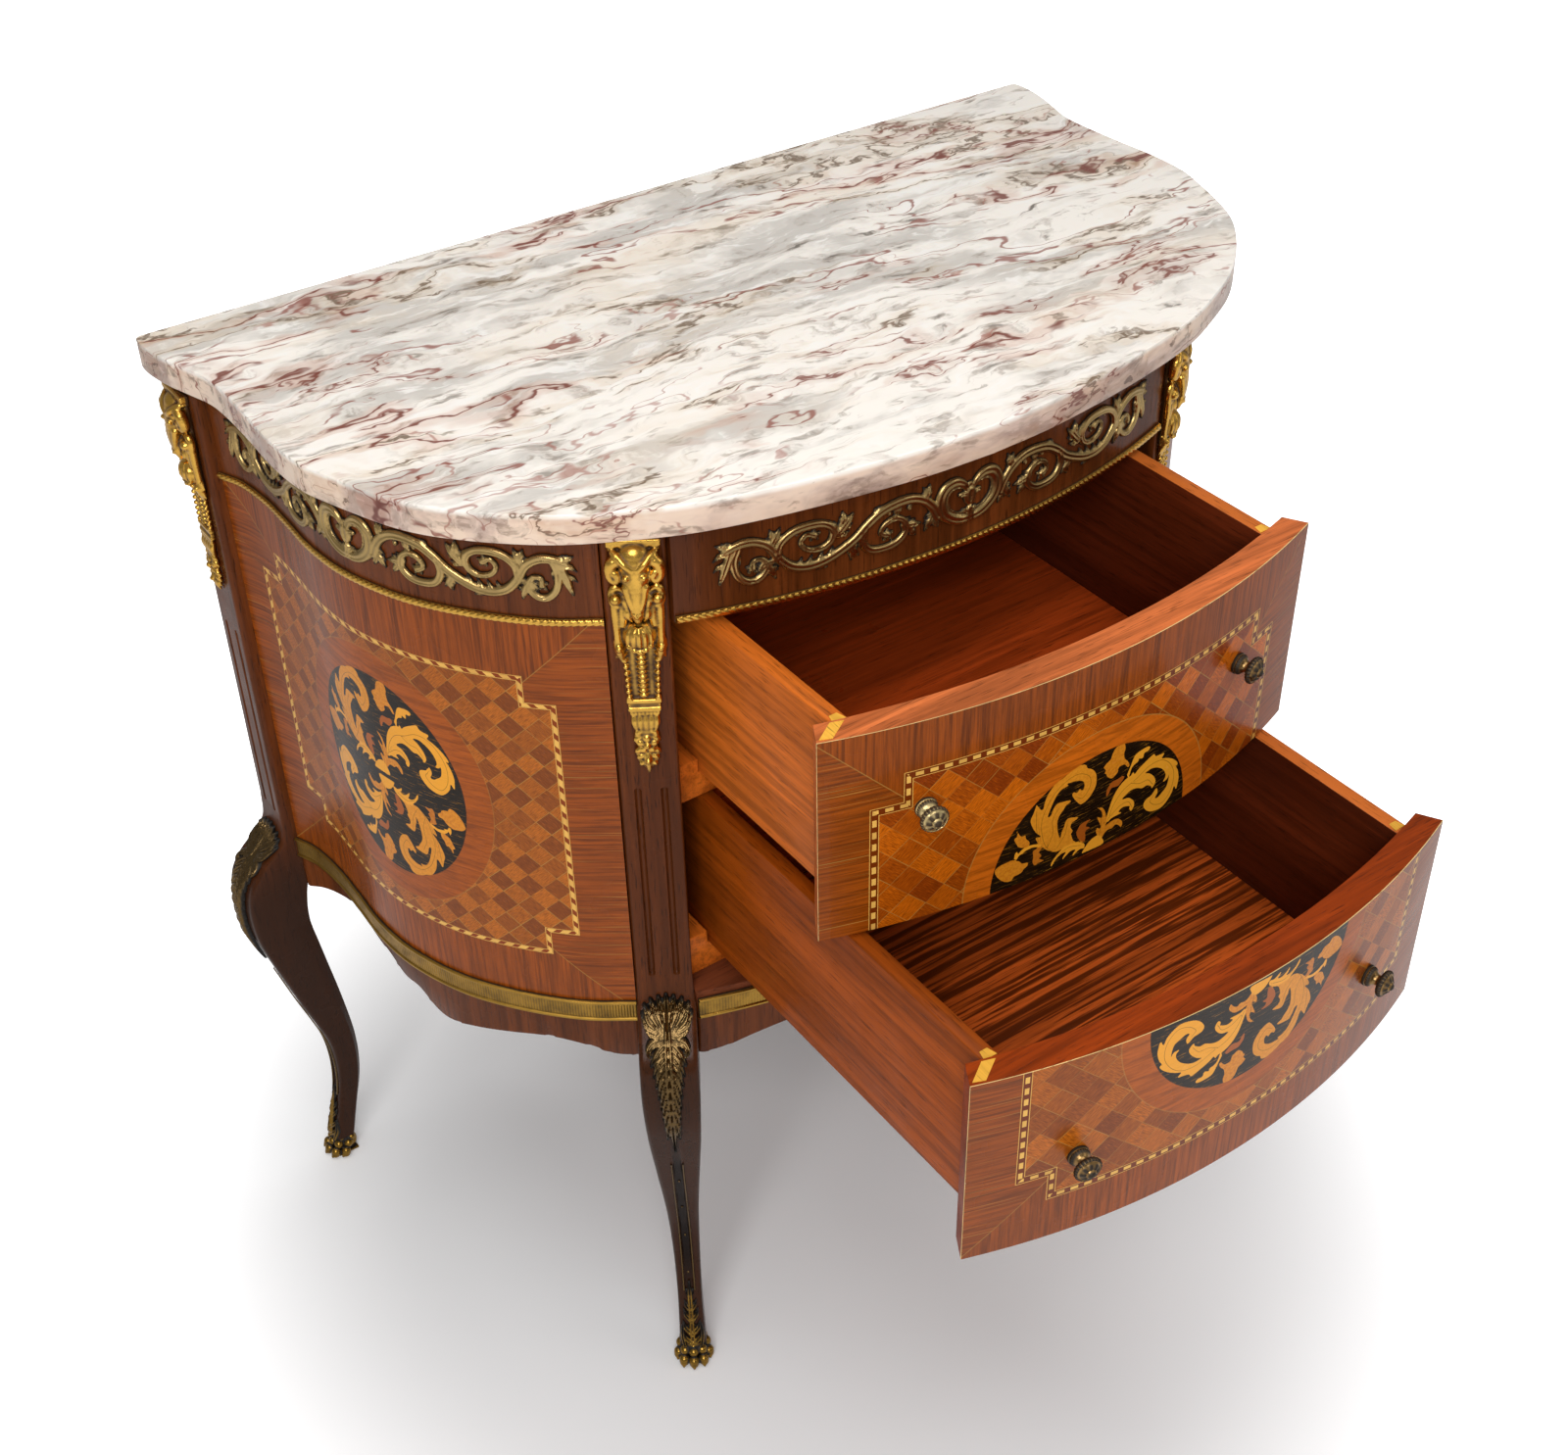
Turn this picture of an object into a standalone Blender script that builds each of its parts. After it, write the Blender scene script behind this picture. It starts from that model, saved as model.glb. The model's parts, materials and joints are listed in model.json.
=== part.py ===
"""A demilune commode chest: marble top, serpentine sides, two bowed drawers standing open on their
runners, fluted corner posts that run down into cabriole legs, and cast brass mounts.

Metres, +Z up.  The front faces -Y.  The drawing is made in plan points (x, depth), where depth is
measured forwards from the back edge of the marble, and heights are measured up from the floor.
"""
import math

import bpy
import bmesh
import numpy as np
from mathutils import Vector

for old in list(bpy.data.objects):
    bpy.data.objects.remove(old, do_unlink=True)

# Air left between neighbouring pieces
gap = 0.0003
cut_overrun = 0.0010

# The case seen from above
case_half_width = 0.3890
case_back_depth = 0.0020
opening_half_width = 0.2140
front_corner_depth = 0.3990
front_bow = 0.0375
frieze_proud = 0.0015
panel_recess = 0.0100
side_curve_shares = ((0.0, 0.0), (0.256, 0.075), (0.518, 0.189), (0.726, 0.315), (0.865, 0.4625),
                     (0.912, 0.595), (0.9065, 0.722), (0.9065, 0.831), (0.938, 0.933), (0.975, 1.0))

# Heights: the case is built up from its floor
carcase_floor = 0.4105
drawer_top_clearance = 0.0040
frieze_height = 0.0805
band_drop = 0.0060
band_height = 0.0200

# Marble
marble_thickness = 0.0220
marble_arris = 0.0040
marble_side_overhang = 0.0170
marble_front_overhang = 0.0240
marble_shares = ((0.148, 0.9924), (0.346, 0.964), (0.504, 0.9286), (0.614, 0.886), (0.717, 0.833),
                 (0.818, 0.751), (0.884, 0.670), (0.941, 0.541), (0.9557, 0.487), (0.960, 0.411),
                 (0.9557, 0.325), (0.954, 0.242), (0.958, 0.190), (0.973, 0.143), (0.9906, 0.091),
                 (1.0, 0.043), (0.999, 0.008))
marble_edge_shares = ((1.0, 0.0), (0.35, 0.06), (0.0, 0.25), (0.0, 0.72), (0.30, 0.94), (1.0, 1.0))

# Corner posts
post_width = 0.0448
post_depth = 0.0340
front_post_turn = math.radians(32.4)
rear_post_turn = math.radians(90.0)
flute_width = 0.0048
flute_depth = 0.0030
flute_spacing = 0.0184
flute_run_on = 0.0010
flute_mount_gap = 0.0120

# Cabriole legs: height, outward place of the face, depth and width, as shares of the sizes named here
knee_rise = 0.0195
knee_reach = 0.0420
foot_height = 0.0222
leg_edge = 0.0040
channel_width = 0.0120
channel_depth = 0.0016
leg_shoulder_level = 5
leg_height_shares = (1.0, 0.94, 0.905, 0.87, 0.83, 0.77, 0.70, 0.625, 0.545, 0.465, 0.385, 0.31, 0.235, 0.165, 0.095, 0.0)
leg_face_shares = (0.0, 0.06, 0.34, 0.70, 0.92, 1.0, 0.95, 0.78, 0.57, 0.36, 0.13, -0.06, -0.12, -0.08, 0.05, 0.24)
leg_back_shares = (-1.0, -0.90, -0.76, -0.56, -0.38, -0.22, -0.20, -0.29, -0.41, -0.52, -0.62, -0.68, -0.66, -0.55, -0.38, -0.18)
leg_width_shares = (1.0, 1.0, 1.0, 1.0, 1.0, 1.0, 0.97, 0.93, 0.86, 0.78, 0.70, 0.63, 0.58, 0.55, 0.53, 0.52)
leg_channel_shares = (0.0, 0.0, 0.0, 0.0, 0.0, 0.0, 0.0, 0.3, 1.0, 1.0, 1.0, 1.0, 1.0, 0.6, 0.0, 0.0)

# Boards and panels
panel_thickness = 0.0140
top_board_thickness = 0.0160
bottom_board_thickness = 0.0125
back_thickness = 0.0080
back_rebate = 0.0040
back_drop = 0.0505
apron_thickness = 0.0140
apron_drop = 0.0410
side_apron_shares = ((0.0, 0.97), (0.05, 0.94), (0.11, 0.71), (0.19, 0.61), (0.28, 0.72), (0.37, 0.88),
                     (0.43, 1.0), (0.47, 0.92), (0.52, 0.60), (0.57, 0.56), (0.63, 0.30), (0.72, 0.20),
                     (0.80, 0.22), (0.88, 0.44), (1.0, 0.84))
front_apron_shares = ((0.0, 0.95), (0.04, 0.93), (0.10, 0.76), (0.18, 0.63), (0.26, 0.66), (0.36, 0.84),
                      (0.43, 1.0), (0.5, 1.05))

# Brass lines
bead_height = 0.0055
bead_proud = 0.0032
band_proud = 0.0030
band_hollow = 0.0012
band_fillet = 0.0030

# Ram's-head post mounts
mount_drop = 0.0220
mount_length = 0.1850
mount_half_width = 0.0180
mount_relief = 0.0150
mount_height_shares = (0.0, 0.03, 0.05, 0.10, 0.17, 0.23, 0.28, 0.33, 0.39, 0.45, 0.475, 0.64, 0.655, 0.69, 0.70,
                       0.76, 0.82, 0.90, 1.0)
mount_width_shares = (0.90, 0.90, 0.86, 0.98, 1.0, 0.86, 0.78, 0.84, 0.90, 0.86, 0.52, 0.56, 0.66, 0.66, 0.50,
                      0.44, 0.46, 0.34, 0.08)
mount_relief_shares = (0.42, 0.42, 0.52, 0.80, 1.0, 0.96, 0.66, 0.74, 0.72, 0.50, 0.36, 0.36, 0.48, 0.48, 0.34,
                       0.40, 0.36, 0.28, 0.14)
mount_edge_share = 0.30
mount_shoulder_share = 0.55

# Knee mounts, laid over the leg
knee_mount_drop = 0.0180
knee_mount_length = 0.1860
knee_mount_half_width = 0.0175
knee_mount_relief = 0.0060
knee_mount_width_shares = (0.35, 0.80, 1.0, 0.95, 0.60, 0.50, 0.88, 0.74, 0.56, 0.46, 0.36, 0.34, 0.26, 0.12)
knee_mount_relief_shares = (0.5, 0.9, 1.0, 1.0, 0.8, 0.8, 1.0, 0.9, 0.8, 0.7, 0.6, 0.6, 0.5, 0.3)

# Sabots: a lion's paw under the leg and a leaf up its front
paw_half_width = 0.0170
paw_toe_reach = 0.0260
paw_heel_reach = 0.0130
paw_height_shares = (0.0, 0.30, 0.70, 0.985)
paw_size_shares = (0.94, 1.0, 0.90, 0.74)
toe_notch_share = 0.16
sabot_leaf_top = 0.0850
sabot_leaf_thickness = 0.0028

# Brass strips beside the leg's channel
strip_width = 0.0022
strip_thickness = 0.0010
strip_top_gap = 0.0010
strip_bottom_gap = 0.0030

# Pierced scroll mounts on the frieze
scroll_height = 0.0500
scroll_thickness = 0.0036
scroll_stem = 0.0015
scroll_rosette = 0.0050
scroll_grid = 0.0015
scroll_thinning = 0.0007
finer_share = 0.7
scroll_least_hole = 0.0030
scroll_cut_turn = math.radians(3.0)
scroll_end_margin = 0.0140
front_scroll_margin = 0.0310
front_scroll_bays = 3
side_scroll_bays = 3
cartouche_half_width = 0.0190
volute_turns = 1.15
volute_swing_share = 0.68
volute_first_share = 0.94
stem_points = 48
volute_points = 22
ring_points = 28
cartouche_height_share = 0.44
urn_height_shares = (-0.46, -0.34, -0.30, -0.24, -0.12, 0.02, 0.10, 0.16, 0.26, 0.46)
urn_width_shares = (0.16, 0.22, 0.07, 0.10, 0.32, 0.40, 0.34, 0.16, 0.18, 0.06)
leaf_length_share = 0.30
leaf_width_share = 0.058
leaf_bend = math.radians(50.0)
leaf_plan_shares = ((0.0, 80.0, 1.0, -1), (0.0, 105.0, 1.0, 1), (0.33, -160.0, 0.8, 1), (0.125, -70.0, 0.8, 1))
leaf_swell_shares = (0.70, 0.90, 1.0, 0.92, 0.72, 0.48)
leaf_points = len(leaf_swell_shares)

# Drawers
drawer_side_clearance = 0.0025
drawer_front_height = 0.1635
drawer_front_gap = 0.0010
drawer_front_ledge = 0.0050
drawer_front_end_thickness = 0.0168
drawer_front_end_slope = 0.55
drawer_front_inner_bow = 0.0291
drawer_side_inset = 0.0215
drawer_side_thickness = 0.0120
drawer_side_lift = 0.0200
drawer_side_drop = 0.0030
drawer_rear_depth = 0.0400
drawer_back_thickness = 0.0120
drawer_back_drop = 0.0060
drawer_bottom_thickness = 0.0050
drawer_bottom_lift = 0.0015
upper_drawer_open = 0.1550
lower_drawer_open = 0.3116

# Runners
runner_ledge = 0.0080
runner_lip = 0.0120
runner_side_clearance = 0.0010
runner_front_clearance = 0.0012

# Knobs, each set a little differently by hand: how far in from the end of the front, and how high
knob_insets = {"upper_left": 0.0692, "upper_right": 0.0819, "lower_left": 0.0743, "lower_right": 0.0865}
knob_height_shares = {"upper_left": 0.580, "upper_right": 0.565, "lower_left": 0.450, "lower_right": 0.515}
knob_length = 0.0205
knob_radius = 0.0103
knob_radius_shares = (0.74, 0.77, 0.72, 0.52, 0.42, 0.40, 0.60, 0.95, 1.0, 0.98, 0.80, 0.55, 0.25)
knob_length_shares = (0.0, 0.10, 0.22, 0.30, 0.38, 0.47, 0.52, 0.60, 0.68, 0.76, 0.84, 0.93, 1.0)
knob_sides = 10

# Widths worked out from the sizes above
drawer_half_width = opening_half_width - drawer_side_clearance
drawer_side_outer = drawer_half_width - drawer_side_inset
runner_inner = drawer_side_outer - drawer_side_thickness - runner_ledge
drawer_inner_half = drawer_half_width - drawer_front_end_slope * drawer_front_end_thickness
front_scroll_half = opening_half_width - front_scroll_margin

# Heights worked out from the sizes above
lower_front_bottom = carcase_floor + drawer_front_ledge
upper_front_bottom = lower_front_bottom + drawer_front_height + drawer_front_gap
frieze_bottom = upper_front_bottom + drawer_front_height + drawer_top_clearance
case_top = frieze_bottom + frieze_height
band_top = carcase_floor - band_drop
panel_bottom = band_top - band_height / 2
back_bottom = carcase_floor - back_drop
knee_height = carcase_floor + knee_rise
knee_mount_top = knee_height - knee_mount_drop
knee_mount_bottom = knee_mount_top - knee_mount_length
mount_top = case_top - mount_drop
flute_top = mount_top - mount_length - flute_mount_gap
flute_bottom = knee_height - flute_run_on
strip_top = knee_mount_bottom - strip_top_gap
strip_bottom = sabot_leaf_top + strip_bottom_gap

# Number of facets
front_stations = 16
side_steps = 2
marble_steps = 1

paint = {
    "marble": ((0.80, 0.76, 0.72), 0.25, 0.0),
    "mahogany": ((0.16, 0.045, 0.022), 0.28, 0.0),
    "veneer": ((0.36, 0.15, 0.06), 0.30, 0.0),
    "drawer_wood": ((0.30, 0.10, 0.035), 0.45, 0.0),
    "gilt_brass": ((0.62, 0.45, 0.16), 0.35, 1.0),
}


def material(kind):
    """The material of one kind, made the first time that it is asked for."""
    made = bpy.data.materials.get(kind)
    if made is None:
        colour, roughness, metal = paint[kind]
        made = bpy.data.materials.new(kind)
        made.use_nodes = True
        shader = made.node_tree.nodes["Principled BSDF"]
        shader.inputs["Base Color"].default_value = (*colour, 1.0)
        shader.inputs["Roughness"].default_value = roughness
        shader.inputs["Metallic"].default_value = metal
    return made


def spot(x, depth, z):
    """A point in space from a plan point and a height."""
    return Vector((x, -depth, z))


def smooth(points, steps):
    """A smooth line through the points, with steps short runs between each two of them."""
    points = [np.array(p, dtype=float) for p in points]
    before = 2 * points[0] - points[1]
    after = 2 * points[-1] - points[-2]
    chain = [before, *points, after]
    line = []
    for i in range(1, len(chain) - 2):
        a, b, c, d = chain[i - 1:i + 3]
        for step in range(steps):
            t = step / steps
            line.append((2 * b + (c - a) * t + (2 * a - 5 * b + 4 * c - d) * t ** 2
                         + (3 * b - a - 3 * c + d) * t ** 3) / 2)
    line.append(points[-1])
    return line


def bow_depth(x, half_width, corner_depth, bow):
    """Depth at x of a circular arc that rises by bow between its two ends."""
    radius = (half_width ** 2 + bow ** 2) / (2 * bow)
    return corner_depth + math.sqrt(radius ** 2 - x ** 2) - (radius - bow)


def plan_normals(line):
    """Outward directions along a plan line that runs round the case from left to right to back."""
    normals = []
    for i in range(len(line)):
        ahead = line[min(i + 1, len(line) - 1)]
        behind = line[max(i - 1, 0)]
        run = (ahead - behind) / np.linalg.norm(ahead - behind)
        normals.append(np.array((-run[1], run[0])))
    return normals


def line_directions(line, ends):
    """The outward directions with the first and last turned to lie along a neighbour's side."""
    directions = plan_normals(line)
    for index, end in ((0, ends[0]), (-1, ends[1])):
        directions[index] = np.array(end) / np.dot(end, directions[index])
    return directions


def line_lengths(line):
    """The distance run along a plan line at each of its points."""
    lengths = [0.0]
    for a, b in zip(line[:-1], line[1:]):
        lengths.append(lengths[-1] + float(np.linalg.norm(b - a)))
    return lengths


def place(name, bm, kind, parent):
    """Turns a bmesh into a named object with its faces pointing outwards."""
    bmesh.ops.recalc_face_normals(bm, faces=bm.faces)
    mesh = bpy.data.meshes.new(name)
    bm.to_mesh(mesh)
    bm.free()
    mesh.materials.append(material(kind))
    mesh.shade_smooth()
    mesh.set_sharp_from_angle(angle=math.radians(35))
    thing = bpy.data.objects.new(name, mesh)
    bpy.context.scene.collection.objects.link(thing)
    thing.parent = parent
    return thing


def add_loft(bm, rings):
    """Joins closed rings of equal count into one solid with flat ends."""
    rows = [[bm.verts.new(p) for p in ring] for ring in rings]
    count = len(rows[0])
    for low, high in zip(rows[:-1], rows[1:]):
        for i in range(count):
            j = (i + 1) % count
            bm.faces.new((low[i], low[j], high[j], high[i]))
    bm.faces.new(list(reversed(rows[0])))
    bm.faces.new(rows[-1])


def loft(name, rings, kind, parent):
    bm = bmesh.new()
    add_loft(bm, rings)
    return place(name, bm, kind, parent)


def prism(name, outline, low, high, kind, parent):
    """An upright board with the given plan outline."""
    rings = [[spot(x, depth, z) for x, depth in outline] for z in (low, high)]
    return loft(name, rings, kind, parent)


def block(name, low, high, kind, parent):
    """A squared piece between two corners given as (x, depth, height)."""
    outline = [(low[0], low[1]), (high[0], low[1]), (high[0], high[1]), (low[0], high[1])]
    return prism(name, outline, low[2], high[2], kind, parent)


def sweep(name, line, section, kind, parent, side, ends):
    """Runs a section round the case; section(share) gives its (outward, height) points at that share."""
    lengths = line_lengths(line)
    rings = []
    for point, direction, length in zip(line, line_directions(line, ends), lengths):
        ring = []
        for outward, z in section(length / lengths[-1]):
            x, depth = point + direction * outward
            ring.append(spot(side * x, depth, z))
        rings.append(ring)
    return loft(name, rings, kind, parent)


def share_at(table, share):
    """Reads a table of (place share, value share) at a place, in straight runs."""
    places = [row[0] for row in table]
    values = [row[1] for row in table]
    return float(np.interp(share, places, values))


class Post:
    """One corner post: its face centre and outward turn, on the right-hand side of the case."""

    def __init__(self, centre, turn, slant):
        self.centre = np.array(centre)
        self.out = np.array((math.sin(turn), math.cos(turn)))
        self.across = np.array((-math.cos(turn), math.sin(turn)))
        self.slant = slant

    def plan(self, across, outward):
        return self.centre + self.across * across + self.out * outward

    def spot(self, across, outward, z, side):
        x, depth = self.plan(across, outward)
        return spot(side * x, depth, z)


half_post = post_width / 2
front_corner = np.array((opening_half_width, front_corner_depth))
front_face_run = np.array((math.cos(front_post_turn), -math.sin(front_post_turn)))
front_post = Post(front_corner + front_face_run * half_post, front_post_turn, math.tan(front_post_turn))
rear_post = Post((case_half_width, case_back_depth + half_post), rear_post_turn, 0.0)
posts = (("front", front_post), ("rear", rear_post))
sides = (("left", -1), ("right", 1))

# Lines of the case in plan: the side from the front post to the rear post, and the bowed front
side_start = front_post.plan(-half_post, 0.0)
side_end = rear_post.plan(half_post, -panel_recess)
side_box = side_end - side_start
side_points = [side_start + side_box * np.array(share) for share in side_curve_shares]
side_points[-1] = side_end
start_run = side_points[1] - side_points[0]
side_points[0] = side_start - start_run * gap / np.dot(start_run, front_post.across)
side_points[-1] = side_end + np.array((0.0, gap))
side_line = smooth(side_points, side_steps)
side_ends = (front_post.out, (1.0, 0.0))

front_half = opening_half_width - gap
frieze_depth = front_corner_depth + frieze_proud


def front_line_at(outward):
    """The bowed front line from left to right, moved outwards by the given distance."""
    line = []
    for i in range(front_stations + 1):
        x = front_half * (2 * i / front_stations - 1)
        depth = bow_depth(x, opening_half_width, frieze_depth, front_bow) + outward
        line.append(np.array((x, depth)))
    return line


front_line = front_line_at(0.0)
front_ends = ((0.0, 1.0), (0.0, 1.0))


def drawer_face(x):
    """Depth of a closed drawer's bowed face."""
    return bow_depth(x, drawer_half_width, frieze_depth, front_bow)


def drawer_inner(x):
    """Depth of the inner face of a closed drawer's front."""
    return bow_depth(x, drawer_inner_half, frieze_depth - drawer_front_end_thickness, drawer_front_inner_bow)


face_sagitta = drawer_face(0.0) - drawer_face(drawer_half_width / front_stations)


def knob_seat(name):
    """A knob's foot on the face, its direction outwards and its direction across, drawn on the right."""
    across = drawer_half_width - knob_insets[name]
    slope = (drawer_face(across + gap) - drawer_face(across - gap)) / (2 * gap)
    out = np.array((-slope, 1.0)) / math.hypot(slope, 1.0)
    along = np.array((out[1], -out[0]))
    foot = np.array((across, drawer_face(across))) + out * (gap + face_sagitta)
    return foot, out, along


def knob_tip(name):
    """The greatest depth that a closed drawer's knob reaches."""
    foot, out, along = knob_seat(name)
    return max(foot[1] + out[1] * knob_length * length_share + abs(along[1]) * knob_radius * radius_share
               for length_share, radius_share in zip(knob_length_shares, knob_radius_shares))


back_to_tip = max(knob_tip("lower_left"), knob_tip("lower_right")) + lower_drawer_open

# Empties that carry the fixed case and the two drawers
commode = bpy.data.objects.new("commode", None)
bpy.context.scene.collection.objects.link(commode)
commode.location = (0.0, back_to_tip / 2, 0.0)
drawer_carriers = {}
for level, opened in (("upper", upper_drawer_open), ("lower", lower_drawer_open)):
    carrier = bpy.data.objects.new(level + "_drawer", None)
    bpy.context.scene.collection.objects.link(carrier)
    carrier.parent = commode
    carrier.location = (0.0, -opened, 0.0)
    drawer_carriers[level] = carrier


def make_marble():
    half_width = case_half_width + marble_side_overhang
    depth = frieze_depth + front_bow + marble_front_overhang
    right = [np.array((half_width * x, depth * y)) for x, y in marble_shares]
    right = [np.array((0.0, depth)), *right, np.array((right[-1][0] - marble_arris, 0.0))]
    line = smooth(right, marble_steps)
    outline = line[:-1] + [right[-1]]
    outline = [p for p in outline if p[1] >= 0.0]
    left = [np.array((-p[0], p[1])) for p in reversed(outline[1:])]
    outline = left + outline
    count = len(outline)
    inward = []
    for i in range(count):
        run = outline[(i + 1) % count] - outline[i - 1]
        run = run / np.linalg.norm(run)
        inward.append(np.array((run[1], -run[0])))
    rings = []
    for inset_share, height_share in marble_edge_shares:
        z = case_top + gap + marble_thickness * height_share
        ring = []
        for point, direction in zip(outline, inward):
            x, back = point + direction * marble_arris * inset_share
            ring.append(spot(x, max(back, 0.0), z))
        rings.append(ring)
    loft("marble_top", rings, "marble", commode)


def board_outline(front_inset, side_inset):
    """Plan of a carcase board notched round the four posts."""
    right = []
    front_directions = line_directions(front_line, front_ends)
    for point, direction in list(zip(front_line, front_directions))[front_stations // 2:]:
        right.append(tuple(point - direction * front_inset))
    notch_depth = post_depth + gap
    inner_corner = front_post.plan(half_post - front_post.slant * notch_depth, -notch_depth)
    outer_corner = front_post.plan(-half_post - gap, -notch_depth)
    right.append((front_half, inner_corner[1]))
    right.append(tuple(outer_corner))
    for point, direction in zip(side_line, line_directions(side_line, side_ends)):
        right.append(tuple(point - direction * side_inset))
    rear_front = case_back_depth + post_width + gap
    post_inside = case_half_width - post_depth - gap
    right.append((post_inside, rear_front))
    right.append((post_inside, back_front + gap))
    left = [(-x, depth) for x, depth in reversed(right) if x > 0.0]
    return left + [p for p in right if p[0] >= 0.0]


back_front = case_back_depth + back_rebate + back_thickness


def make_carcase():
    top_outline = board_outline(panel_thickness + gap, panel_thickness + gap)
    prism("top_board", top_outline, case_top - top_board_thickness, case_top, "drawer_wood", commode)
    floor_outline = board_outline(0.0, panel_thickness + gap)
    prism("bottom_board", floor_outline, carcase_floor - bottom_board_thickness, carcase_floor,
          "drawer_wood", commode)
    back_half = case_half_width - post_depth - gap
    block("back_panel", (-back_half, case_back_depth + back_rebate, back_bottom),
          (back_half, back_front, case_top), "drawer_wood", commode)


def board_section(thickness, low, high):
    def section(share):
        return ((0.0, low), (0.0, high), (-thickness, high), (-thickness, low))
    return section


def apron_section(table, top):
    def section(share):
        drop = apron_drop * share_at(table, share)
        low = band_top - band_height - drop
        return ((0.0, low), (0.0, top), (-apron_thickness, top), (-apron_thickness, low))
    return section


def bead_section(share):
    low = frieze_bottom + gap
    high = low + bead_height
    middle = (low + high) / 2
    face = gap + bead_proud
    shoulder = gap + bead_proud / 2
    return ((gap, low), (gap, high), (shoulder, high), (face, middle), (shoulder, low))


def band_section(share):
    low = band_top - band_height
    face = gap + band_proud
    hollow = face - band_hollow
    return ((gap, low), (gap, band_top), (face, band_top), (face, band_top - band_fillet),
            (hollow, band_top - band_fillet), (hollow, low + band_fillet), (face, low + band_fillet),
            (face, low))


def mirrored_front(table):
    """A table for the left half of the front, repeated the other way on the right half."""
    return list(table) + [(1.0 - place_share, value) for place_share, value in reversed(table[:-1])]


def make_skin():
    frieze = board_section(panel_thickness, frieze_bottom + gap, case_top)
    panel = board_section(panel_thickness, panel_bottom + gap, frieze_bottom)
    apron_top = panel_bottom
    for side_name, side in sides:
        sweep(side_name + "_frieze", side_line, frieze, "mahogany", commode, side, side_ends)
        sweep(side_name + "_panel", side_line, panel, "veneer", commode, side, side_ends)
        sweep(side_name + "_apron", side_line, apron_section(side_apron_shares, apron_top), "mahogany",
              commode, side, side_ends)
        sweep(side_name + "_bead", side_line, bead_section, "gilt_brass", commode, side, side_ends)
        sweep(side_name + "_base_band", side_line, band_section, "gilt_brass", commode, side, side_ends)
    sweep("front_frieze", front_line, frieze, "mahogany", commode, 1, front_ends)
    front_apron_top = carcase_floor - bottom_board_thickness - gap
    front_apron = apron_section(mirrored_front(front_apron_shares), front_apron_top)
    sweep("front_apron", front_line, front_apron, "mahogany", commode, 1, front_ends)
    sweep("front_bead", front_line, bead_section, "gilt_brass", commode, 1, front_ends)
    sweep("front_base_band", front_line, band_section, "gilt_brass", commode, 1, front_ends)


leg_heights = [foot_height + (knee_height - foot_height) * share for share in leg_height_shares]


def leg_value(table, z):
    """A leg table read at a height, in the straight runs of the leg's own facets."""
    return float(np.interp(z, leg_heights[::-1], list(table)[::-1]))


def leg_face(z):
    return knee_reach * leg_value(leg_face_shares, z)


def leg_width(z):
    return post_width * leg_value(leg_width_shares, z)


def leg_ring(post, z, side):
    """One level of a post or leg.  Down to the shoulder, its inner side keeps clear of the opening."""
    half = leg_width(z) / 2
    face = leg_face(z)
    edge = face - leg_edge
    back = post_depth * leg_value(leg_back_shares, z)
    channel = channel_depth * leg_value(leg_channel_shares, z)
    half_channel = channel_width / 2
    channel_floor = half_channel - channel_depth
    in_case = z >= leg_heights[leg_shoulder_level]
    inner_edge = half + post.slant * min(0.0, edge) if in_case else half
    inner_back = half + post.slant * back if in_case else half - leg_edge
    outer_back = half if in_case else half - leg_edge
    points = ((-outer_back, back), (-half, edge), (-half + leg_edge, face), (-half_channel, face),
              (-channel_floor, face - channel), (channel_floor, face - channel), (half_channel, face),
              (half - leg_edge, face), (inner_edge, edge), (inner_back, back))
    return [post.spot(across, outward, z, side) for across, outward in points]


def flute_cutter(name, post, across, side, parent):
    """A round-ended groove's cutter, standing out of the post's face."""
    radius = flute_width / 2
    outline = []
    for centre, start in ((flute_top - radius, 0.0), (flute_bottom + radius, math.pi)):
        for step in range(7):
            angle = start + math.pi * step / 6
            outline.append((across + radius * math.cos(angle), centre + radius * math.sin(angle)))
    rings = []
    for outward in (-flute_depth, cut_overrun):
        rings.append([post.spot(a, outward, z, side) for a, z in outline])
    cutter = loft(name, rings, "mahogany", parent)
    cutter.hide_render = True
    cutter.display_type = "WIRE"
    return cutter


def make_legs():
    for row, post in posts:
        for side_name, side in sides:
            name = row + "_" + side_name
            levels = [case_top, *leg_heights]
            rings = []
            for z in levels:
                rings.append(leg_ring(post, z, side))
            leg = loft(name + "_leg", rings, "mahogany", commode)
            for label, across in (("a", -flute_spacing / 2), ("b", flute_spacing / 2)):
                cutter = flute_cutter(name + "_flute_" + label, post, across, side, commode)
                cut = leg.modifiers.new("flute " + label, "BOOLEAN")
                cut.operation = "DIFFERENCE"
                cut.solver = "EXACT"
                cut.object = cutter


def make_leg_brass():
    for row, post in posts:
        for side_name, side in sides:
            name = row + "_" + side_name
            make_post_mount(name + "_post_mount", post, side)
            make_knee_mount(name + "_knee_mount", post, side)
            make_sabot(name + "_sabot", post, side)
            make_strips(name + "_leg_strips", post, side)


def make_post_mount(name, post, side):
    rings = []
    for height_share, width_share, relief_share in zip(mount_height_shares, mount_width_shares, mount_relief_shares):
        z = mount_top - mount_length * height_share
        half = mount_half_width * width_share
        relief = mount_relief * relief_share
        points = ((-half, gap), (-half, gap + relief * mount_edge_share),
                  (-half * mount_shoulder_share, gap + relief * mount_shoulder_share), (0.0, gap + relief),
                  (half * mount_shoulder_share, gap + relief * mount_shoulder_share),
                  (half, gap + relief * mount_edge_share), (half, gap))
        rings.append([post.spot(across, outward, z, side) for across, outward in points])
    loft(name, rings, "gilt_brass", commode)


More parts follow.
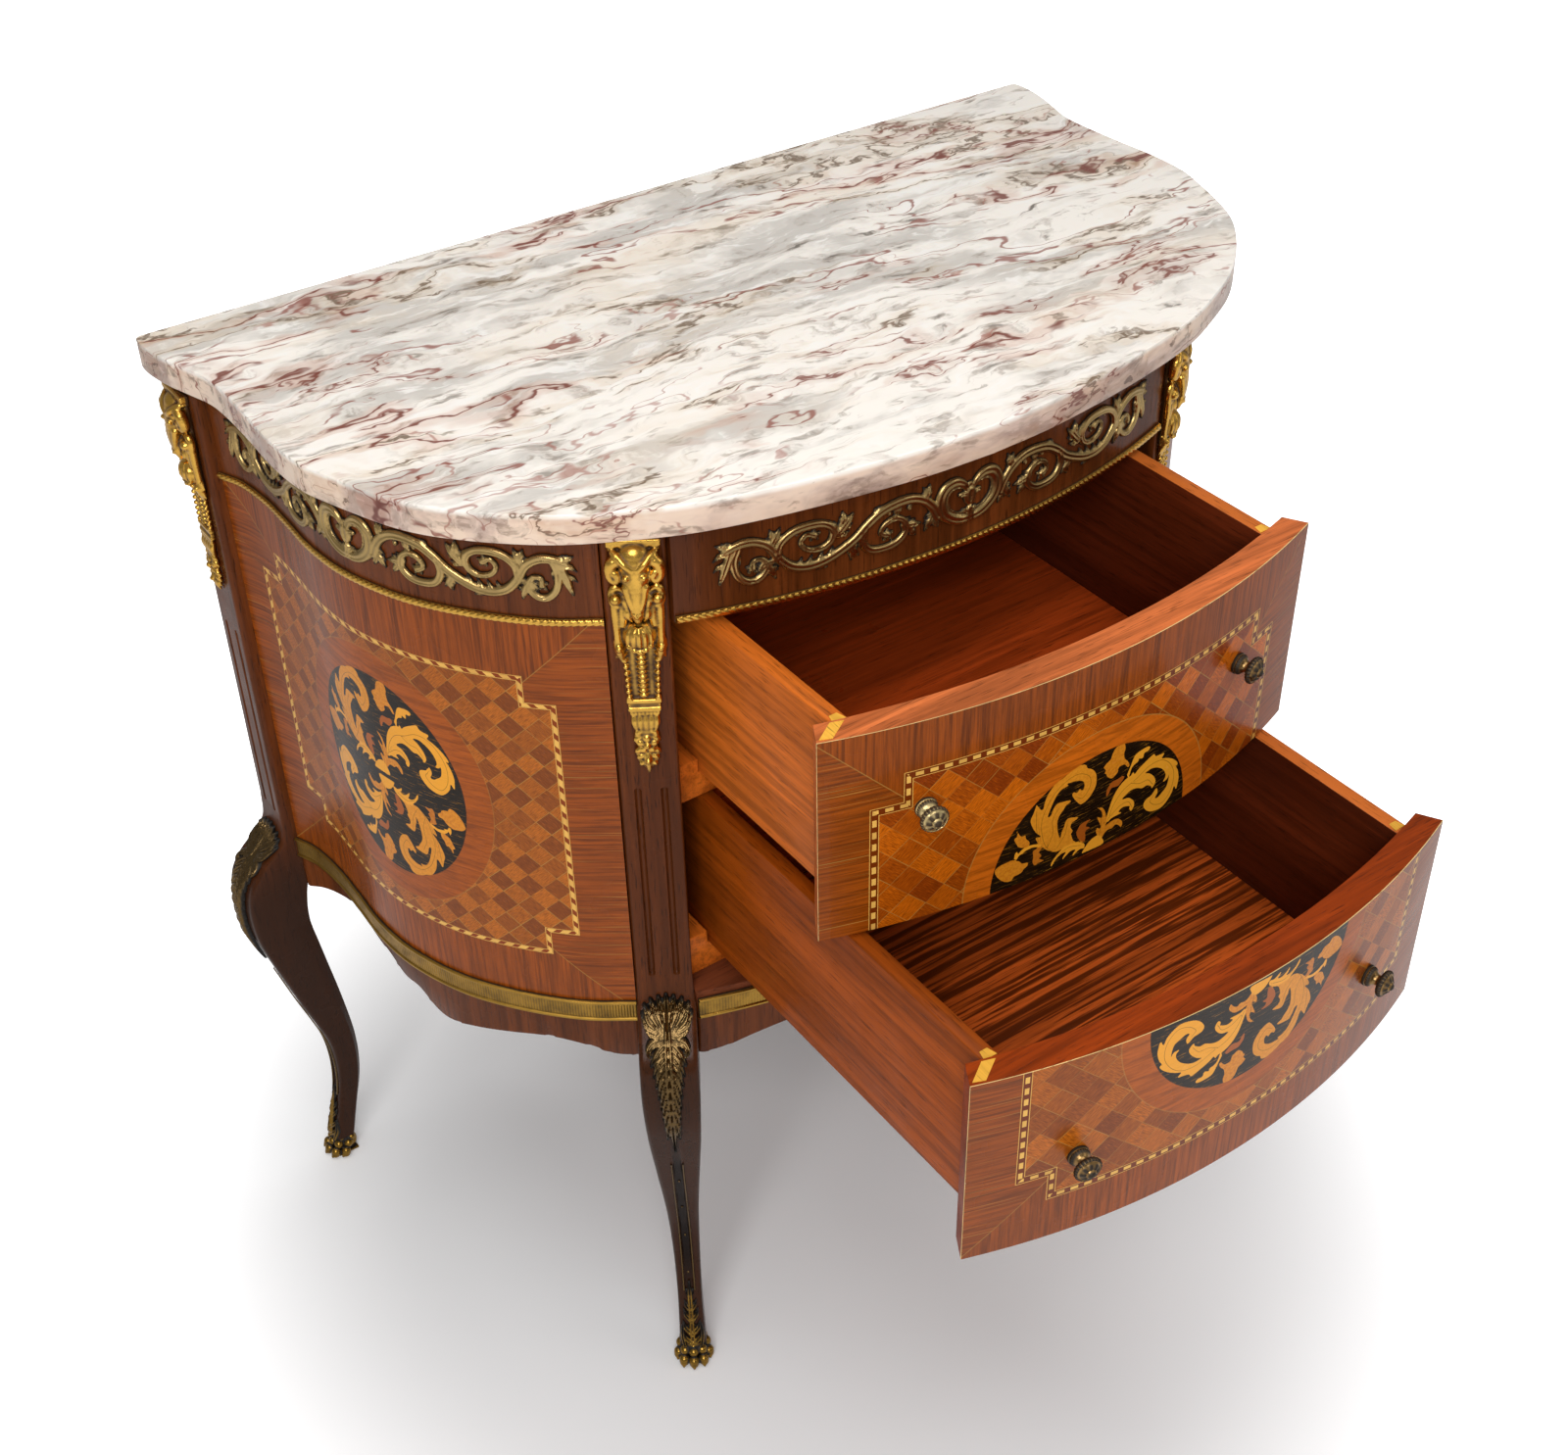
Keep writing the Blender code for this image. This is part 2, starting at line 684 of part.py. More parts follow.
def make_knee_mount(name, post, side):
    levels = sorted({knee_mount_top, knee_mount_bottom}
                    | {z for z in leg_heights if knee_mount_bottom < z < knee_mount_top}, reverse=True)
    count = len(knee_mount_width_shares)
    shares = [i / (count - 1) for i in range(count)]
    rings = []
    for z in levels:
        place_share = (knee_mount_top - z) / (knee_mount_top - knee_mount_bottom)
        half = knee_mount_half_width * float(np.interp(place_share, shares, knee_mount_width_shares))
        relief = knee_mount_relief * float(np.interp(place_share, shares, knee_mount_relief_shares))
        base = leg_face(z) + gap
        points = ((-half, base), (-half, base + relief * mount_edge_share),
                  (-half * mount_shoulder_share, base + relief * mount_shoulder_share), (0.0, base + relief),
                  (half * mount_shoulder_share, base + relief * mount_shoulder_share),
                  (half, base + relief * mount_edge_share), (half, base))
        rings.append([post.spot(across, outward, z, side) for across, outward in points])
    loft(name, rings, "gilt_brass", commode)


def make_sabot(name, post, side):
    ledge = foot_height - gap
    toe_points = 9
    rings = []
    for height_share, size_share in zip(paw_height_shares, paw_size_shares):
        z = ledge * height_share
        half = paw_half_width * size_share
        front = []
        for i in range(toe_points):
            angle = math.pi * (1 - i / (toe_points - 1))
            notch = 1.0 - (toe_notch_share if i % 2 else 0.0)
            front.append((half * math.cos(angle) * notch, paw_toe_reach * size_share * math.sin(angle) * notch))
        back = []
        for i in range(1, toe_points - 1):
            angle = -math.pi * i / (toe_points - 1)
            back.append((half * math.cos(angle), paw_heel_reach * size_share * math.sin(angle)))
        ring = [(a, s) for a, s in front + back]
        rings.append([post.spot(a, s, z, side) for a, s in ring])
    levels = [foot_height] + [z for z in reversed(leg_heights) if foot_height < z < sabot_leaf_top] + [sabot_leaf_top]
    for index, z in enumerate(levels):
        taper = 1.0 - index / len(levels)
        half = leg_width(z) / 2 * taper
        base = leg_face(z) + gap
        front = []
        for i in range(toe_points):
            angle = math.pi * (1 - i / (toe_points - 1))
            front.append((half * math.cos(angle), base + sabot_leaf_thickness * math.sin(angle)))
        back = []
        for i in range(1, toe_points - 1):
            angle = math.pi * i / (toe_points - 1)
            back.append((half * math.cos(angle), base))
        rings.append([post.spot(a, s, z, side) for a, s in front + back])
    loft(name, rings, "gilt_brass", commode)


def make_strips(name, post, side):
    """A brass line down both sides of the leg's channel, joined across its foot."""
    near = channel_width / 2 + gap
    far = near + strip_width
    levels = [strip_top] + [z for z in leg_heights if strip_bottom < z < strip_top] + [strip_bottom]
    path = [((-far, z), (-near, z)) for z in levels[:-1]]
    path.append(((-far, strip_bottom), (-near, strip_bottom + strip_width)))
    path.append(((far, strip_bottom), (near, strip_bottom + strip_width)))
    path.extend([((far, z), (near, z)) for z in reversed(levels[:-1])])
    rings = []
    for outer, inner in path:
        ring = []
        for (across, z), height in ((outer, 0.0), (outer, strip_thickness), (inner, strip_thickness), (inner, 0.0)):
            ring.append(post.spot(across, leg_face(z) + gap + height, z, side))
        rings.append(ring)
    loft(name, rings, "gilt_brass", commode)


def leaf_line(u, v, heading, length, width, bend):
    """A curled leaf as a line of (along, height, half width)."""
    line = []
    run = length / (leaf_points - 1)
    for i, swell in enumerate(leaf_swell_shares):
        line.append((u, v, width * swell))
        turned = heading + bend * i / (leaf_points - 1)
        u += math.cos(turned) * run
        v += math.sin(turned) * run
    return line


def scroll_lines(half_length, bays, start):
    """A running scroll from start to half_length: wavy stem, a volute in every wave, and leaves."""
    pitch = (half_length - start) / bays
    middle = scroll_height / 2
    swing = middle * volute_swing_share
    leaf = scroll_height * leaf_length_share
    width = scroll_height * leaf_width_share
    stem = []
    for i in range(stem_points + 1):
        u = pitch * bays * i / stem_points
        stem.append((start + u, swing * math.sin(math.pi * u / pitch), scroll_stem))
    lines = [stem]
    for bay in range(bays):
        way = 1 if bay % 2 == 0 else -1
        centre_u = start + pitch * (bay + 0.5)
        radius = pitch / 2 * volute_first_share
        volute = []
        for i in range(volute_points + 1):
            share = i / volute_points
            angle = -way * 2 * math.pi * volute_turns * share
            reach = radius * (1 - share) + scroll_rosette * share
            reach_up = min(reach, middle * volute_first_share - scroll_stem)
            volute.append((centre_u + reach * math.cos(angle), reach_up * math.sin(angle),
                           scroll_stem * (1.0 - 0.3 * share)))
        volute[0] = (start + pitch * (bay + 1), 0.0, scroll_stem)
        lines.append(volute)
        lines.append([(centre_u, 0.0, scroll_rosette), (centre_u + scroll_grid, 0.0, scroll_rosette)])
        for place_share, heading, size_share, curl in leaf_plan_shares:
            foot_u, foot_v, _ = volute[round(volute_points * place_share)]
            lines.append(leaf_line(foot_u, foot_v, way * math.radians(heading), leaf * size_share,
                                   width * size_share, way * curl * leaf_bend))
    return lines


def cartouche_lines():
    """An oval frame with an urn standing in it."""
    tall = scroll_height * cartouche_height_share
    frame = []
    for i in range(ring_points + 1):
        angle = 2 * math.pi * i / ring_points
        frame.append((cartouche_half_width * math.cos(angle), tall * math.sin(angle), scroll_stem))
    urn = [(0.0, scroll_height * up, cartouche_half_width * wide)
           for up, wide in zip(urn_height_shares, urn_width_shares)]
    return [frame, urn]


def drawn_field(lines, along, up):
    """How far every grid point lies outside the drawn lines; below zero is inside them."""
    field = np.full(along.shape, scroll_height)
    for line in lines:
        for (u0, v0, wide0), (u1, v1, wide1) in zip(line[:-1], line[1:]):
            run_u = u1 - u0
            run_v = v1 - v0
            share = ((along - u0) * run_u + (up - v0) * run_v) / (run_u ** 2 + run_v ** 2)
            share = np.clip(share, 0.0, 1.0)
            away = np.hypot(along - u0 - run_u * share, up - v0 - run_v * share)
            field = np.minimum(field, away - wide0 - (wide1 - wide0) * share)
    return field


def field_outlines(field, along, up):
    """Closed outlines of the area where the field is below zero."""
    places = {}
    follow = {}
    rows, columns = field.shape

    def crossing(a, b):
        key = (min(a, b), max(a, b))
        share = field[a] / (field[a] - field[b])
        places[key] = np.array((along[a] + (along[b] - along[a]) * share, up[a] + (up[b] - up[a]) * share))
        return key

    for row in range(rows - 1):
        for column in range(columns - 1):
            corners = ((row, column), (row, column + 1), (row + 1, column + 1), (row + 1, column))
            inside = [field[corner] < 0.0 for corner in corners]
            if all(inside) or not any(inside):
                continue
            leaving = []
            entering = []
            for i in range(4):
                j = (i + 1) % 4
                if inside[i] and not inside[j]:
                    leaving.append((i, crossing(corners[i], corners[j])))
                if inside[j] and not inside[i]:
                    entering.append((i, crossing(corners[i], corners[j])))
            for i, first in leaving:
                before = max(entering, key=lambda entry: (entry[0] - i) % 4)
                follow[first] = before[1]
    loops = []
    while follow:
        first = next(iter(follow))
        key = first
        loop = []
        while key in follow:
            loop.append(places[key])
            key = follow.pop(key)
        loops.append(loop)
    return loops


def thin_out(points, thinning):
    """Leaves out the points that lie within the thinning distance of a straight run."""
    if len(points) < 3:
        return points
    start = points[0]
    run = points[-1] - start
    length = float(np.hypot(run[0], run[1]))
    away = []
    for point in points:
        leg = point - start
        if length > 0.0:
            away.append(abs(run[0] * leg[1] - run[1] * leg[0]) / length)
        else:
            away.append(float(np.hypot(leg[0], leg[1])))
    worst = int(np.argmax(away))
    if away[worst] <= thinning:
        return [points[0], points[-1]]
    return thin_out(points[:worst + 1], thinning)[:-1] + thin_out(points[worst:], thinning)


def signed_area(loop):
    points = np.array(loop)
    following = np.roll(points, -1, axis=0)
    return float(np.sum(points[:, 0] * following[:, 1] - following[:, 0] * points[:, 1])) / 2


def filled_outlines(loops, thinning):
    """The thinned outlines filled with faces; None where thinning made two of them cross."""
    bm = bmesh.new()
    held = 0.0
    for loop in loops:
        outline = thin_out(loop + [loop[0]], thinning)[:-1]
        held += signed_area(outline)
        corners = [bm.verts.new((u, 0.0, v)) for u, v in outline]
        for i in range(len(corners)):
            bm.edges.new((corners[i - 1], corners[i]))
    rims = bm.edges[:]
    bmesh.ops.triangle_fill(bm, use_beauty=True, use_dissolve=False, edges=rims, normal=(0.0, -1.0, 0.0))
    covered = sum(face.calc_area() for face in bm.faces)
    rim_set = set(rims)
    whole = all(len(edge.link_faces) == (1 if edge in rim_set else 2) for edge in bm.edges)
    if whole and abs(abs(held) - covered) < scroll_grid ** 2:
        return bm
    bm.free()
    return None


def make_scroll_mount(name, line, ends, half_length, bays, start, extra_lines, side):
    """Fills the drawn scroll's outlines, gives them thickness and bends them round the frieze."""
    half = scroll_lines(half_length, bays, start)
    mirrored = [[(-u, v, wide) for u, v, wide in drawn] for drawn in half]
    margin = scroll_grid * 2
    reach = half_length + scroll_height * leaf_length_share + margin
    tall = scroll_height / 2 + margin
    columns = np.arange(-reach, reach, scroll_grid)
    rows = np.arange(-tall, tall, scroll_grid)
    along, up = np.meshgrid(columns, rows)
    field = drawn_field(half + mirrored + extra_lines, along, up)
    field = np.maximum(field, np.abs(up) - scroll_height / 2)
    lengths = line_lengths(line)
    middle = lengths[-1] / 2
    loops = [loop for loop in field_outlines(field, along, up)
             if abs(signed_area(loop)) > scroll_least_hole ** 2]
    thinning = scroll_thinning
    bm = filled_outlines(loops, thinning)
    while bm is None:
        thinning *= finer_share
        bm = filled_outlines(loops, thinning)
    bmesh.ops.translate(bm, verts=bm.verts, vec=(middle, 0.0, 0.0))
    for i in range(1, len(line) - 1):
        before = line[i] - line[i - 1]
        after = line[i + 1] - line[i]
        turn = math.atan2(abs(before[0] * after[1] - before[1] * after[0]), float(np.dot(before, after)))
        if turn > scroll_cut_turn:
            geometry = bm.verts[:] + bm.edges[:] + bm.faces[:]
            bmesh.ops.bisect_plane(bm, geom=geometry, dist=gap / 100, plane_co=(lengths[i], 0.0, 0.0),
                                   plane_no=(1.0, 0.0, 0.0))
    grown = bmesh.ops.extrude_face_region(bm, geom=bm.faces[:])
    for item in grown["geom"]:
        if isinstance(item, bmesh.types.BMVert):
            item.co.y = scroll_thickness
    directions = line_directions(line, ends)
    places = np.array(line)
    centre_height = (frieze_bottom + bead_height + case_top) / 2
    for vert in bm.verts:
        u, outward, v = vert.co
        base = np.array([np.interp(u, lengths, places[:, k]) for k in range(2)])
        direction = np.array([np.interp(u, lengths, [d[k] for d in directions]) for k in range(2)])
        x, depth = base + direction * (outward + gap)
        vert.co = spot(side * x, depth, centre_height + v)
    place(name, bm, "gilt_brass", commode)


def make_scroll_mounts():
    make_scroll_mount("front_scroll_mount", front_line, front_ends, front_scroll_half, front_scroll_bays,
                      cartouche_half_width, cartouche_lines(), 1)
    side_half = line_lengths(side_line)[-1] / 2 - scroll_end_margin
    for side_name, side in sides:
        make_scroll_mount(side_name + "_scroll_mount", side_line, side_ends, side_half, side_scroll_bays,
                          0.0, [], side)


def make_drawer(level, bottom, carrier):
    top = bottom + drawer_front_height
    across = [drawer_half_width * (2 * i / front_stations - 1) for i in range(front_stations + 1)]
    inner_across = [drawer_inner_half * (1 - 2 * i / front_stations) for i in range(front_stations + 1)]
    outline = [(x, drawer_face(x)) for x in across] + [(x, drawer_inner(x)) for x in inner_across]
    prism(level + "_drawer_front", outline, bottom, top, "veneer", carrier)

    side_bottom = bottom + drawer_side_lift
    side_top = top - drawer_side_drop
    side_inner = drawer_side_outer - drawer_side_thickness
    side_outline = [(side_inner, drawer_rear_depth), (drawer_side_outer, drawer_rear_depth),
                    (drawer_side_outer, drawer_inner(drawer_side_outer) - gap),
                    (side_inner, drawer_inner(side_inner) - gap)]
    for side_name, side in sides:
        prism(level + "_drawer_" + side_name + "_side", [(side * x, d) for x, d in side_outline],
              side_bottom, side_top, "drawer_wood", carrier)

    fit = side_inner - gap
    back_front_depth = drawer_rear_depth + drawer_back_thickness
    block(level + "_drawer_back", (-fit, drawer_rear_depth, side_bottom),
          (fit, back_front_depth, side_top - drawer_back_drop), "drawer_wood", carrier)

    floor_low = side_bottom + drawer_bottom_lift
    floor_across = [fit * (1 - 2 * i / front_stations) for i in range(front_stations + 1)]
    floor_outline = [(-fit, back_front_depth + gap), (fit, back_front_depth + gap)]
    floor_outline += [(x, drawer_inner(x) - gap) for x in floor_across]
    prism(level + "_drawer_bottom", floor_outline, floor_low, floor_low + drawer_bottom_thickness,
          "drawer_wood", carrier)
    make_knobs(level, bottom, carrier)


def make_knobs(level, bottom, carrier):
    for side_name, side in sides:
        name = level + "_" + side_name
        foot, out, along = knob_seat(name)
        z = bottom + drawer_front_height * knob_height_shares[name]
        rings = []
        for radius_share, length_share in zip(knob_radius_shares, knob_length_shares):
            radius = knob_radius * radius_share
            centre = foot + out * knob_length * length_share
            ring = []
            for i in range(knob_sides):
                angle = 2 * math.pi * i / knob_sides
                x, depth = centre + along * radius * math.cos(angle)
                ring.append(spot(side * x, depth, z + radius * math.sin(angle)))
            rings.append(ring)
        loft(name + "_knob", rings, "gilt_brass", carrier)


def make_runners():
    front = frieze_depth - drawer_front_end_thickness - runner_front_clearance
    rear = back_front + gap
    outer = opening_half_width - gap
    lip_inner = drawer_side_outer + runner_side_clearance
    for level, bottom, low in (("upper", upper_front_bottom, upper_front_bottom - drawer_front_gap),
                               ("lower", lower_front_bottom, carcase_floor + gap)):
        side_bottom = bottom + drawer_side_lift
        seat = side_bottom - gap
        crest = side_bottom + runner_lip
        section = ((runner_inner, low), (outer, low), (outer, crest), (lip_inner, crest), (lip_inner, seat),
                   (runner_inner, seat))
        for side_name, side in sides:
            rings = [[spot(side * x, depth, z) for x, z in section] for depth in (rear, front)]
            loft(level + "_" + side_name + "_runner", rings, "drawer_wood", commode)


make_marble()
make_carcase()
make_skin()
make_legs()
make_leg_brass()
make_scroll_mounts()
make_runners()
make_drawer("upper", upper_front_bottom, drawer_carriers["upper"])
make_drawer("lower", lower_front_bottom, drawer_carriers["lower"])
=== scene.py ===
"""The looks of a demilune commode chest: marble top, marquetry panels and drawers, fluted posts on
cabriole legs, and cast brass mounts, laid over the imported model.

Most of the work is drawn flat as (along, outward, height) and then bent round the case or laid over
a leg.  Plan points are (x, depth), with depth measured forwards from the back of the marble.
"""

import json
import math

import bmesh
import bpy
import numpy as np
from mathutils import Matrix, Vector

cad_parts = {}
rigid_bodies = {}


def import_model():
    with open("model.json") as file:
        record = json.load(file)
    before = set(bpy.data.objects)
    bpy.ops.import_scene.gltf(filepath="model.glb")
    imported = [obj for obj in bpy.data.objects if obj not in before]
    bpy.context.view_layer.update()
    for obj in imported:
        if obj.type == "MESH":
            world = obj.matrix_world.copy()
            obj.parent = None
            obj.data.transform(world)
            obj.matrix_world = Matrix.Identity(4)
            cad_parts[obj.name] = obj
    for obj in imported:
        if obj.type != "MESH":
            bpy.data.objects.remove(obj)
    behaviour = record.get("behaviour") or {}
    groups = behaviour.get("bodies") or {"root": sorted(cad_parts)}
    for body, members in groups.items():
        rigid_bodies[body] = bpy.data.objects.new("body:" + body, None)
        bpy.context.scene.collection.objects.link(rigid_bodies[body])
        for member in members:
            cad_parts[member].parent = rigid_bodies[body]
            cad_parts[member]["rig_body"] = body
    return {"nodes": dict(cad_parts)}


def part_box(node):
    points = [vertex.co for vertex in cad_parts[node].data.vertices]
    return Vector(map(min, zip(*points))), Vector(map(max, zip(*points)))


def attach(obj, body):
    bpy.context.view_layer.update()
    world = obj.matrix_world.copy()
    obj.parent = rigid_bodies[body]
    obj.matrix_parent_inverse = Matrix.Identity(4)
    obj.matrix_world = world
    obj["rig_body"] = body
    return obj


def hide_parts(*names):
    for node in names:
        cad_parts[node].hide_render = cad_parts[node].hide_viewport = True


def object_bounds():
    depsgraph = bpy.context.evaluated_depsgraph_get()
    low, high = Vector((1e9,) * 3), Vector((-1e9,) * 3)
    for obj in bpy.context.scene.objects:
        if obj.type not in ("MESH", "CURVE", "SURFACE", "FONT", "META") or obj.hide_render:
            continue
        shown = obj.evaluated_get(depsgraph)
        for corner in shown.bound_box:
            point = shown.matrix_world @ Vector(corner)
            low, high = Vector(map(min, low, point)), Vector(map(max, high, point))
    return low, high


bl_info = {
    "name": "Demilune commode",
    "version": (1, 0, 0),
    "blender": (4, 5, 0),
    "location": "3D View > Sidebar > Commode",
    "description": "Builds the marble, marquetry, legs and brass of a demilune commode chest",
    "category": "Object",
}

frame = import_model()
cad_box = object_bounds()

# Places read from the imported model
gap = 0.0003
back_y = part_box("marble_top")[1].y
marble_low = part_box("marble_top")[0].z
marble_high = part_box("marble_top")[1].z
case_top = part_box("left_frieze")[1].z
frieze_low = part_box("left_frieze")[0].z
bead_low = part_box("left_bead")[0].z
bead_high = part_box("left_bead")[1].z
band_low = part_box("left_base_band")[0].z
band_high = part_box("left_base_band")[1].z
panel_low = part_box("left_panel")[0].z
panel_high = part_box("left_panel")[1].z
drawer_open = {level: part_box("front_frieze")[0].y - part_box(level + "_drawer_front")[0].y
               for level in ("upper", "lower")}

# The case seen from above, as the model has it
case_half_width = 0.3890
case_back_depth = 0.0020
opening_half_width = 0.2140
front_corner_depth = 0.3990
front_bow = 0.0375
frieze_depth = front_corner_depth + 0.0015
panel_recess = 0.0100
panel_thickness = 0.0140
side_curve_shares = ((0.0, 0.0), (0.256, 0.075), (0.518, 0.189), (0.726, 0.315), (0.865, 0.4625),
                     (0.912, 0.595), (0.9065, 0.722), (0.9065, 0.831), (0.938, 0.933), (0.975, 1.0))
marble_arris = 0.0040
marble_side_overhang = 0.0170
marble_front_overhang = 0.0240
marble_shares = ((0.148, 0.9924), (0.346, 0.964), (0.504, 0.9286), (0.614, 0.886), (0.717, 0.833),
                 (0.818, 0.751), (0.884, 0.670), (0.941, 0.541), (0.9557, 0.487), (0.960, 0.411),
                 (0.9557, 0.325), (0.954, 0.242), (0.958, 0.190), (0.973, 0.143), (0.9906, 0.091),
                 (1.0, 0.043), (0.999, 0.008))
apron_drop = 0.0410
side_apron_shares = ((0.0, 0.97), (0.05, 0.94), (0.11, 0.71), (0.19, 0.61), (0.28, 0.72), (0.37, 0.88),
                     (0.43, 1.0), (0.47, 0.92), (0.52, 0.60), (0.57, 0.56), (0.63, 0.30), (0.72, 0.20),
                     (0.80, 0.22), (0.88, 0.44), (1.0, 0.84))
front_apron_shares = ((0.0, 0.95), (0.04, 0.93), (0.10, 0.76), (0.18, 0.63), (0.26, 0.66), (0.36, 0.84),
                      (0.43, 1.0), (0.5, 1.05))

# Posts as the model has them; below the knee the legs are slimmer, and the splays move the feet a little
post_width = 0.0448
post_depth = 0.0340
front_post_turn = math.radians(32.4)
rear_post_turn = math.radians(90.0)
flute_width = 0.0048
flute_depth = 0.0030
flute_across = 0.0092
flute_low = 0.4290
flute_high = 0.6090
knee_height = 0.4300
knee_reach = 0.0420
foot_height = 0.0222
splay_height = 0.3600
front_splay = (0.0086, 0.0197)
rear_splay = (-0.0045, -0.0070)
rear_mount_share = 0.90
leg_edge = 0.0040
channel_width = 0.0068
channel_depth = 0.0016
leg_shoulder_level = 5
leg_height_shares = (1.0, 0.94, 0.905, 0.87, 0.83, 0.77, 0.70, 0.625, 0.545, 0.465, 0.385, 0.31, 0.235,
                     0.165, 0.095, 0.0)
leg_face_shares = (0.0, 0.06, 0.34, 0.70, 0.92, 1.0, 0.95, 0.78, 0.57, 0.36, 0.13, -0.06, -0.12, -0.08,
                   0.05, 0.24)
leg_back_shares = (-1.0, -0.90, -0.76, -0.56, -0.38, -0.22, -0.22, -0.34, -0.48, -0.62, -0.74, -0.82,
                   -0.82, -0.72, -0.52, -0.24)
leg_width_shares = (1.0, 1.0, 1.0, 1.0, 1.0, 1.0, 0.96, 0.90, 0.80, 0.70, 0.61, 0.55, 0.50, 0.47, 0.46,
                    0.50)
leg_channel_shares = (0.0, 0.0, 0.0, 0.0, 0.0, 0.0, 0.0, 0.3, 1.0, 1.0, 1.0, 1.0, 1.0, 0.6, 0.0, 0.0)

# Drawers, as the model has them
drawer_half_width = 0.2115
drawer_end_thickness = 0.0168
drawer_inner_bow = 0.0291
drawer_end_slope = 0.55
drawer_inner_half = drawer_half_width - drawer_end_slope * drawer_end_thickness
drawer_side_outer = 0.1900
drawer_side_inner = 0.1780
veneer_thickness = 0.0006
knob_insets = {"upper_left": 0.0692, "upper_right": 0.0819, "lower_left": 0.0743, "lower_right": 0.0865}

# Marquetry: the pattern of the two drawers runs over both
drawer_pattern_height = 0.5795
drawer_centre = -0.0023
panel_pattern_along = 0.1900
panel_pattern_height = 0.5760

# Inlaid ovals, measured from the middle of their pattern, and where the fine grid under them ends
panel_oval_shift = (0.0, 0.0015)
panel_oval_scales = (0.86, 1.05)
panel_oval_reach = 0.078
panel_oval_low = 0.4820
panel_oval_high = 0.6730
drawer_oval_shift = (-0.0027, 0.0)
drawer_oval_left = -0.0955
drawer_oval_right = 0.0900
drawer_oval_reach = 0.088

# Dovetails: how far each corner lies across and forwards of the corner of the boards that meet there
dovetail_thickness = 0.0004
side_dovetail = ((0.0010, -0.0006), (-0.0010, -0.0006), (-0.0030, -0.0080), (0.0030, -0.0080))
front_dovetail = ((-0.0060, 0.0040), (0.0030, 0.0010), (-0.0030, -0.0020), (-0.0110, 0.0015))

# Eased edges of the boards
frieze_edge = 0.0008
apron_edge = 0.0015
drawer_edge = 0.0008
floor_edge = 0.0004
case_edge = 0.0006
runner_edge = 0.0005

# Brass bead and band
bead_step = 0.0008
bead_twist = 0.0048
band_step = 0.00055
band_fillet = 0.0032
band_crease = 0.0004
band_relief = 0.0030
fillet_floor = 0.0012
fillet_dome = 0.0018
rib_spacing = 0.0022
rib_floor = 0.0014
rib_height = 0.0004

# Cast mounts: each relief is its lift, the depth of its grooves and its base
full_stroke = 0.0022
scroll_drop = 0.0050
scroll_reach = (0.1890, 0.0215)
scroll_step = 0.0008
scroll_swell = 1.14
side_scroll_share = 0.905
ram_voxel = 0.00072
ram_lift = 0.0040
ram_ground_low = 0.7320
ram_ground_top = 0.0036
ram_ground_fade = 0.0010
hollow_depth = 0.00062
knee_low = (-0.0208, 0.2695)
knee_high = (0.0208, 0.4130)
knee_step = 0.0008
knee_relief = (0.0050, 0.0030, 0.0009)
knee_nail = (-0.0022, 0.0046, 0.3975)
strip_width = 0.0016
strip_low = 0.0760
strip_high = 0.2520
strip_step = 0.0040
strip_edge = 0.0004
strip_dome = 0.0008
strip_nail_low = 0.016
strip_nail_high = 0.030
paw_voxel = 0.0008
paw_height = 0.037
sabot_low = (-0.012, 0.0215)
sabot_high = (0.012, 0.0855)
sabot_step = 0.0006
sabot_relief = (0.0032, 0.0026, 0.0008)
knob_steps = 96
knob_hollow_depth = 0.0006
petal_height = 0.00045

# Fineness
fine = 0.0011
coarse = 0.0060
flute_end = 0.003
flute_end_step = 0.0005
flute_step = 0.008
post_step = 0.012
leg_step = 0.0036
line_steps = 12
sharp_angle = math.radians(35.0)

# Lengths in the finishes
pore_depth = 0.0002
marble_ripple = 0.0004
brass_grain = 0.0003
veneer_grain = 0.0003
foot_dark_high = 0.445
foot_dark_low = 0.345
stringing_trim = 0.00050
block_inset = 0.00165
rope_inset = 0.00095
mitre_width = 0.0007
mitre_core = 0.0002
engraving_width = 0.00034
engraving_core = 0.00014
inlay_joint = 0.00008
chip_width = 0.0014
chip_low = (0.425, 0.440)
chip_high = (0.645, 0.630)
chip_rag = 0.006
marble_edge_fade = 0.001
marble_edge_low = 0.005


def tint(red, green, blue):
    """A colour as seen on a screen, 0 to 255 for each part, as the light that a shader takes."""
    parts = []
    for part in (red, green, blue):
        share = part / 255
        parts.append(share / 12.92 if share <= 0.04045 else ((share + 0.055) / 1.055) ** 2.4)
    return tuple(parts)


def colour_setting(name, description, red, green, blue):
    return bpy.props.FloatVectorProperty(name=name, description=description, subtype="COLOR", size=3,
                                         min=0.0, max=1.0, default=tint(red, green, blue))


class ChestColours(bpy.types.PropertyGroup):
    """The colours that a user would change."""

    marble: colour_setting("Marble", "Ground colour of the marble", 255, 247, 237)
    marble_vein: colour_setting("Marble veins", "Burgundy veins", 142, 66, 48)
    mahogany: colour_setting("Mahogany", "Frieze, posts, legs and aprons", 104, 52, 20)
    border: colour_setting("Border veneer", "Crossbanding round the marquetry", 142, 67, 11)
    light_square: colour_setting("Light squares", "Paler squares of the parquetry", 214, 108, 14)
    dark_square: colour_setting("Dark squares", "Darker squares of the parquetry", 140, 58, 8)
    ring: colour_setting("Ring veneer", "Plain band round the oval", 196, 98, 18)
    oval: colour_setting("Oval ground", "Blackened ground of the oval", 34, 22, 10)
    inlay: colour_setting("Inlaid leaves", "Golden wood of the scrolling leaves", 242, 164, 44)
    stringing: colour_setting("Stringing", "Pale wood of the stringing", 232, 180, 88)
    gilt: colour_setting("Gilt brass", "Bright ram's-head mounts and beads", 222, 172, 78)
    aged: colour_setting("Aged brass", "Dull scroll mounts", 186, 156, 100)


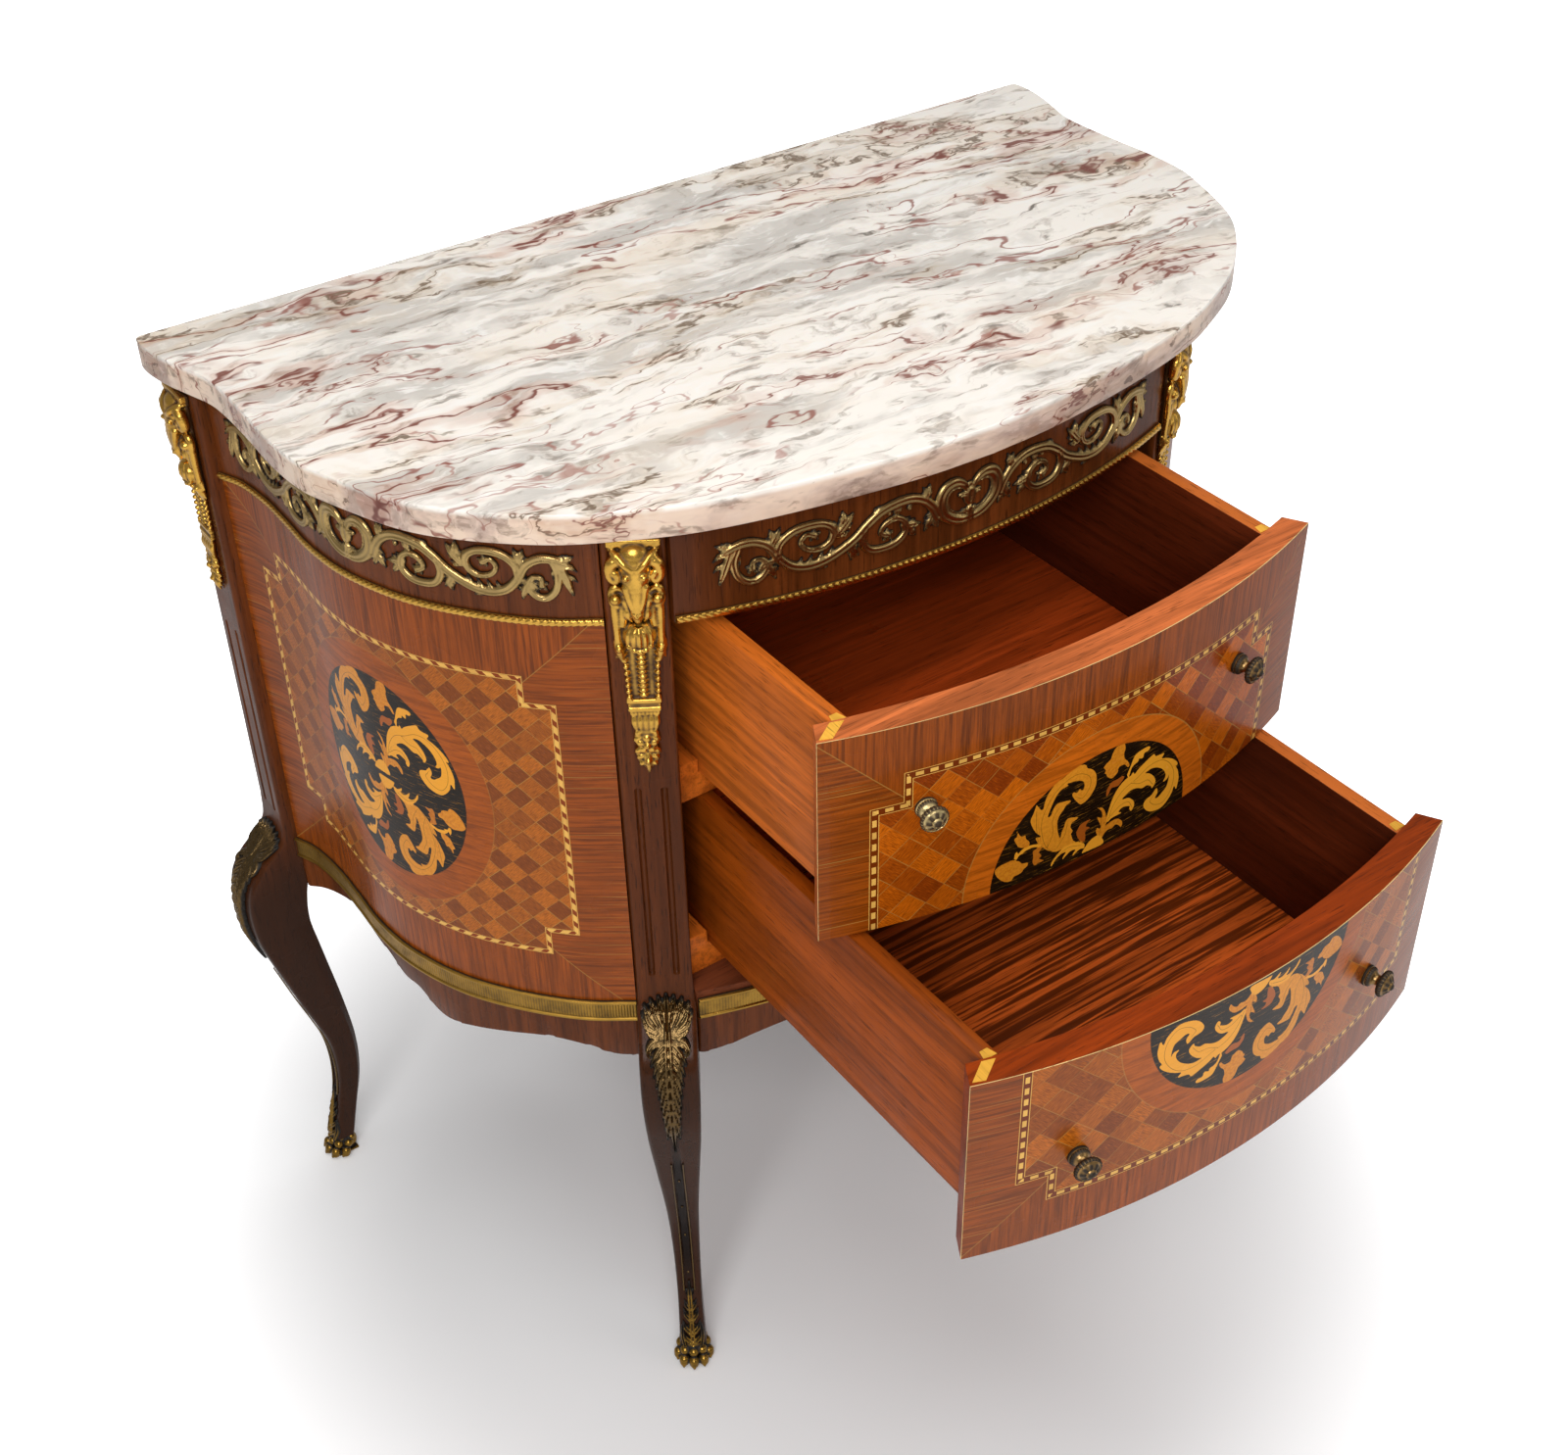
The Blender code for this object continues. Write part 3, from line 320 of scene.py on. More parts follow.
def length_setting(name, description, default):
    return bpy.props.FloatProperty(name=name, description=description, unit="LENGTH", default=default)


class ChestSizes(bpy.types.PropertyGroup):
    """The sizes that a user would change."""

    stringing_width: length_setting("Stringing width", "Width of the inlaid line", 0.0062)
    block_length: length_setting("Stringing block", "One light and one dark block of the line", 0.0098)
    square_width: length_setting("Parquetry half width", "Half a square's width on its corner", 0.0125)
    square_height: length_setting("Parquetry half height", "Half a square's height on its corner", 0.0120)
    bead_relief: length_setting("Bead relief", "How far the brass bead stands out", 0.0032)
    scroll_relief: length_setting("Scroll relief", "Height of the pierced scroll mounts", 0.0036)
    nail_radius: length_setting("Nail radius", "Round heads of the brass nails", 0.0011)
    light_power: bpy.props.FloatProperty(
        name="Light", description="Power of the main soft light", unit="POWER", default=70.0)


def colours():
    return bpy.context.scene.chest_colours


def sizes():
    return bpy.context.scene.chest_sizes


# Plan lines and tables


def smooth(points, steps):
    """A smooth line through the points, with steps short runs between each two of them."""
    points = [np.array(p, dtype=float) for p in points]
    chain = [2 * points[0] - points[1], *points, 2 * points[-1] - points[-2]]
    line = []
    for i in range(1, len(chain) - 2):
        a, b, c, d = chain[i - 1:i + 3]
        for step in range(steps):
            t = step / steps
            line.append((2 * b + (c - a) * t + (2 * a - 5 * b + 4 * c - d) * t ** 2
                         + (3 * b - a - 3 * c + d) * t ** 3) / 2)
    line.append(points[-1])
    return line


class Table:
    """A smooth curve through a table of places and values, read by at()."""

    def __init__(self, places, values):
        order = np.argsort(places)
        points = [(places[i], values[i]) for i in order]
        line = np.array(smooth(points, line_steps))
        self.places = np.maximum.accumulate(line[:, 0])
        self.values = line[:, 1]

    def at(self, place):
        return np.interp(place, self.places, self.values)


def line_directions(line, ends):
    """Outward directions along a plan line, with the first and last turned along a neighbour's side."""
    directions = []
    for i in range(len(line)):
        run = line[min(i + 1, len(line) - 1)] - line[max(i - 1, 0)]
        run = run / np.linalg.norm(run)
        directions.append(np.array((-run[1], run[0])))
    for index, end in ((0, ends[0]), (-1, ends[1])):
        directions[index] = np.array(end) / np.dot(end, directions[index])
    return directions


def bow_depth(x, half_width, corner_depth, bow):
    """Depth at x of a circular arc that rises by bow between its two ends."""
    radius = (half_width ** 2 + bow ** 2) / (2 * bow)
    return corner_depth + np.sqrt(radius ** 2 - np.square(x)) - (radius - bow)


def coordinates(bm):
    return np.array([vert.co for vert in bm.verts])


def set_coordinates(bm, places):
    for vert, place in zip(bm.verts, places):
        vert.co = place


class Course:
    """A plan line that flat work is bent to, on one side of the case."""

    def __init__(self, line, directions, lengths, side, opened=0.0):
        self.places = np.array(line)
        self.directions = np.array(directions)
        self.lengths = np.array(lengths)
        self.side = side
        self.opened = opened

    def bend(self, bm):
        flat = coordinates(bm)
        plan = []
        for k in (0, 1):
            base = np.interp(flat[:, 0], self.lengths, self.places[:, k])
            away = np.interp(flat[:, 0], self.lengths, self.directions[:, k])
            plan.append(base + away * flat[:, 1])
        depth = back_y - plan[1] - self.opened
        set_coordinates(bm, np.stack([self.side * plan[0], depth, flat[:, 2]], axis=1))


def run_lengths(line):
    steps = [float(np.linalg.norm(b - a)) for a, b in zip(line[:-1], line[1:])]
    return np.concatenate([[0.0], np.cumsum(steps)])


class Post:
    """One corner post: its face centre and outward turn, on the right-hand side of the case."""

    def __init__(self, centre, turn, slant, splay):
        self.centre = np.array(centre)
        self.out = np.array((math.sin(turn), math.cos(turn)))
        self.across = np.array((-math.cos(turn), math.sin(turn)))
        self.slant = slant
        self.splay = np.array(splay)

    def plan(self, across, outward):
        return self.centre + self.across * across + self.out * outward

    def place(self, flat, side):
        """Points (across, outward, z) as places in the model; the foot stands off by the splay."""
        plan = self.centre + np.outer(flat[:, 0], self.across) + np.outer(flat[:, 1], self.out)
        down = np.clip((splay_height - flat[:, 2]) / (splay_height - foot_height), 0.0, 1.0)
        plan += np.outer(down ** 1.5, self.splay)
        plan[:, 0] = np.minimum(plan[:, 0], cad_box[1][0] - gap / 10)
        return np.stack([side * plan[:, 0], back_y - plan[:, 1], flat[:, 2]], axis=1)


half_post = post_width / 2
front_corner = np.array((opening_half_width, front_corner_depth))
front_face_run = np.array((math.cos(front_post_turn), -math.sin(front_post_turn)))
front_post = Post(front_corner + front_face_run * half_post, front_post_turn, math.tan(front_post_turn),
                  front_splay)
rear_post = Post((case_half_width, case_back_depth + half_post), rear_post_turn, 0.0, rear_splay)
posts = [(row + "_" + side_name, post, side) for row, post in (("front", front_post), ("rear", rear_post))
         for side_name, side in (("left", -1), ("right", 1))]
sides = (("left", -1), ("right", 1))


def side_course(side):
    start = front_post.plan(-half_post, 0.0)
    end = rear_post.plan(half_post, -panel_recess)
    points = [start + (end - start) * np.array(share) for share in side_curve_shares]
    points[-1] = end
    run = points[1] - points[0]
    points[0] = start - run * gap / np.dot(run, front_post.across)
    points[-1] = end + np.array((0.0, gap))
    line = smooth(points, line_steps)
    return Course(line, line_directions(line, (front_post.out, (1.0, 0.0))), run_lengths(line), side)


def front_course():
    half = opening_half_width - gap
    xs = np.linspace(-half, half, 16 * line_steps + 1)
    line = [np.array((x, bow_depth(x, opening_half_width, frieze_depth, front_bow))) for x in xs]
    return Course(line, line_directions(line, ((0.0, 1.0), (0.0, 1.0))), xs, 1)


def drawer_course(opened):
    xs = np.linspace(-drawer_half_width, drawer_half_width, 16 * line_steps + 1)
    line = [np.array((x, bow_depth(x, drawer_half_width, frieze_depth, front_bow))) for x in xs]
    return Course(line, [(0.0, 1.0)] * len(xs), xs, 1, opened)


# Meshes


def flat_sheet(columns, rows, away=0.0):
    """A flat sheet facing outwards, with its grid lines at the given places along and up."""
    bm = bmesh.new()
    bmesh.ops.create_grid(bm, x_segments=len(columns) - 1, y_segments=len(rows) - 1, size=1.0)
    flat = coordinates(bm)
    low = flat.min(axis=0)
    span = flat.max(axis=0) - low
    column = np.rint((flat[:, 0] - low[0]) / span[0] * (len(columns) - 1)).astype(int)
    row = np.rint((flat[:, 1] - low[1]) / span[1] * (len(rows) - 1)).astype(int)
    places = np.stack([np.array(columns)[column], np.full(len(flat), away), np.array(rows)[row]], axis=1)
    set_coordinates(bm, places)
    return bm


def extruded(bm, faces):
    grown = bmesh.ops.extrude_face_region(bm, geom=faces)
    return [item for item in grown["geom"] if isinstance(item, bmesh.types.BMVert)]


def raise_sheet(bm, outward, faces=None):
    """Gives a flat sheet a second face, moved outwards by outward(along, up)."""
    moved = extruded(bm, faces or bm.faces[:])
    along = np.array([vert.co.x for vert in moved])
    up = np.array([vert.co.z for vert in moved])
    height = outward(along, up) if callable(outward) else outward
    for vert, rise in zip(moved, np.broadcast_to(height, along.shape)):
        vert.co.y += float(rise)
    return moved


def soften(bm, width, segments=2):
    """Rounds every sharp edge."""
    sharp = [edge for edge in bm.edges if edge.is_manifold and edge.calc_face_angle(0.0) > sharp_angle]
    bmesh.ops.bevel(bm, geom=sharp, offset=width, offset_type="OFFSET", segments=segments, profile=0.5,
                    affect="EDGES", material=-1, clamp_overlap=True)


def write_flat_map(bm, along, up, turn=1.0):
    """A UV map in metres, measured from one point of the flat work."""
    layer = bm.loops.layers.uv.new("flat")
    for face in bm.faces:
        for loop in face.loops:
            place = loop.vert.co
            loop[layer].uv = ((place.x - along) * turn, place.z - up)


def stations(low, high, step):
    return np.linspace(low, high, max(2, int(math.ceil((high - low) / step)) + 1))


def place_piece(name, bm, body, coats, nodes=(), angle=sharp_angle):
    """Turns a bmesh into a named piece that rides on a body and stands for the given nodes."""
    bmesh.ops.recalc_face_normals(bm, faces=bm.faces[:])
    mesh = bpy.data.meshes.new(name)
    bm.to_mesh(mesh)
    bm.free()
    for coat in coats:
        mesh.materials.append(coat)
    mesh.shade_smooth()
    mesh.set_sharp_from_angle(angle=angle)
    piece = bpy.data.objects.new(name, mesh)
    bpy.context.scene.collection.objects.link(piece)
    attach(piece, body)
    if nodes:
        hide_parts(*nodes)


def node_body(node):
    return frame["nodes"][node]["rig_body"]


def finished_copy(node, coat, edge):
    """A copy of a plain board with its triangles joined and its edges eased."""
    bm = bmesh.new()
    bm.from_mesh(frame["nodes"][node].data)
    bmesh.ops.remove_doubles(bm, verts=bm.verts[:], dist=gap / 10)
    bmesh.ops.dissolve_limit(bm, angle_limit=math.radians(0.5), verts=bm.verts[:], edges=bm.edges[:])
    soften(bm, edge)
    place_piece(node + "_wood", bm, node_body(node), [coat_of(coat)], [node])


# Drawn strokes: lists of (along, up, half width)


def stroke(*points, steps=5):
    """A smooth stroke through points of (along, up, half width), given in millimetres."""
    return [tuple(p) for p in np.array(smooth(points, steps)) / 1000]


def leaf(points, lobes, steps=5):
    """A leaf's spine and its side lobes, each lobe as (place share, angle, length, half width) in mm."""
    spine = stroke(*points, steps=steps)
    strokes = [spine]
    for place_share, angle, length, width in lobes:
        index = min(int(place_share * (len(spine) - 1)), len(spine) - 2)
        foot = spine[index]
        ahead = spine[index + 1]
        heading = math.atan2(ahead[1] - foot[1], ahead[0] - foot[0])
        bend = math.radians(angle)
        middle = heading + bend
        tip = heading + bend * 0.45
        reach = length / 1000
        half = (foot[0] + math.cos(middle) * reach * 0.55, foot[1] + math.sin(middle) * reach * 0.55)
        end = (half[0] + math.cos(tip) * reach * 0.45, half[1] + math.sin(tip) * reach * 0.45)
        strokes.append([(foot[0], foot[1], width / 1000), (*half, width / 1000 * 0.85),
                        (*end, width / 1000 * 0.15)])
    return strokes


def mirrored(strokes):
    return strokes + [[(-u, v, w) for u, v, w in drawn] for drawn in strokes]


def turned_round(strokes):
    return strokes + [[(-u, -v, w) for u, v, w in drawn] for drawn in strokes]


def measure(strokes, along, up):
    """For every point: how far outside the strokes, the nearest stroke, its offset and half width."""
    nearest = np.full(along.shape, 1.0)
    index = np.zeros(along.shape)
    offset = np.zeros(along.shape)
    width = np.full(along.shape, 1.0)
    for number, drawn in enumerate(strokes):
        for (u0, v0, w0), (u1, v1, w1) in zip(drawn[:-1], drawn[1:]):
            run_u = u1 - u0
            run_v = v1 - v0
            length = math.hypot(run_u, run_v)
            if length == 0.0:
                continue
            share = np.clip(((along - u0) * run_u + (up - v0) * run_v) / length ** 2, 0.0, 1.0)
            side_u = along - u0 - run_u * share
            side_v = up - v0 - run_v * share
            away = np.hypot(side_u, side_v)
            half = w0 + (w1 - w0) * share
            outside = away - half
            better = outside < nearest
            signed = away * np.sign(run_u * side_v - run_v * side_u)
            nearest = np.where(better, outside, nearest)
            index = np.where(better, number, index)
            offset = np.where(better, signed, offset)
            width = np.where(better, half, width)
    return nearest, index, offset, width


def relief_height(strokes, along, up, lift, groove):
    """Height of overlapping rounded strokes, each with a groove along its middle."""
    height = np.zeros(along.shape)
    for drawn in strokes:
        outside, _, offset, width = measure([drawn], along, up)
        share = np.clip(-outside / np.maximum(width, gap), 0.0, 1.0)
        dome = np.sqrt(1.0 - (1.0 - share) ** 2) * lift * np.clip(width / full_stroke, 0.35, 1.15)
        dome -= groove * np.exp(-np.square(offset / (width * 0.28 + gap / 2))) * (share > 0.0)
        height = np.maximum(height, dome)
    return height


def relief_sheet(strokes, low, high, step, lift, groove, base):
    """A cast relief cut out along its strokes, lying flat with its back at the gap."""
    bm = flat_sheet(stations(low[0], high[0], step), stations(low[1], high[1], step))
    flat = coordinates(bm)
    along = flat[:, 0]
    up = flat[:, 2]
    outside = measure(strokes, along, up)[0]
    small = step / 10
    slope_u = (measure(strokes, along + small, up)[0] - outside) / small
    slope_v = (measure(strokes, along, up + small)[0] - outside) / small
    steep = np.maximum(slope_u ** 2 + slope_v ** 2, 0.25)
    moved = np.where(outside > 0.0, outside, 0.0)
    flat[:, 0] -= moved * slope_u / steep
    flat[:, 2] -= moved * slope_v / steep
    inside = {vert for vert, value in zip(bm.verts, outside) if value < 0.0}
    spare = [face for face in bm.faces if not any(vert in inside for vert in face.verts)]
    flat[:, 1] = gap
    set_coordinates(bm, flat)
    bmesh.ops.delete(bm, geom=spare, context="FACES")

    def outward(u, v):
        return base + relief_height(strokes, u, v, lift, groove)

    raise_sheet(bm, outward)
    write_hollow_heights(bm, base + lift)
    return bm


def write_hollow_heights(bm, tallest):
    """Stores how far each point of flat relief lies below its crests."""
    hollow = bm.verts.layers.float.new("hollow")
    for vert in bm.verts:
        vert[hollow] = 1.0 - min(1.0, max(0.0, (vert.co.y - gap) / tallest))


# Materials


class Coat:
    """Builds the nodes of one material."""

    def __init__(self, name):
        self.material = bpy.data.materials.new(name)
        self.material.use_nodes = True
        self.tree = self.material.node_tree
        self.shader = self.tree.nodes["Principled BSDF"]

    def node(self, kind, **settings):
        made = self.tree.nodes.new(kind)
        for key, value in settings.items():
            setattr(made, key, value)
        return made

    def feed(self, socket, value):
        if isinstance(value, bpy.types.NodeSocket):
            self.tree.links.new(value, socket)
        elif hasattr(value, "__len__") and len(value) == 3 and len(socket.default_value) == 4:
            socket.default_value = (*value, 1.0)
        else:
            socket.default_value = value

    def set(self, name, value):
        self.feed(self.shader.inputs[name], value)

    def object_place(self):
        return self.node("ShaderNodeTexCoord").outputs["Object"]

    def stretched(self, place, along, across, lengthways):
        """A place whose pattern is drawn out along one axis."""
        scale = [across, across, across]
        scale[along] = lengthways
        return self.mapped(place, scale)

    def flat_place(self):
        return self.node("ShaderNodeUVMap", uv_map="flat").outputs["UV"]

    def attribute(self, name):
        return self.node("ShaderNodeAttribute", attribute_name=name).outputs["Fac"]

    def mapped(self, vector, scale=(1.0, 1.0, 1.0), turn=(0.0, 0.0, 0.0), shift=(0.0, 0.0, 0.0)):
        made = self.node("ShaderNodeMapping")
        self.feed(made.inputs["Vector"], vector)
        made.inputs["Scale"].default_value = scale
        made.inputs["Rotation"].default_value = turn
        made.inputs["Location"].default_value = shift
        return made.outputs["Vector"]

    def split(self, vector):
        made = self.node("ShaderNodeSeparateXYZ")
        self.feed(made.inputs[0], vector)
        return made.outputs[0], made.outputs[1], made.outputs[2]

    def join(self, x, y, z):
        made = self.node("ShaderNodeCombineXYZ")
        for socket, value in zip(made.inputs, (x, y, z)):
            self.feed(socket, value)
        return made.outputs[0]

    def math(self, operation, *values):
        made = self.node("ShaderNodeMath", operation=operation)
        for socket, value in zip(made.inputs, values):
            self.feed(socket, value)
        return made.outputs[0]

    def times(self, first, second):
        return self.math("MULTIPLY", first, second)

    def plus(self, first, second):
        return self.math("ADD", first, second)

    def minus(self, first, second):
        return self.math("SUBTRACT", first, second)

    def pick(self, where, first, second):
        """The first value where a share is one, and the second where it is nothing."""
        return self.plus(self.times(where, first), self.times(self.minus(1.0, where), second))

    def noise(self, vector, scale, detail=3.0, roughness=0.55, distortion=0.0):
        made = self.node("ShaderNodeTexNoise")
        self.feed(made.inputs["Vector"], vector)
        for name, value in (("Scale", scale), ("Detail", detail), ("Roughness", roughness),
                            ("Distortion", distortion)):
            self.feed(made.inputs[name], value)
        return made.outputs[0]

    def chance(self, vector):
        """A random number for each whole-number place."""
        made = self.node("ShaderNodeTexWhiteNoise", noise_dimensions="3D")
        self.feed(made.inputs["Vector"], vector)
        return made.outputs["Value"]

    def level(self, value, low, high, to_low=0.0, to_high=1.0):
        made = self.node("ShaderNodeMapRange", interpolation_type="SMOOTHSTEP")
        for name, item in (("Value", value), ("From Min", low), ("From Max", high), ("To Min", to_low),
                           ("To Max", to_high)):
            self.feed(made.inputs[name], item)
        return made.outputs["Result"]

    def mix(self, share, first, second, blend="MIX"):
        made = self.node("ShaderNodeMix", data_type="RGBA", blend_type=blend)
        self.feed(made.inputs[0], share)
        self.feed(made.inputs[6], first)
        self.feed(made.inputs[7], second)
        return made.outputs[2]

    def bump(self, height, distance, strength=1.0):
        made = self.node("ShaderNodeBump")
        self.feed(made.inputs["Height"], height)
        made.inputs["Distance"].default_value = distance
        made.inputs["Strength"].default_value = strength
        self.set("Normal", made.outputs["Normal"])


def shade(colour, share):
    """A colour made darker or lighter by a share."""
    return tuple(min(1.0, part * share) for part in colour)


def blend(first, second, share):
    return tuple(a * (1.0 - share) + b * share for a, b in zip(first, second))


def wood_figure(coat, place, along, tone, contrast):
    """Streaks that run along one axis, with darker pores; gives the colour and the pores."""
    broad = coat.noise(coat.stretched(place, along, 9.0, 0.7), 2.2, 4.0, 0.6, 0.4)
    streak = coat.noise(coat.stretched(place, along, 90.0, 3.0), 2.0, 5.0, 0.7, 0.2)
    pore = coat.noise(coat.stretched(place, along, 260.0, 16.0), 3.2, 2.0, 0.5)
    pore = coat.level(pore, 0.58, 0.70)
    colour = coat.mix(coat.level(broad, 0.3, 0.7), shade(tone, 1 - 0.35 * contrast),
                      shade(tone, 1 + 0.35 * contrast))
    colour = coat.mix(coat.level(streak, 0.42, 0.66, 0.0, 0.7 * contrast), colour, shade(tone, 0.45))
    colour = coat.mix(coat.level(streak, 0.42, 0.28, 0.0, 0.5 * contrast), colour, shade(tone, 1.7))
    colour = coat.mix(coat.times(pore, 0.6), colour, shade(tone, 0.22))
    return colour, pore


def plain_wood(name, along, tone, gloss, coating, contrast=1.0, stripes=0.0, foot=None, top=None):
    """Polished wood with its grain along one axis: foot darkens it downwards and colours the painted shade in
    the leg's channel, top colours its upper faces.
    """
    coat = Coat(name)
    place = coat.object_place()
    colour, pore = wood_figure(coat, place, along, tone, contrast)
    if stripes:
        bands = coat.noise(coat.stretched(place, along, 1.0, 0.03), 190.0, 3.0, 0.6, 0.2)
        colour = coat.mix(coat.level(bands, 0.44, 0.55, 0.0, stripes), colour, shade(tone, 0.12))
    if foot is not None:
        height = coat.split(place)[2]
        colour = coat.mix(coat.level(height, foot_dark_high, foot_dark_low, 0.0, 0.92), colour, foot)
        # Painted shade in the leg's channel, a deeper copy of the foot colour
        colour = coat.mix(coat.attribute("channel"), colour, shade(foot, 0.25))
        colour = coat.mix(coat.times(pore, 0.35), colour, shade(foot, 0.4))
    # Upper faces take their own colour; on the right drawer sides the other faces carry painted shade
    if top is not None:
        facing = coat.split(coat.node("ShaderNodeTexCoord").outputs["Normal"])[2]
        colour = coat.mix(coat.level(facing, 0.60, 0.90), colour, coat.mix(pore, top, shade(top, 0.5)))
    coat.set("Base Color", colour)
    worn = coat.noise(place, 14.0, 4.0, 0.6)
    coat.set("Roughness", coat.level(worn, 0.3, 0.75, gloss * 0.8, gloss * 1.35))
    coat.set("Specular IOR Level", 0.09)
    coat.set("Coat Weight", coating)
    coat.set("Coat Roughness", 0.12)
    coat.bump(coat.times(pore, -1.0), pore_depth, 0.5)
    return coat.material


def marble_coat():
    """White marble with short grey flow marks and thin burgundy veins that run along the top."""
    c = colours()
    coat = Coat("veined marble")
    place = coat.mapped(coat.object_place(), turn=(0.0, 0.0, math.radians(3.0)))
    warp = coat.noise(coat.mapped(place, (3.0, 6.0, 3.0)), 2.4, 4.0, 0.6)
    x, y, z = coat.split(place)
    bent = coat.plus(y, coat.times(coat.minus(warp, 0.5), 0.075))
    flow = coat.join(coat.times(x, 0.28), bent, z)
    cloud = coat.noise(flow, 17.0, 5.0, 0.6, 0.2)
    dash = coat.noise(flow, 66.0, 5.0, 0.62, 0.5)
    fleck = coat.noise(flow, 150.0, 3.0, 0.6, 0.3)
    pink = coat.noise(flow, 13.0, 4.0, 0.6)
    far_side = coat.level(coat.plus(x, coat.times(y, 1.4)), -0.35, 0.55)
    grey = tint(154, 148, 140)
    dark_grey = tint(96, 88, 78)
    ground = coat.mix(coat.level(cloud, 0.47, 0.62, 0.0, 0.50), c.marble, grey)
    broken = coat.times(coat.level(dash, 0.52, 0.60), coat.level(fleck, 0.40, 0.62, 0.25, 1.0))
    ground = coat.mix(coat.times(broken, 0.62), ground, tint(150, 134, 120))
    sharp = coat.times(coat.level(dash, 0.60, 0.66), coat.level(fleck, 0.48, 0.56))
    ground = coat.mix(coat.times(sharp, coat.level(far_side, 0.0, 1.0, 0.35, 0.8)), ground, dark_grey)
    ground = coat.mix(coat.level(dash, 0.46, 0.36, 0.0, 0.8), ground, tint(255, 250, 243))
    ground = coat.mix(coat.level(pink, 0.52, 0.70, 0.0, 0.40), ground, tint(232, 208, 178))

    def veins(scale, detail, thin, shift, spread, low):
        field = coat.noise(coat.mapped(flow, (0.80, 1.0, 1.0), shift=shift), scale, detail, 0.58, 0.12)
        line = coat.math("ABSOLUTE", coat.minus(field, 0.5))
        where = coat.noise(coat.mapped(flow, shift=spread), 16.0, 4.0, 0.6)
        there = coat.level(where, low, low + 0.05)
        vein = coat.times(coat.level(line, thin, thin * 0.2), there)
        return vein, coat.times(coat.level(line, thin * 5.0, thin), there)

    main, halo = veins(10.0, 4.0, 0.0090, (3.1, 1.7, 0.0), (8.0, 2.0, 0.0), 0.480)
    second, _ = veins(17.0, 3.0, 0.0105, (9.4, 4.3, 0.0), (2.6, 7.1, 0.0), 0.50)
    small, _ = veins(44.0, 2.0, 0.013, (7.7, 5.2, 0.0), (1.0, 9.0, 0.0), 0.50)
    long_vein, long_halo = veins(4.6, 7.0, 0.0034, (5.2, 2.9, 0.0), (6.0, 5.5, 0.0), 0.450)
    ochre, ochre_halo = veins(11.0, 7.0, 0.010, (1.3, 6.4, 0.0), (4.0, 4.0, 0.0), 0.47)
    colour = coat.mix(coat.times(halo, 0.34), ground, tint(206, 146, 116))
    colour = coat.mix(coat.times(ochre_halo, 0.25), colour, tint(206, 170, 120))
    colour = coat.mix(coat.times(small, 0.55), colour, shade(c.marble_vein, 1.3))
    colour = coat.mix(coat.times(ochre, 0.85), colour, tint(112, 88, 64))
    colour = coat.mix(coat.times(second, 0.80), colour, c.marble_vein)
    colour = coat.mix(coat.times(long_halo, 0.25), colour, tint(200, 148, 122))
    colour = coat.mix(coat.times(long_vein, 0.85), colour, shade(c.marble_vein, 0.80))
    colour = coat.mix(coat.times(main, 0.92), colour, shade(c.marble_vein, 0.72))
    height = coat.split(coat.object_place())[2]
    low = coat.level(height, marble_high - marble_edge_fade, marble_high - marble_edge_low)
    edge_tone = coat.mix(coat.level(cloud, 0.42, 0.62), tint(222, 186, 152), tint(184, 128, 98))
    colour = coat.mix(coat.times(low, 0.6), colour, edge_tone, "MULTIPLY")
    coat.set("Base Color", colour)
    coat.set("Roughness", coat.level(dash, 0.3, 0.7, 0.18, 0.28))
    coat.set("Coat Weight", 0.08)
    coat.set("Coat Roughness", 0.05)
    coat.set("Subsurface Weight", 0.03)
    coat.bump(cloud, marble_ripple, 0.12)
    return coat.material


def brass_coat(name, tone, dark, roughness, patina):
    """Cast brass, bright where it is rubbed and dark in its hollows."""
    coat = Coat(name)
    place = coat.object_place()
    hollow = coat.attribute("hollow")
    cloud = coat.noise(place, 60.0, 4.0, 0.65)
    grain = coat.noise(place, 900.0, 3.0, 0.6)
    low = coat.plus(hollow, coat.times(coat.minus(cloud, 0.5), 0.40))
    depth = coat.level(low, 0.46 - patina * 0.22, 0.84 - patina * 0.26)
    colour = coat.mix(coat.level(cloud, 0.35, 0.70, 0.0, 0.5), tone, shade(tone, 0.62))
    colour = coat.mix(depth, colour, dark)
    coat.set("Base Color", colour)
    coat.set("Metallic", coat.level(depth, 0.0, 1.0, 1.0, 0.35))
    coat.set("Roughness", coat.level(coat.plus(depth, cloud), 0.3, 1.5, roughness, roughness + 0.3))
    coat.bump(coat.plus(grain, cloud), brass_grain, 0.35)
    return coat.material


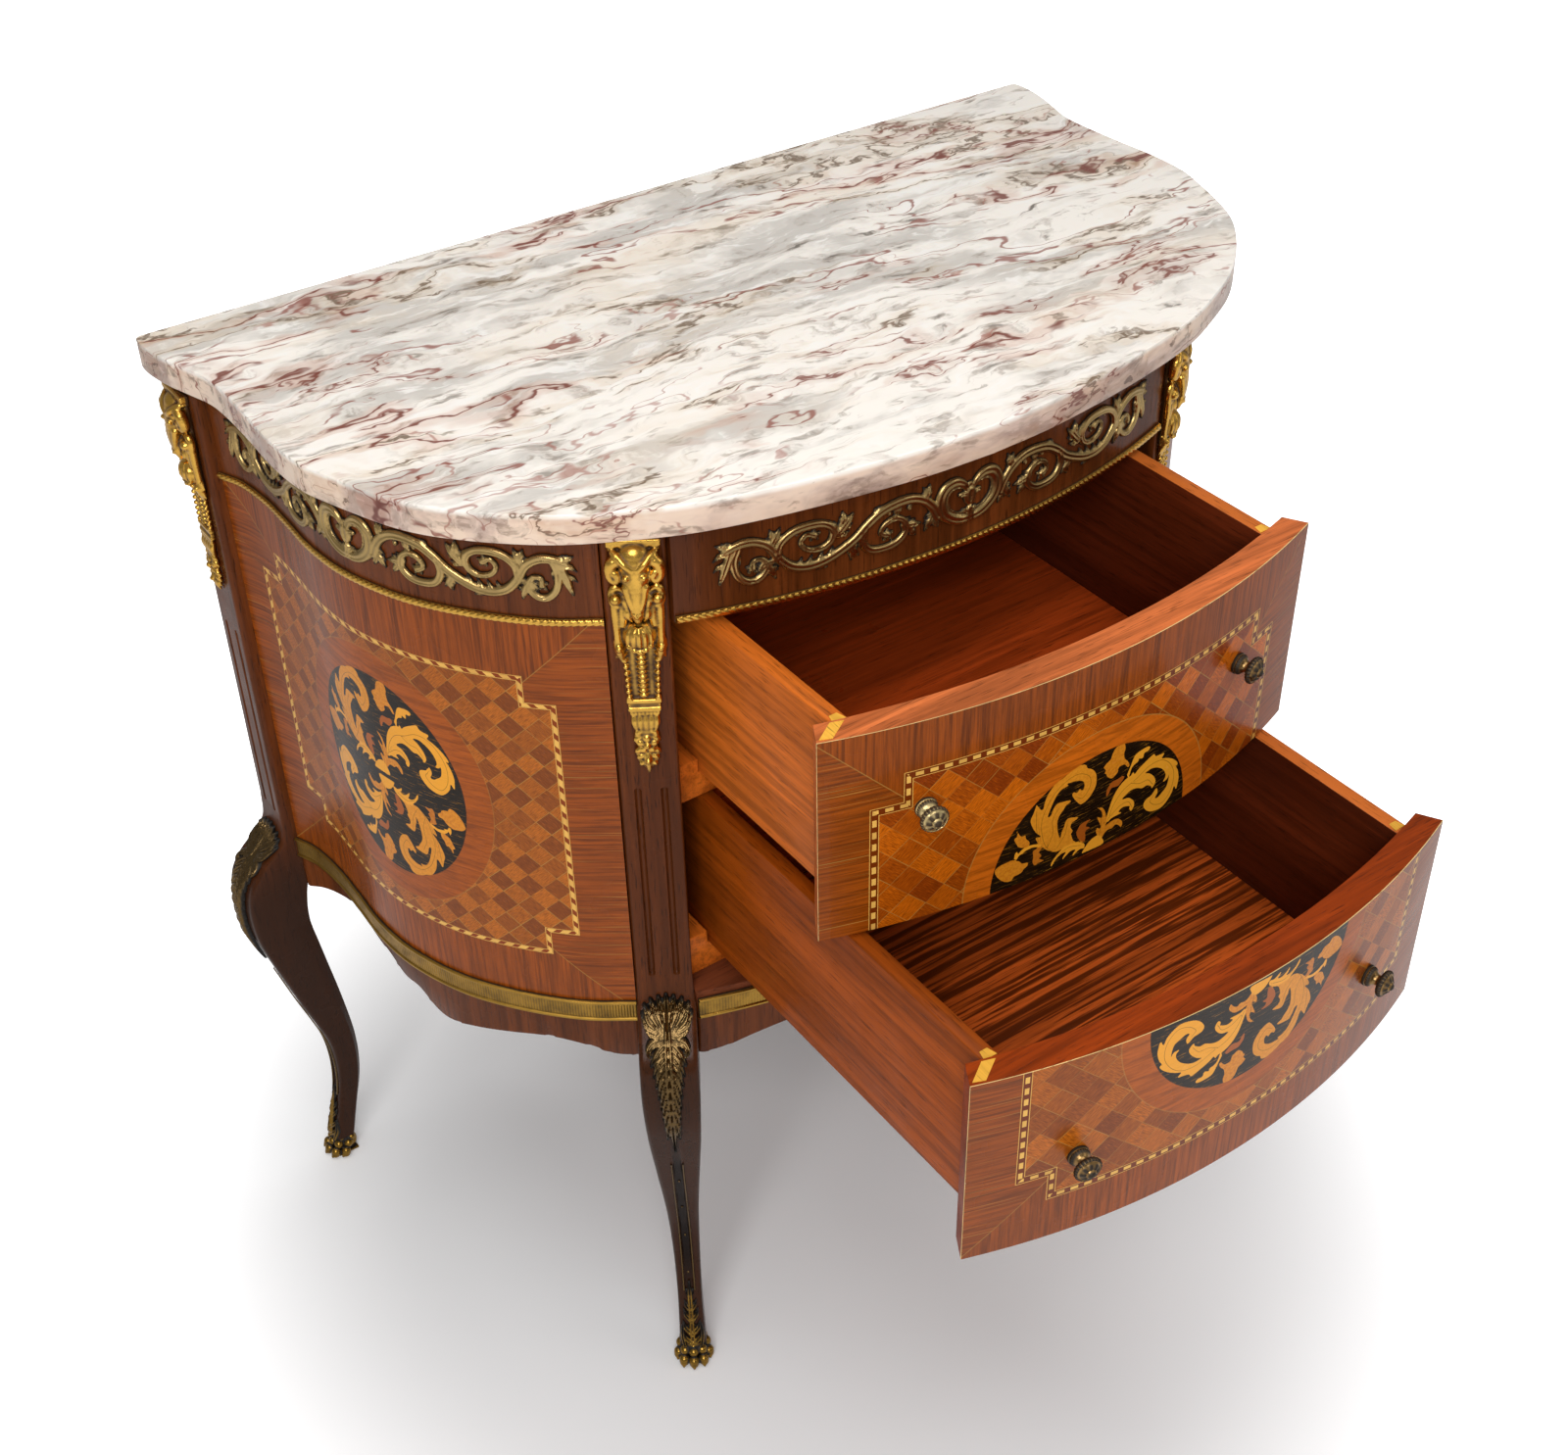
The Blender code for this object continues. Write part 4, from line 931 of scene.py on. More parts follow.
def marquetry_coat(name, half, notch, oval, ring, panel, rope, centre, line_scale, block_scale, check,
                   browner, haze=0.12, squares_scale=1.0):
    """A veneered front: crossbanded border, notched stringing, parquetry, ring and inlaid oval."""
    c = colours()
    s = sizes()
    coat = Coat(name)
    u, v, _ = coat.split(coat.flat_place())
    across = coat.math("ABSOLUTE", u)
    upward = coat.math("ABSOLUTE", v)

    def streaks(along_scale, up_scale, layer, *settings):
        return coat.noise(coat.join(coat.times(u, along_scale), coat.times(v, up_scale), layer), *settings)

    # Two overlapping boxes make the notched outline
    def box(half_u, half_v):
        out_u = coat.minus(across, half_u)
        out_v = coat.minus(upward, half_v)
        upright = coat.math("GREATER_THAN", out_u, out_v)
        return coat.math("MAXIMUM", out_u, out_v), coat.pick(upright, v, u)

    wide, wide_run = box(half[0], half[1] - notch[1])
    tall, tall_run = box(half[0] - notch[0], half[1])
    edge = coat.math("MINIMUM", wide, tall)
    first = coat.math("LESS_THAN", wide, tall)
    run = coat.pick(first, wide_run, tall_run)
    line_place = coat.math("ABSOLUTE", edge)
    half_line = s.stringing_width / 2 * line_scale
    period = s.block_length * block_scale
    line = coat.math("LESS_THAN", line_place, half_line)
    trim = coat.math("GREATER_THAN", line_place, half_line - stringing_trim)
    slanted = coat.plus(run, coat.times(edge, rope))
    beat = coat.math("FRACT", coat.math("DIVIDE", slanted, period))
    half_block = half_line - block_inset + rope_inset * rope
    block = coat.times(coat.math("LESS_THAN", beat, 0.56), coat.math("LESS_THAN", line_place, half_block))
    block_number = coat.math("FLOOR", coat.math("DIVIDE", slanted, period))
    block_tone = coat.level(coat.chance(coat.join(block_number, 2.5, 3.5)), 0.0, 1.0, 0.78, 1.08)
    pale = coat.math("MAXIMUM", coat.times(block, block_tone), coat.times(trim, 0.85))

    # Parquetry squares standing on their corners
    a = coat.math("DIVIDE", u, 2 * s.square_width * squares_scale)
    b = coat.math("DIVIDE", v, 2 * s.square_height * squares_scale)
    up_cell = coat.plus(a, b)
    down_cell = coat.minus(a, b)
    cell_i = coat.math("FLOOR", up_cell)
    cell_j = coat.math("FLOOR", down_cell)
    chance = coat.chance(coat.join(cell_i, cell_j, 0.5))
    luck = coat.chance(coat.join(cell_i, cell_j, 9.5))
    odd = coat.math("FLOORED_MODULO", coat.plus(cell_i, cell_j), 2.0)
    fract_i = coat.math("FRACT", up_cell)
    fract_j = coat.math("FRACT", down_cell)
    near_i = coat.math("MINIMUM", fract_i, coat.minus(1.0, fract_i))
    near_j = coat.math("MINIMUM", fract_j, coat.minus(1.0, fract_j))
    joint = coat.level(coat.math("MINIMUM", near_i, near_j), 0.022, 0.008)
    joint = coat.times(joint, coat.level(luck, 0.30, 0.95, 0.20, 0.85))
    shift = coat.times(chance, 37.0)
    up_place = coat.join(coat.times(up_cell, 1.2), coat.plus(coat.times(down_cell, 14.0), shift), 0.0)
    down_place = coat.join(coat.plus(coat.times(up_cell, 14.0), shift), coat.times(down_cell, 1.2), 0.0)
    grain = coat.pick(odd, coat.noise(up_place, 2.2, 4.0, 0.6), coat.noise(down_place, 2.2, 4.0, 0.6))
    squares_tone = coat.plus(coat.times(odd, check), coat.times(chance, 1.0 - check))
    squares_tone = coat.level(squares_tone, 0.10, 0.90)
    # browner blends the colours towards brown and fades the ring's edge; on the lower drawer front this is
    # painted sheen, besides its real hazier coat
    dark, light = (blend(own, brown, browner) for own, brown in
                   ((c.dark_square, tint(130, 68, 18)), (c.light_square, tint(180, 102, 28))))
    squares = coat.mix(squares_tone, dark, light)
    squares = coat.mix(coat.level(grain, 0.42, 0.62, 0.0, 0.60), squares, shade(dark, 0.48))
    squares = coat.mix(coat.level(grain, 0.42, 0.30, 0.0, 0.40), squares, shade(light, 1.35))
    squares = coat.mix(joint, squares, shade(c.stringing, 0.55))

    # Crossbanded border with mitred corners
    out_side = coat.minus(across, panel[0])
    out_top = coat.minus(upward, panel[1])
    at_side = coat.math("GREATER_THAN", out_side, out_top)
    mitre = coat.level(coat.math("ABSOLUTE", coat.minus(out_side, out_top)), mitre_width, mitre_core)
    ribs = coat.pick(at_side, streaks(6.0, 190.0, 0.0, 2.5, 5.0, 0.66, 0.5),
                     streaks(190.0, 6.0, 3.0, 2.5, 5.0, 0.66, 0.5))
    cloud = coat.noise(coat.flat_place(), 16.0, 4.0, 0.6)
    border = coat.mix(coat.level(ribs, 0.32, 0.72), shade(c.border, 1.30), shade(c.border, 0.42))
    border = coat.mix(coat.level(cloud, 0.4, 0.7, 0.0, 0.4), border, shade(c.border, 0.6))
    lines = coat.times(coat.level(streaks(3.0, 420.0, 1.0, 2.0, 2.0, 0.6, 0.2), 0.62, 0.70), at_side)
    border = coat.mix(coat.times(lines, 0.42), border, shade(c.stringing, 0.75))
    border = coat.mix(coat.times(mitre, 0.45), border, shade(c.stringing, 0.6))

    # Ring and oval
    moved = coat.minus(u, centre[0])
    lifted = coat.minus(v, centre[1])

    def ellipse(size):
        x_part = coat.math("POWER", coat.math("ABSOLUTE", coat.math("DIVIDE", moved, size[0])), 2.0)
        y_part = coat.math("POWER", coat.math("ABSOLUTE", coat.math("DIVIDE", lifted, size[1])), 2.0)
        return coat.math("SQRT", coat.plus(x_part, y_part))

    ring_grain = streaks(9.0, 95.0, 7.0, 2.4, 5.0, 0.66, 0.8)
    ring_wood = blend(c.ring, c.border, browner)
    ring_pores = streaks(90.0, 620.0, 2.0, 1.6, 3.0, 0.6)
    ring_tone = coat.mix(coat.level(ring_grain, 0.35, 0.68), shade(ring_wood, 1.20), shade(ring_wood, 0.66))
    ring_tone = coat.mix(coat.level(ring_pores, 0.56, 0.70, 0.0, 0.55), ring_tone, shade(ring_wood, 0.45))
    oval_grain = streaks(26.0, 330.0, 5.0, 2.6, 4.0, 0.62, 0.3)
    ground = coat.mix(coat.level(oval_grain, 0.40, 0.60), shade(c.oval, 0.5), shade(c.oval, 1.2))
    ground = coat.mix(coat.level(oval_grain, 0.58, 0.68, 0.0, 0.8), ground, shade(c.inlay, 0.42))

    # Inlaid leaves with engraved lines
    scroll = coat.attribute("scroll")
    vein = coat.attribute("vein")
    tone = coat.attribute("tone")
    speckle = coat.noise(coat.flat_place(), 420.0, 4.0, 0.65)
    amber = coat.mix(coat.level(speckle, 0.35, 0.7), tint(220, 140, 34), tint(196, 112, 24))
    leaves = coat.mix(coat.level(oval_grain, 0.3, 0.75, 0.0, 0.25), c.inlay, shade(c.inlay, 0.72))
    leaves = coat.mix(coat.level(tone, 0.0, 0.55), leaves, amber)
    leaves = coat.mix(coat.level(tone, 0.60, 1.0, 0.0, 0.9), leaves, tint(160, 78, 22))
    engraved = coat.level(coat.math("ABSOLUTE", vein), engraving_width, engraving_core)
    leaves = coat.mix(coat.times(engraved, 0.65), leaves, shade(c.inlay, 0.16))
    inlaid = coat.level(scroll, inlay_joint, -inlay_joint)
    ground = coat.mix(inlaid, ground, leaves)

    inside = coat.math("LESS_THAN", edge, 0.0)
    colour = coat.mix(inside, border, squares)
    around = ellipse(ring)
    colour = coat.mix(coat.level(around, 1.004, 0.996), colour, ring_tone)
    rim = coat.level(coat.math("ABSOLUTE", coat.minus(around, 1.0)), 0.006, 0.002)
    colour = coat.mix(coat.times(rim, 0.5 - 0.4 * browner), colour, shade(c.stringing, 0.6))
    colour = coat.mix(coat.level(ellipse(oval), 1.004, 0.996), colour, ground)
    string_tone = coat.mix(pale, shade(c.dark_square, 0.60 + 0.30 * rope), c.stringing)
    colour = coat.mix(line, colour, string_tone)
    colour = coat.mix(chipped_edge(coat, across, panel[0] - chip_width), colour, tint(222, 212, 198))
    coat.set("Base Color", colour)
    worn = coat.noise(coat.flat_place(), 9.0, 4.0, 0.6)
    coat.set("Roughness", coat.level(worn, 0.3, 0.75, 0.22, 0.34))
    coat.set("Specular IOR Level", 0.09)
    coat.set("Coat Weight", haze)
    coat.set("Coat Roughness", 0.08 if haze < 0.2 else 0.26)
    coat.bump(coat.plus(coat.times(ribs, 0.6), coat.times(joint, -0.5)), veneer_grain, 0.25)
    return coat.material


def chipped_edge(coat, across, start):
    """Share of bare filler along the front edge of the left panel, where the veneer has chipped."""
    place = coat.object_place()
    x, y, z = coat.split(place)
    left_front = coat.times(coat.math("LESS_THAN", x, 0.0), coat.math("LESS_THAN", y, 0.0))
    height = coat.times(coat.level(z, *chip_low), coat.level(z, *chip_high))
    ragged = coat.noise(place, 160.0, 3.0, 0.6)
    out = coat.plus(across, coat.times(coat.minus(ragged, 0.5), chip_rag))
    return coat.times(coat.math("GREATER_THAN", out, start),
                     coat.times(left_front, height))


drawer_marquetry = ((0.1735, 0.1235), (0.0220, 0.0235), (0.0873, 0.0856), (0.108, 0.1055), (0.2115, 0.164),
                    0.0, drawer_oval_shift, 1.0, 1.0, 0.22)
made_coats = {}


def coat_of(name):
    """The shared materials, each made the first time that it is asked for."""
    if name in made_coats:
        return made_coats[name]
    c = colours()
    woods = {
        "mahogany upright": ("mahogany upright", 2, c.mahogany, 0.28, 0.12),
        "leg wood": ("leg wood", 2, c.mahogany, 0.28, 0.06, 1.0, 0.0, tint(48, 27, 15)),
        "upper core": ("upper drawer front wood", 0, tint(206, 110, 58), 0.40, 0.05, 1.0),
        "lower core": ("lower drawer front wood", 0, tint(146, 56, 10), 0.36, 0.05, 0.9),
        # The veneer's cut edge, coloured paler than the veneer itself: partly its real edge, partly a painted
        # highlight along the fronts' arrises
        "veneer edge": ("veneer edge", 0, tint(240, 206, 140), 0.45, 0.05, 0.5),
        "drawer side": ("drawer side wood", 1, tint(196, 100, 30), 0.40, 0.05, 0.9),
        "lower side": ("lower drawer side wood", 1, tint(150, 68, 10), 0.40, 0.04, 0.9),
        # The right drawer sides are a darker copy of the drawer side wood: painted shade on all but their
        # upper faces, which keep the lit colour
        "painted shade side": ("right drawer side wood", 1, tint(88, 34, 13), 0.40, 0.05, 0.9, 0.0, None,
                      tint(196, 104, 42)),
        "drawer floor": ("drawer floor wood", 0, tint(176, 68, 22), 0.34, 0.05, 0.9),
        "striped floor": ("striped drawer floor", 0, tint(204, 92, 32), 0.34, 0.05, 0.9, 0.9),
        "case wood": ("case wood", 0, tint(104, 52, 28), 0.55, 0.0, 0.8),
        "back wood": ("back board wood", 2, tint(128, 88, 56), 0.70, 0.0, 0.9),
        "pale wood": ("dovetail wood", 1, tint(236, 176, 66), 0.40, 0.1, 0.5),
    }
    brasses = {
        "gilt": ("gilt brass", c.gilt, tint(70, 42, 12), 0.22, 0.26),
        "aged": ("aged brass", c.aged, tint(34, 22, 12), 0.27, 0.45),
        "antique": ("antique brass", tint(108, 86, 54), tint(20, 13, 6), 0.24, 0.92),
        "band": ("band brass", shade(c.gilt, 0.52), tint(40, 27, 9), 0.27, 0.50),
        "paw": ("paw brass", shade(c.gilt, 0.38), tint(22, 14, 6), 0.24, 1.00),
        "knob": ("knob brass", tint(150, 118, 74), tint(40, 30, 18), 0.28, 0.4),
        "bright knob": ("bright knob", tint(212, 188, 134), tint(60, 44, 24), 0.34, 0.1),
    }
    fronts = {
        "panel marquetry": ((0.1505, 0.1255), (0.022, 0.022), (0.0752, 0.090), (0.097, 0.112),
                            (0.1850, 0.1765), 1.0, panel_oval_shift, 0.70, 1.18, 0.50, 0.75, 0.25, 0.86),
        "upper marquetry": (*drawer_marquetry, 0.0),
        # The lower front is the same veneer blended browner: partly painted sheen, besides its hazier coat
        "lower marquetry": (*drawer_marquetry, 0.6, 0.34),
    }
    if name == "marble":
        made_coats[name] = marble_coat()
    elif name in woods:
        made_coats[name] = plain_wood(*woods[name])
    elif name in brasses:
        made_coats[name] = brass_coat(*brasses[name])
    else:
        made_coats[name] = marquetry_coat(name, *fronts[name])
    return made_coats[name]


# Pieces


def build_marble():
    half_width = case_half_width + marble_side_overhang
    depth = frieze_depth + front_bow + marble_front_overhang
    right = [np.array((half_width * x, depth * y)) for x, y in marble_shares]
    right = [np.array((0.0, depth)), *right, np.array((right[-1][0] - marble_arris, 0.0))]
    line = smooth(right, line_steps)
    line = [p for p in line[:-1] if p[1] > 0.0] + [right[-1]]
    outline = [(-x, y) for x, y in reversed(line[1:])] + [tuple(p) for p in line]
    bm = bmesh.new()
    face = bm.faces.new([bm.verts.new((x, back_y - y, marble_low)) for x, y in outline])
    bmesh.ops.translate(bm, verts=extruded(bm, [face]), vec=(0.0, 0.0, marble_high - marble_low))
    rims = [edge for edge in bm.edges if abs(edge.verts[0].co.z - edge.verts[1].co.z) < gap]
    bmesh.ops.bevel(bm, geom=rims, offset=marble_arris, offset_type="OFFSET", segments=5, profile=0.5,
                    affect="EDGES", material=-1, clamp_overlap=True)
    place_piece("marble_slab", bm, "case", [coat_of("marble")], ["marble_top"])


def board(node, course, step, low, high, edge):
    """A mahogany board bent to a course; low is a height or a function of the place along."""
    bm = flat_sheet(stations(course.lengths[0], course.lengths[-1], step), np.linspace(0.0, 1.0, 3))
    flat = coordinates(bm)
    bottom = low(flat[:, 0]) if callable(low) else low
    flat[:, 2] = bottom + (high - bottom) * flat[:, 2]
    set_coordinates(bm, flat)
    raise_sheet(bm, -panel_thickness)
    soften(bm, edge)
    course.bend(bm)
    place_piece(node + "_board", bm, "case", [coat_of("mahogany upright")], [node])


def apron_low(shares, first, last):
    table = Table([row[0] for row in shares], [row[1] for row in shares])

    def low(along):
        share = (along - first) / (last - first)
        return band_low - apron_drop * table.at(share)
    return low


def build_skin():
    both = list(front_apron_shares) + [(1.0 - p, v) for p, v in reversed(front_apron_shares[:-1])]
    faces = [("front", front_course(), both)]
    faces += [(name, side_course(side), side_apron_shares) for name, side in sides]
    for name, course, shares in faces:
        low = apron_low(shares, course.lengths[0], course.lengths[-1])
        board(name + "_frieze", course, coarse, frieze_low, case_top, frieze_edge)
        board(name + "_apron", course, coarse / 2, low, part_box(name + "_apron")[1].z, apron_edge)


# Inlaid leaves: each shape is a tone, from pale to reddish, and its outline as along and up, point by
# point, in millimetres from the oval's centre; each has a twin, turned half round
inlay_shapes = (
    # Great leaf on the left
    (0.35, (-43.8, 21.3, -50.1, 29.1, -53.3, 35.9, -48.2, 34.4, -53.2, 40.3, -57.1, 48, -58.3, 53.4, -56.6,
         57.5, -55.2, 61.7, -54.3, 64.6, -52.4, 61.7, -50.2, 58.5, -48.6, 58.8, -47.8, 63.3, -46.2, 68.5,
         -43.1, 73.1, -38.9, 77.2, -33.3, 78.6, -28.9, 81.1, -23.2, 83.3, -17.3, 82.7, -14.5, 80.6, -13.5,
         78, -9.4, 75.3, -5.9, 70.8, -4.4, 65.3, -4.5, 59.3, -6.8, 54.3, -10.7, 50.1, -16, 48.3, -18.5,
         50.2, -21.9, 54.7, -24.7, 59.6, -24, 62.3, -21.2, 60.4, -19.5, 61.5, -18.5, 63.4, -17.5, 61.1,
         -15.3, 60.7, -14.8, 64.1, -15.9, 67.6, -19.1, 70, -23.4, 71.6, -27.5, 71.9, -30.5, 72.6, -28.5,
         69.7, -31.4, 69.8, -35.4, 68.6, -38.5, 65.2, -41, 60.3, -42.9, 55.1, -44.3, 50.9, -43.6, 49.2,
         -41.4, 50.9, -40, 55.1, -37.4, 58.1, -32.8, 57.8, -26.8, 56.6, -25.7, 54.9, -29.5, 53.4, -31, 51,
         -34, 47.5, -35.7, 43.4, -35.5, 37.3, -34.1, 30.4, -31.9, 25.5, -31.5, 30.5, -29.7, 34.6, -28.8,
         38.5, -26.7, 40.8, -21.8, 39.5, -17.4, 37.4, -20.3, 36.3, -23.2, 35.3, -24.1, 32, -22.7, 29.5,
         -21.6, 27.1, -23, 25.9, -22.1, 22.4, -19.9, 17.6, -16, 15.1, -23.4, 16.8, -28.2, 16.3, -32.8, 15,
         -37.7, 16.6)),
    # Red leaflet
    (1, (-17.1, 27.2, -15.5, 29.8, -12.5, 30.8, -7.6, 30.9, -5.6, 30.3, -9.3, 28.6, -10, 25.9, -7.6, 24.4,
         -5.8, 22.2, -8.7, 22.8, -10.4, 21.1, -9.7, 16.4, -10.3, 12.7, -13.5, 14.5, -16.6, 19.1, -18.3,
         24.3)),
    # Calyx
    (0, (-38.6, 2.9, -38.1, 6.8, -35.4, 10.6, -31.6, 13.8, -28.2, 16.6, -22.2, 16.8, -16, 15.1, -10, 10.3,
         -10.3, 6.7, -13.5, 7.6, -16.5, 6.5, -20.2, 4.2, -18.8, 7.7, -16.6, 8.5, -21, 10, -25.1, 8.2, -28.9,
         5, -27.6, 8.7, -26, 11.1, -30.2, 11.2, -34.7, 8.3, -36.8, 4.9)),
    # Block at the middle
    (0, (-11.8, 2.6, -9.7, 6.3, -4.5, 11.3, 2.3, 12.3, 5.9, 8, 7.6, 2.1, -2.4, 2.1)),
    # Great leaf on the right
    (0, (9.1, 20.8, 9.1, 27, 10.4, 32.6, 12.3, 39, 15.6, 44.8, 19.6, 48.8, 24.6, 51.3, 28.7, 51.9, 29.7,
         54.5, 31.8, 51.1, 33.7, 52.8, 37.4, 55.1, 42.6, 57.4, 46.5, 59, 49.8, 59.6, 51.6, 56.8, 56.7, 55.6,
         60.7, 54.9, 59.2, 52.4, 58, 51.3, 63.3, 49.1, 70.4, 44.6, 76, 38.9, 77, 35.3, 74.3, 36.6, 78, 30.6,
         80.1, 23.2, 79.9, 18.3, 78.9, 12.8, 75.9, 17.7, 74.5, 12.5, 70, 7.4, 63.8, 4.5, 54.8, 6.2, 48.6,
         10.2, 44.5, 16.2, 45.3, 20.2, 48.6, 21.6, 52, 22.3, 54.5, 24.7, 56.7, 26.2, 58.2, 21.4, 55.9, 17.4,
         59.2, 16.5, 63.2, 18.7, 67.2, 21.5, 68.6, 27, 68.6, 32, 66.9, 28.6, 62.3, 28.3, 64.5, 30.5, 64.7,
         34.1, 61.8, 39.4, 56.9, 43.9, 50.8, 47, 46.6, 47.4, 42.6, 46.4, 47, 44.1, 52.7, 38, 54.5, 32.2,
         51.3, 28.6, 50.1, 31.4, 45.5, 34.4, 41.4, 34.1, 35.6, 37.1, 30.1, 38.1, 25, 36.4, 22, 33.9, 28.1,
         32.3, 33.4, 27.1, 34.7, 22, 32.4, 18.6, 30.2, 21.3, 30.5, 23.6, 26.2, 25.8, 22.8, 26.3, 19.5, 24.3,
         22.9, 21.9, 16.8, 21.9, 12.9, 21.6, 10.5, 20.1)),
    # Its root
    (0.5, (-1.9, 38.6, 3.1, 36.2, 6, 32.3, 7.9, 26.4, 9.1, 20.8, 8.2, 17.5, 11.3, 18.5, 15.1, 19, 19.8,
         18.1, 24.4, 13, 23.8, 8.5, 20.5, 12.3, 17.2, 13.9, 15.2, 12.1, 11.2, 12.8, 8.2, 11.3, 5.9, 8.7,
         2.4, 11.7, -0.2, 16.1, 0.3, 19.6, 3.4, 17.2, 3.7, 19.8, 0.9, 26.1, -1, 30.4, 3.4, 26.8, 4.5, 28.1,
         3.5, 32.3, 0.6, 36.2)),
    # Upper flower
    (0.55, (1.1, 71.6, 3.6, 74.1, 7.1, 76, 8.5, 80.6, 11.3, 84.1, 15.7, 84.4, 18.9, 83.6, 20.1, 78.7, 19.2,
         75.6, 20.5, 70.2, 24.2, 65.7, 25.7, 61.6, 24.1, 61.2, 21.8, 64.1, 19.7, 65.5, 15.3, 64.9, 15, 61.4,
         12.7, 59.5, 9.6, 58.4, 5.5, 61.8, 4.2, 64.8, 2.3, 66.3, 3.6, 68.1)),
    # Its leaf
    (1, (19.9, 55.8, 15.7, 55, 10.6, 55.1, 8.3, 53.2, 6.1, 49.4, 6.4, 44.1, 8.4, 45.8, 10.5, 49.7, 16.4,
         48.6, 20, 51.1, 21.9, 53.8)),
    # Sprig beside it
    (0, (24.2, 54.5, 26.3, 58.9, 27.8, 63, 30.5, 68.3, 34.9, 69.7, 42.3, 69.8, 44.9, 67.9, 42.9, 65.7, 39.1,
         65.8, 38.6, 61.8, 34.4, 63.3, 34, 61.1, 30.1, 60, 27.6, 57, 26.2, 51.1)),
    # Left flower
    (0.5, (-84.6, 19.9, -82.3, 22.1, -79.1, 23.2, -75.4, 23.5, -71, 23.7, -65.3, 20.4, -62.9, 17.4, -58.1,
         16.2, -58.7, 13.1, -61.4, 11.8, -62.4, 9.7, -65.7, 8.7, -69, 8.3, -70.5, 5.8, -74.4, 6, -78.9, 9.2,
         -83, 14.9)),
    # Its stem
    (0.05, (-69.6, 24.3, -69.1, 28.2, -67.7, 30.3, -66.6, 27.5, -63.7, 29.8, -58.2, 31.1, -52.4, 29.8,
         -47.9, 27.1, -48.8, 26, -54.6, 28.1, -60.2, 27.8, -62.9, 27, -61.4, 26, -65.6, 25.8, -67.4, 23.2)),
    # Small leaf
    (0.55, (-68.5, 37.1, -70.7, 41.9, -68.3, 43.1, -68.9, 49.2, -66.2, 43.4, -63.8, 41.5, -61.9, 42, -60.9,
         38.1, -58.2, 34.7, -58.2, 31.2, -62.6, 31.3, -66.7, 33.6)),
    # Small leaf
    (0.8, (-54.9, 24.5, -51, 25.8, -47.3, 25, -49.4, 21.3, -47, 17.2, -49.2, 15.7, -44.1, 11.7, -48.9, 12.2,
         -52.3, 11.2, -54.3, 14.9, -54, 19.7)),
)

# Engraved lines in the great leaves: (along, up, half width) in millimetres
inlay_veins = (
    ((-36, 14, 1), (-44, 24, 1), (-48, 36, 1), (-49, 48, 1), (-46, 58, 1), (-40, 68, 1), (-30, 75, 1),
     (-20, 76, 1), (-11, 70, 1), (-9.5, 61, 1), (-15, 53.5, 1), (-20, 56, 1)),
    ((-43, 22, 1), (-39, 33, 1), (-40, 45, 1), (-36, 53, 1)),
    ((-34, 19, 1), (-28.5, 27, 1), (-27, 36, 1)),
    ((-51, 32, 1), (-53, 44, 1), (-54, 58, 1)),
    ((10, 22, 1), (14, 33, 1), (22, 42, 1), (34, 46, 1), (46, 51, 1), (58, 50, 1), (68, 42, 1), (74, 30, 1),
     (73, 17, 1), (66, 9, 1), (57, 11, 1), (51, 17, 1), (54, 21, 1)),
    ((30, 44, 1), (38, 40, 1), (46, 39, 1), (51, 33, 1)),
    ((12, 24, 1), (20, 29, 1), (28, 29, 1), (32, 23, 1)),
    ((-33, 11, 1), (-24, 14, 1), (-14, 11, 1)),
    ((3, 12, 1), (4, 24, 1), (2, 33, 1)),
)


def arabesque():
    """The inlaid shapes and their tones, each with its twin turned half round."""
    shapes = []
    for tone, outline in inlay_shapes:
        points = list(zip(outline[::2], outline[1::2]))
        ring = [tuple(p) for p in np.array(smooth([*points, points[0]], 3)[:-1]) / 1000]
        shapes.append((tone, ring))
        shapes.append((tone, [(-u, -v) for u, v in ring]))
    return shapes


def inside_depth(ring, along, up):
    """How far each point lies outside a closed outline; less than nothing inside it."""
    nearest = np.full(along.shape, 1.0)
    crossings = np.zeros(along.shape, dtype=bool)
    for (u0, v0), (u1, v1) in zip(ring, ring[1:] + ring[:1]):
        run_u = u1 - u0
        run_v = v1 - v0
        length = run_u ** 2 + run_v ** 2
        if length == 0.0:
            continue
        share = np.clip(((along - u0) * run_u + (up - v0) * run_v) / length, 0.0, 1.0)
        nearest = np.minimum(nearest, np.hypot(along - u0 - run_u * share, up - v0 - run_v * share))
        spans = (v0 > up) != (v1 > up)
        if run_v != 0.0:
            crossings ^= spans & (along < u0 + run_u * (up - v0) / run_v)
    return np.where(crossings, -nearest, nearest)


def write_arabesque(bm, along, up, turn, centre, scale):
    """Stores the inlay's outline, engraving and tone in the mesh."""
    flat = coordinates(bm)
    u = (flat[:, 0] - along) * turn - centre[0]
    v = flat[:, 2] - up - centre[1]
    close = (np.abs(u) < 0.100 * scale[0]) & (np.abs(v) < 0.095 * scale[1])
    near_u = u[close] / scale[0]
    near_v = v[close] / scale[1]
    outside = np.full(near_u.shape, 0.01)
    toned = np.zeros(near_u.shape)
    for tone, ring in arabesque():
        away = inside_depth(ring, near_u, near_v)
        better = away < outside
        outside = np.where(better, away, outside)
        toned = np.where(better, tone, toned)
    offset = measure(turned_round([stroke(*points) for points in inlay_veins]), near_u, near_v)[2]
    fields = []
    for values, rest in ((outside, 0.01), (offset, 0.01), (toned, 0.0)):
        field = np.full(len(flat), rest)
        field[close] = values
        fields.append(field)
    layers = [bm.verts.layers.float.new(name) for name in ("scroll", "vein", "tone")]
    for vert, *values in zip(bm.verts, *fields):
        for layer, value in zip(layers, values):
            vert[layer] = float(value)


def mixed_stations(low, high, fine_low, fine_high):
    """Grid lines that are close together between two places and wide apart elsewhere."""
    parts = [stations(fine_low, fine_high, fine)]
    if fine_low - low > gap:
        parts.insert(0, stations(low, fine_low, coarse)[:-1])
    if high - fine_high > gap:
        parts.append(stations(fine_high, high, coarse)[1:])
    return np.concatenate(parts)


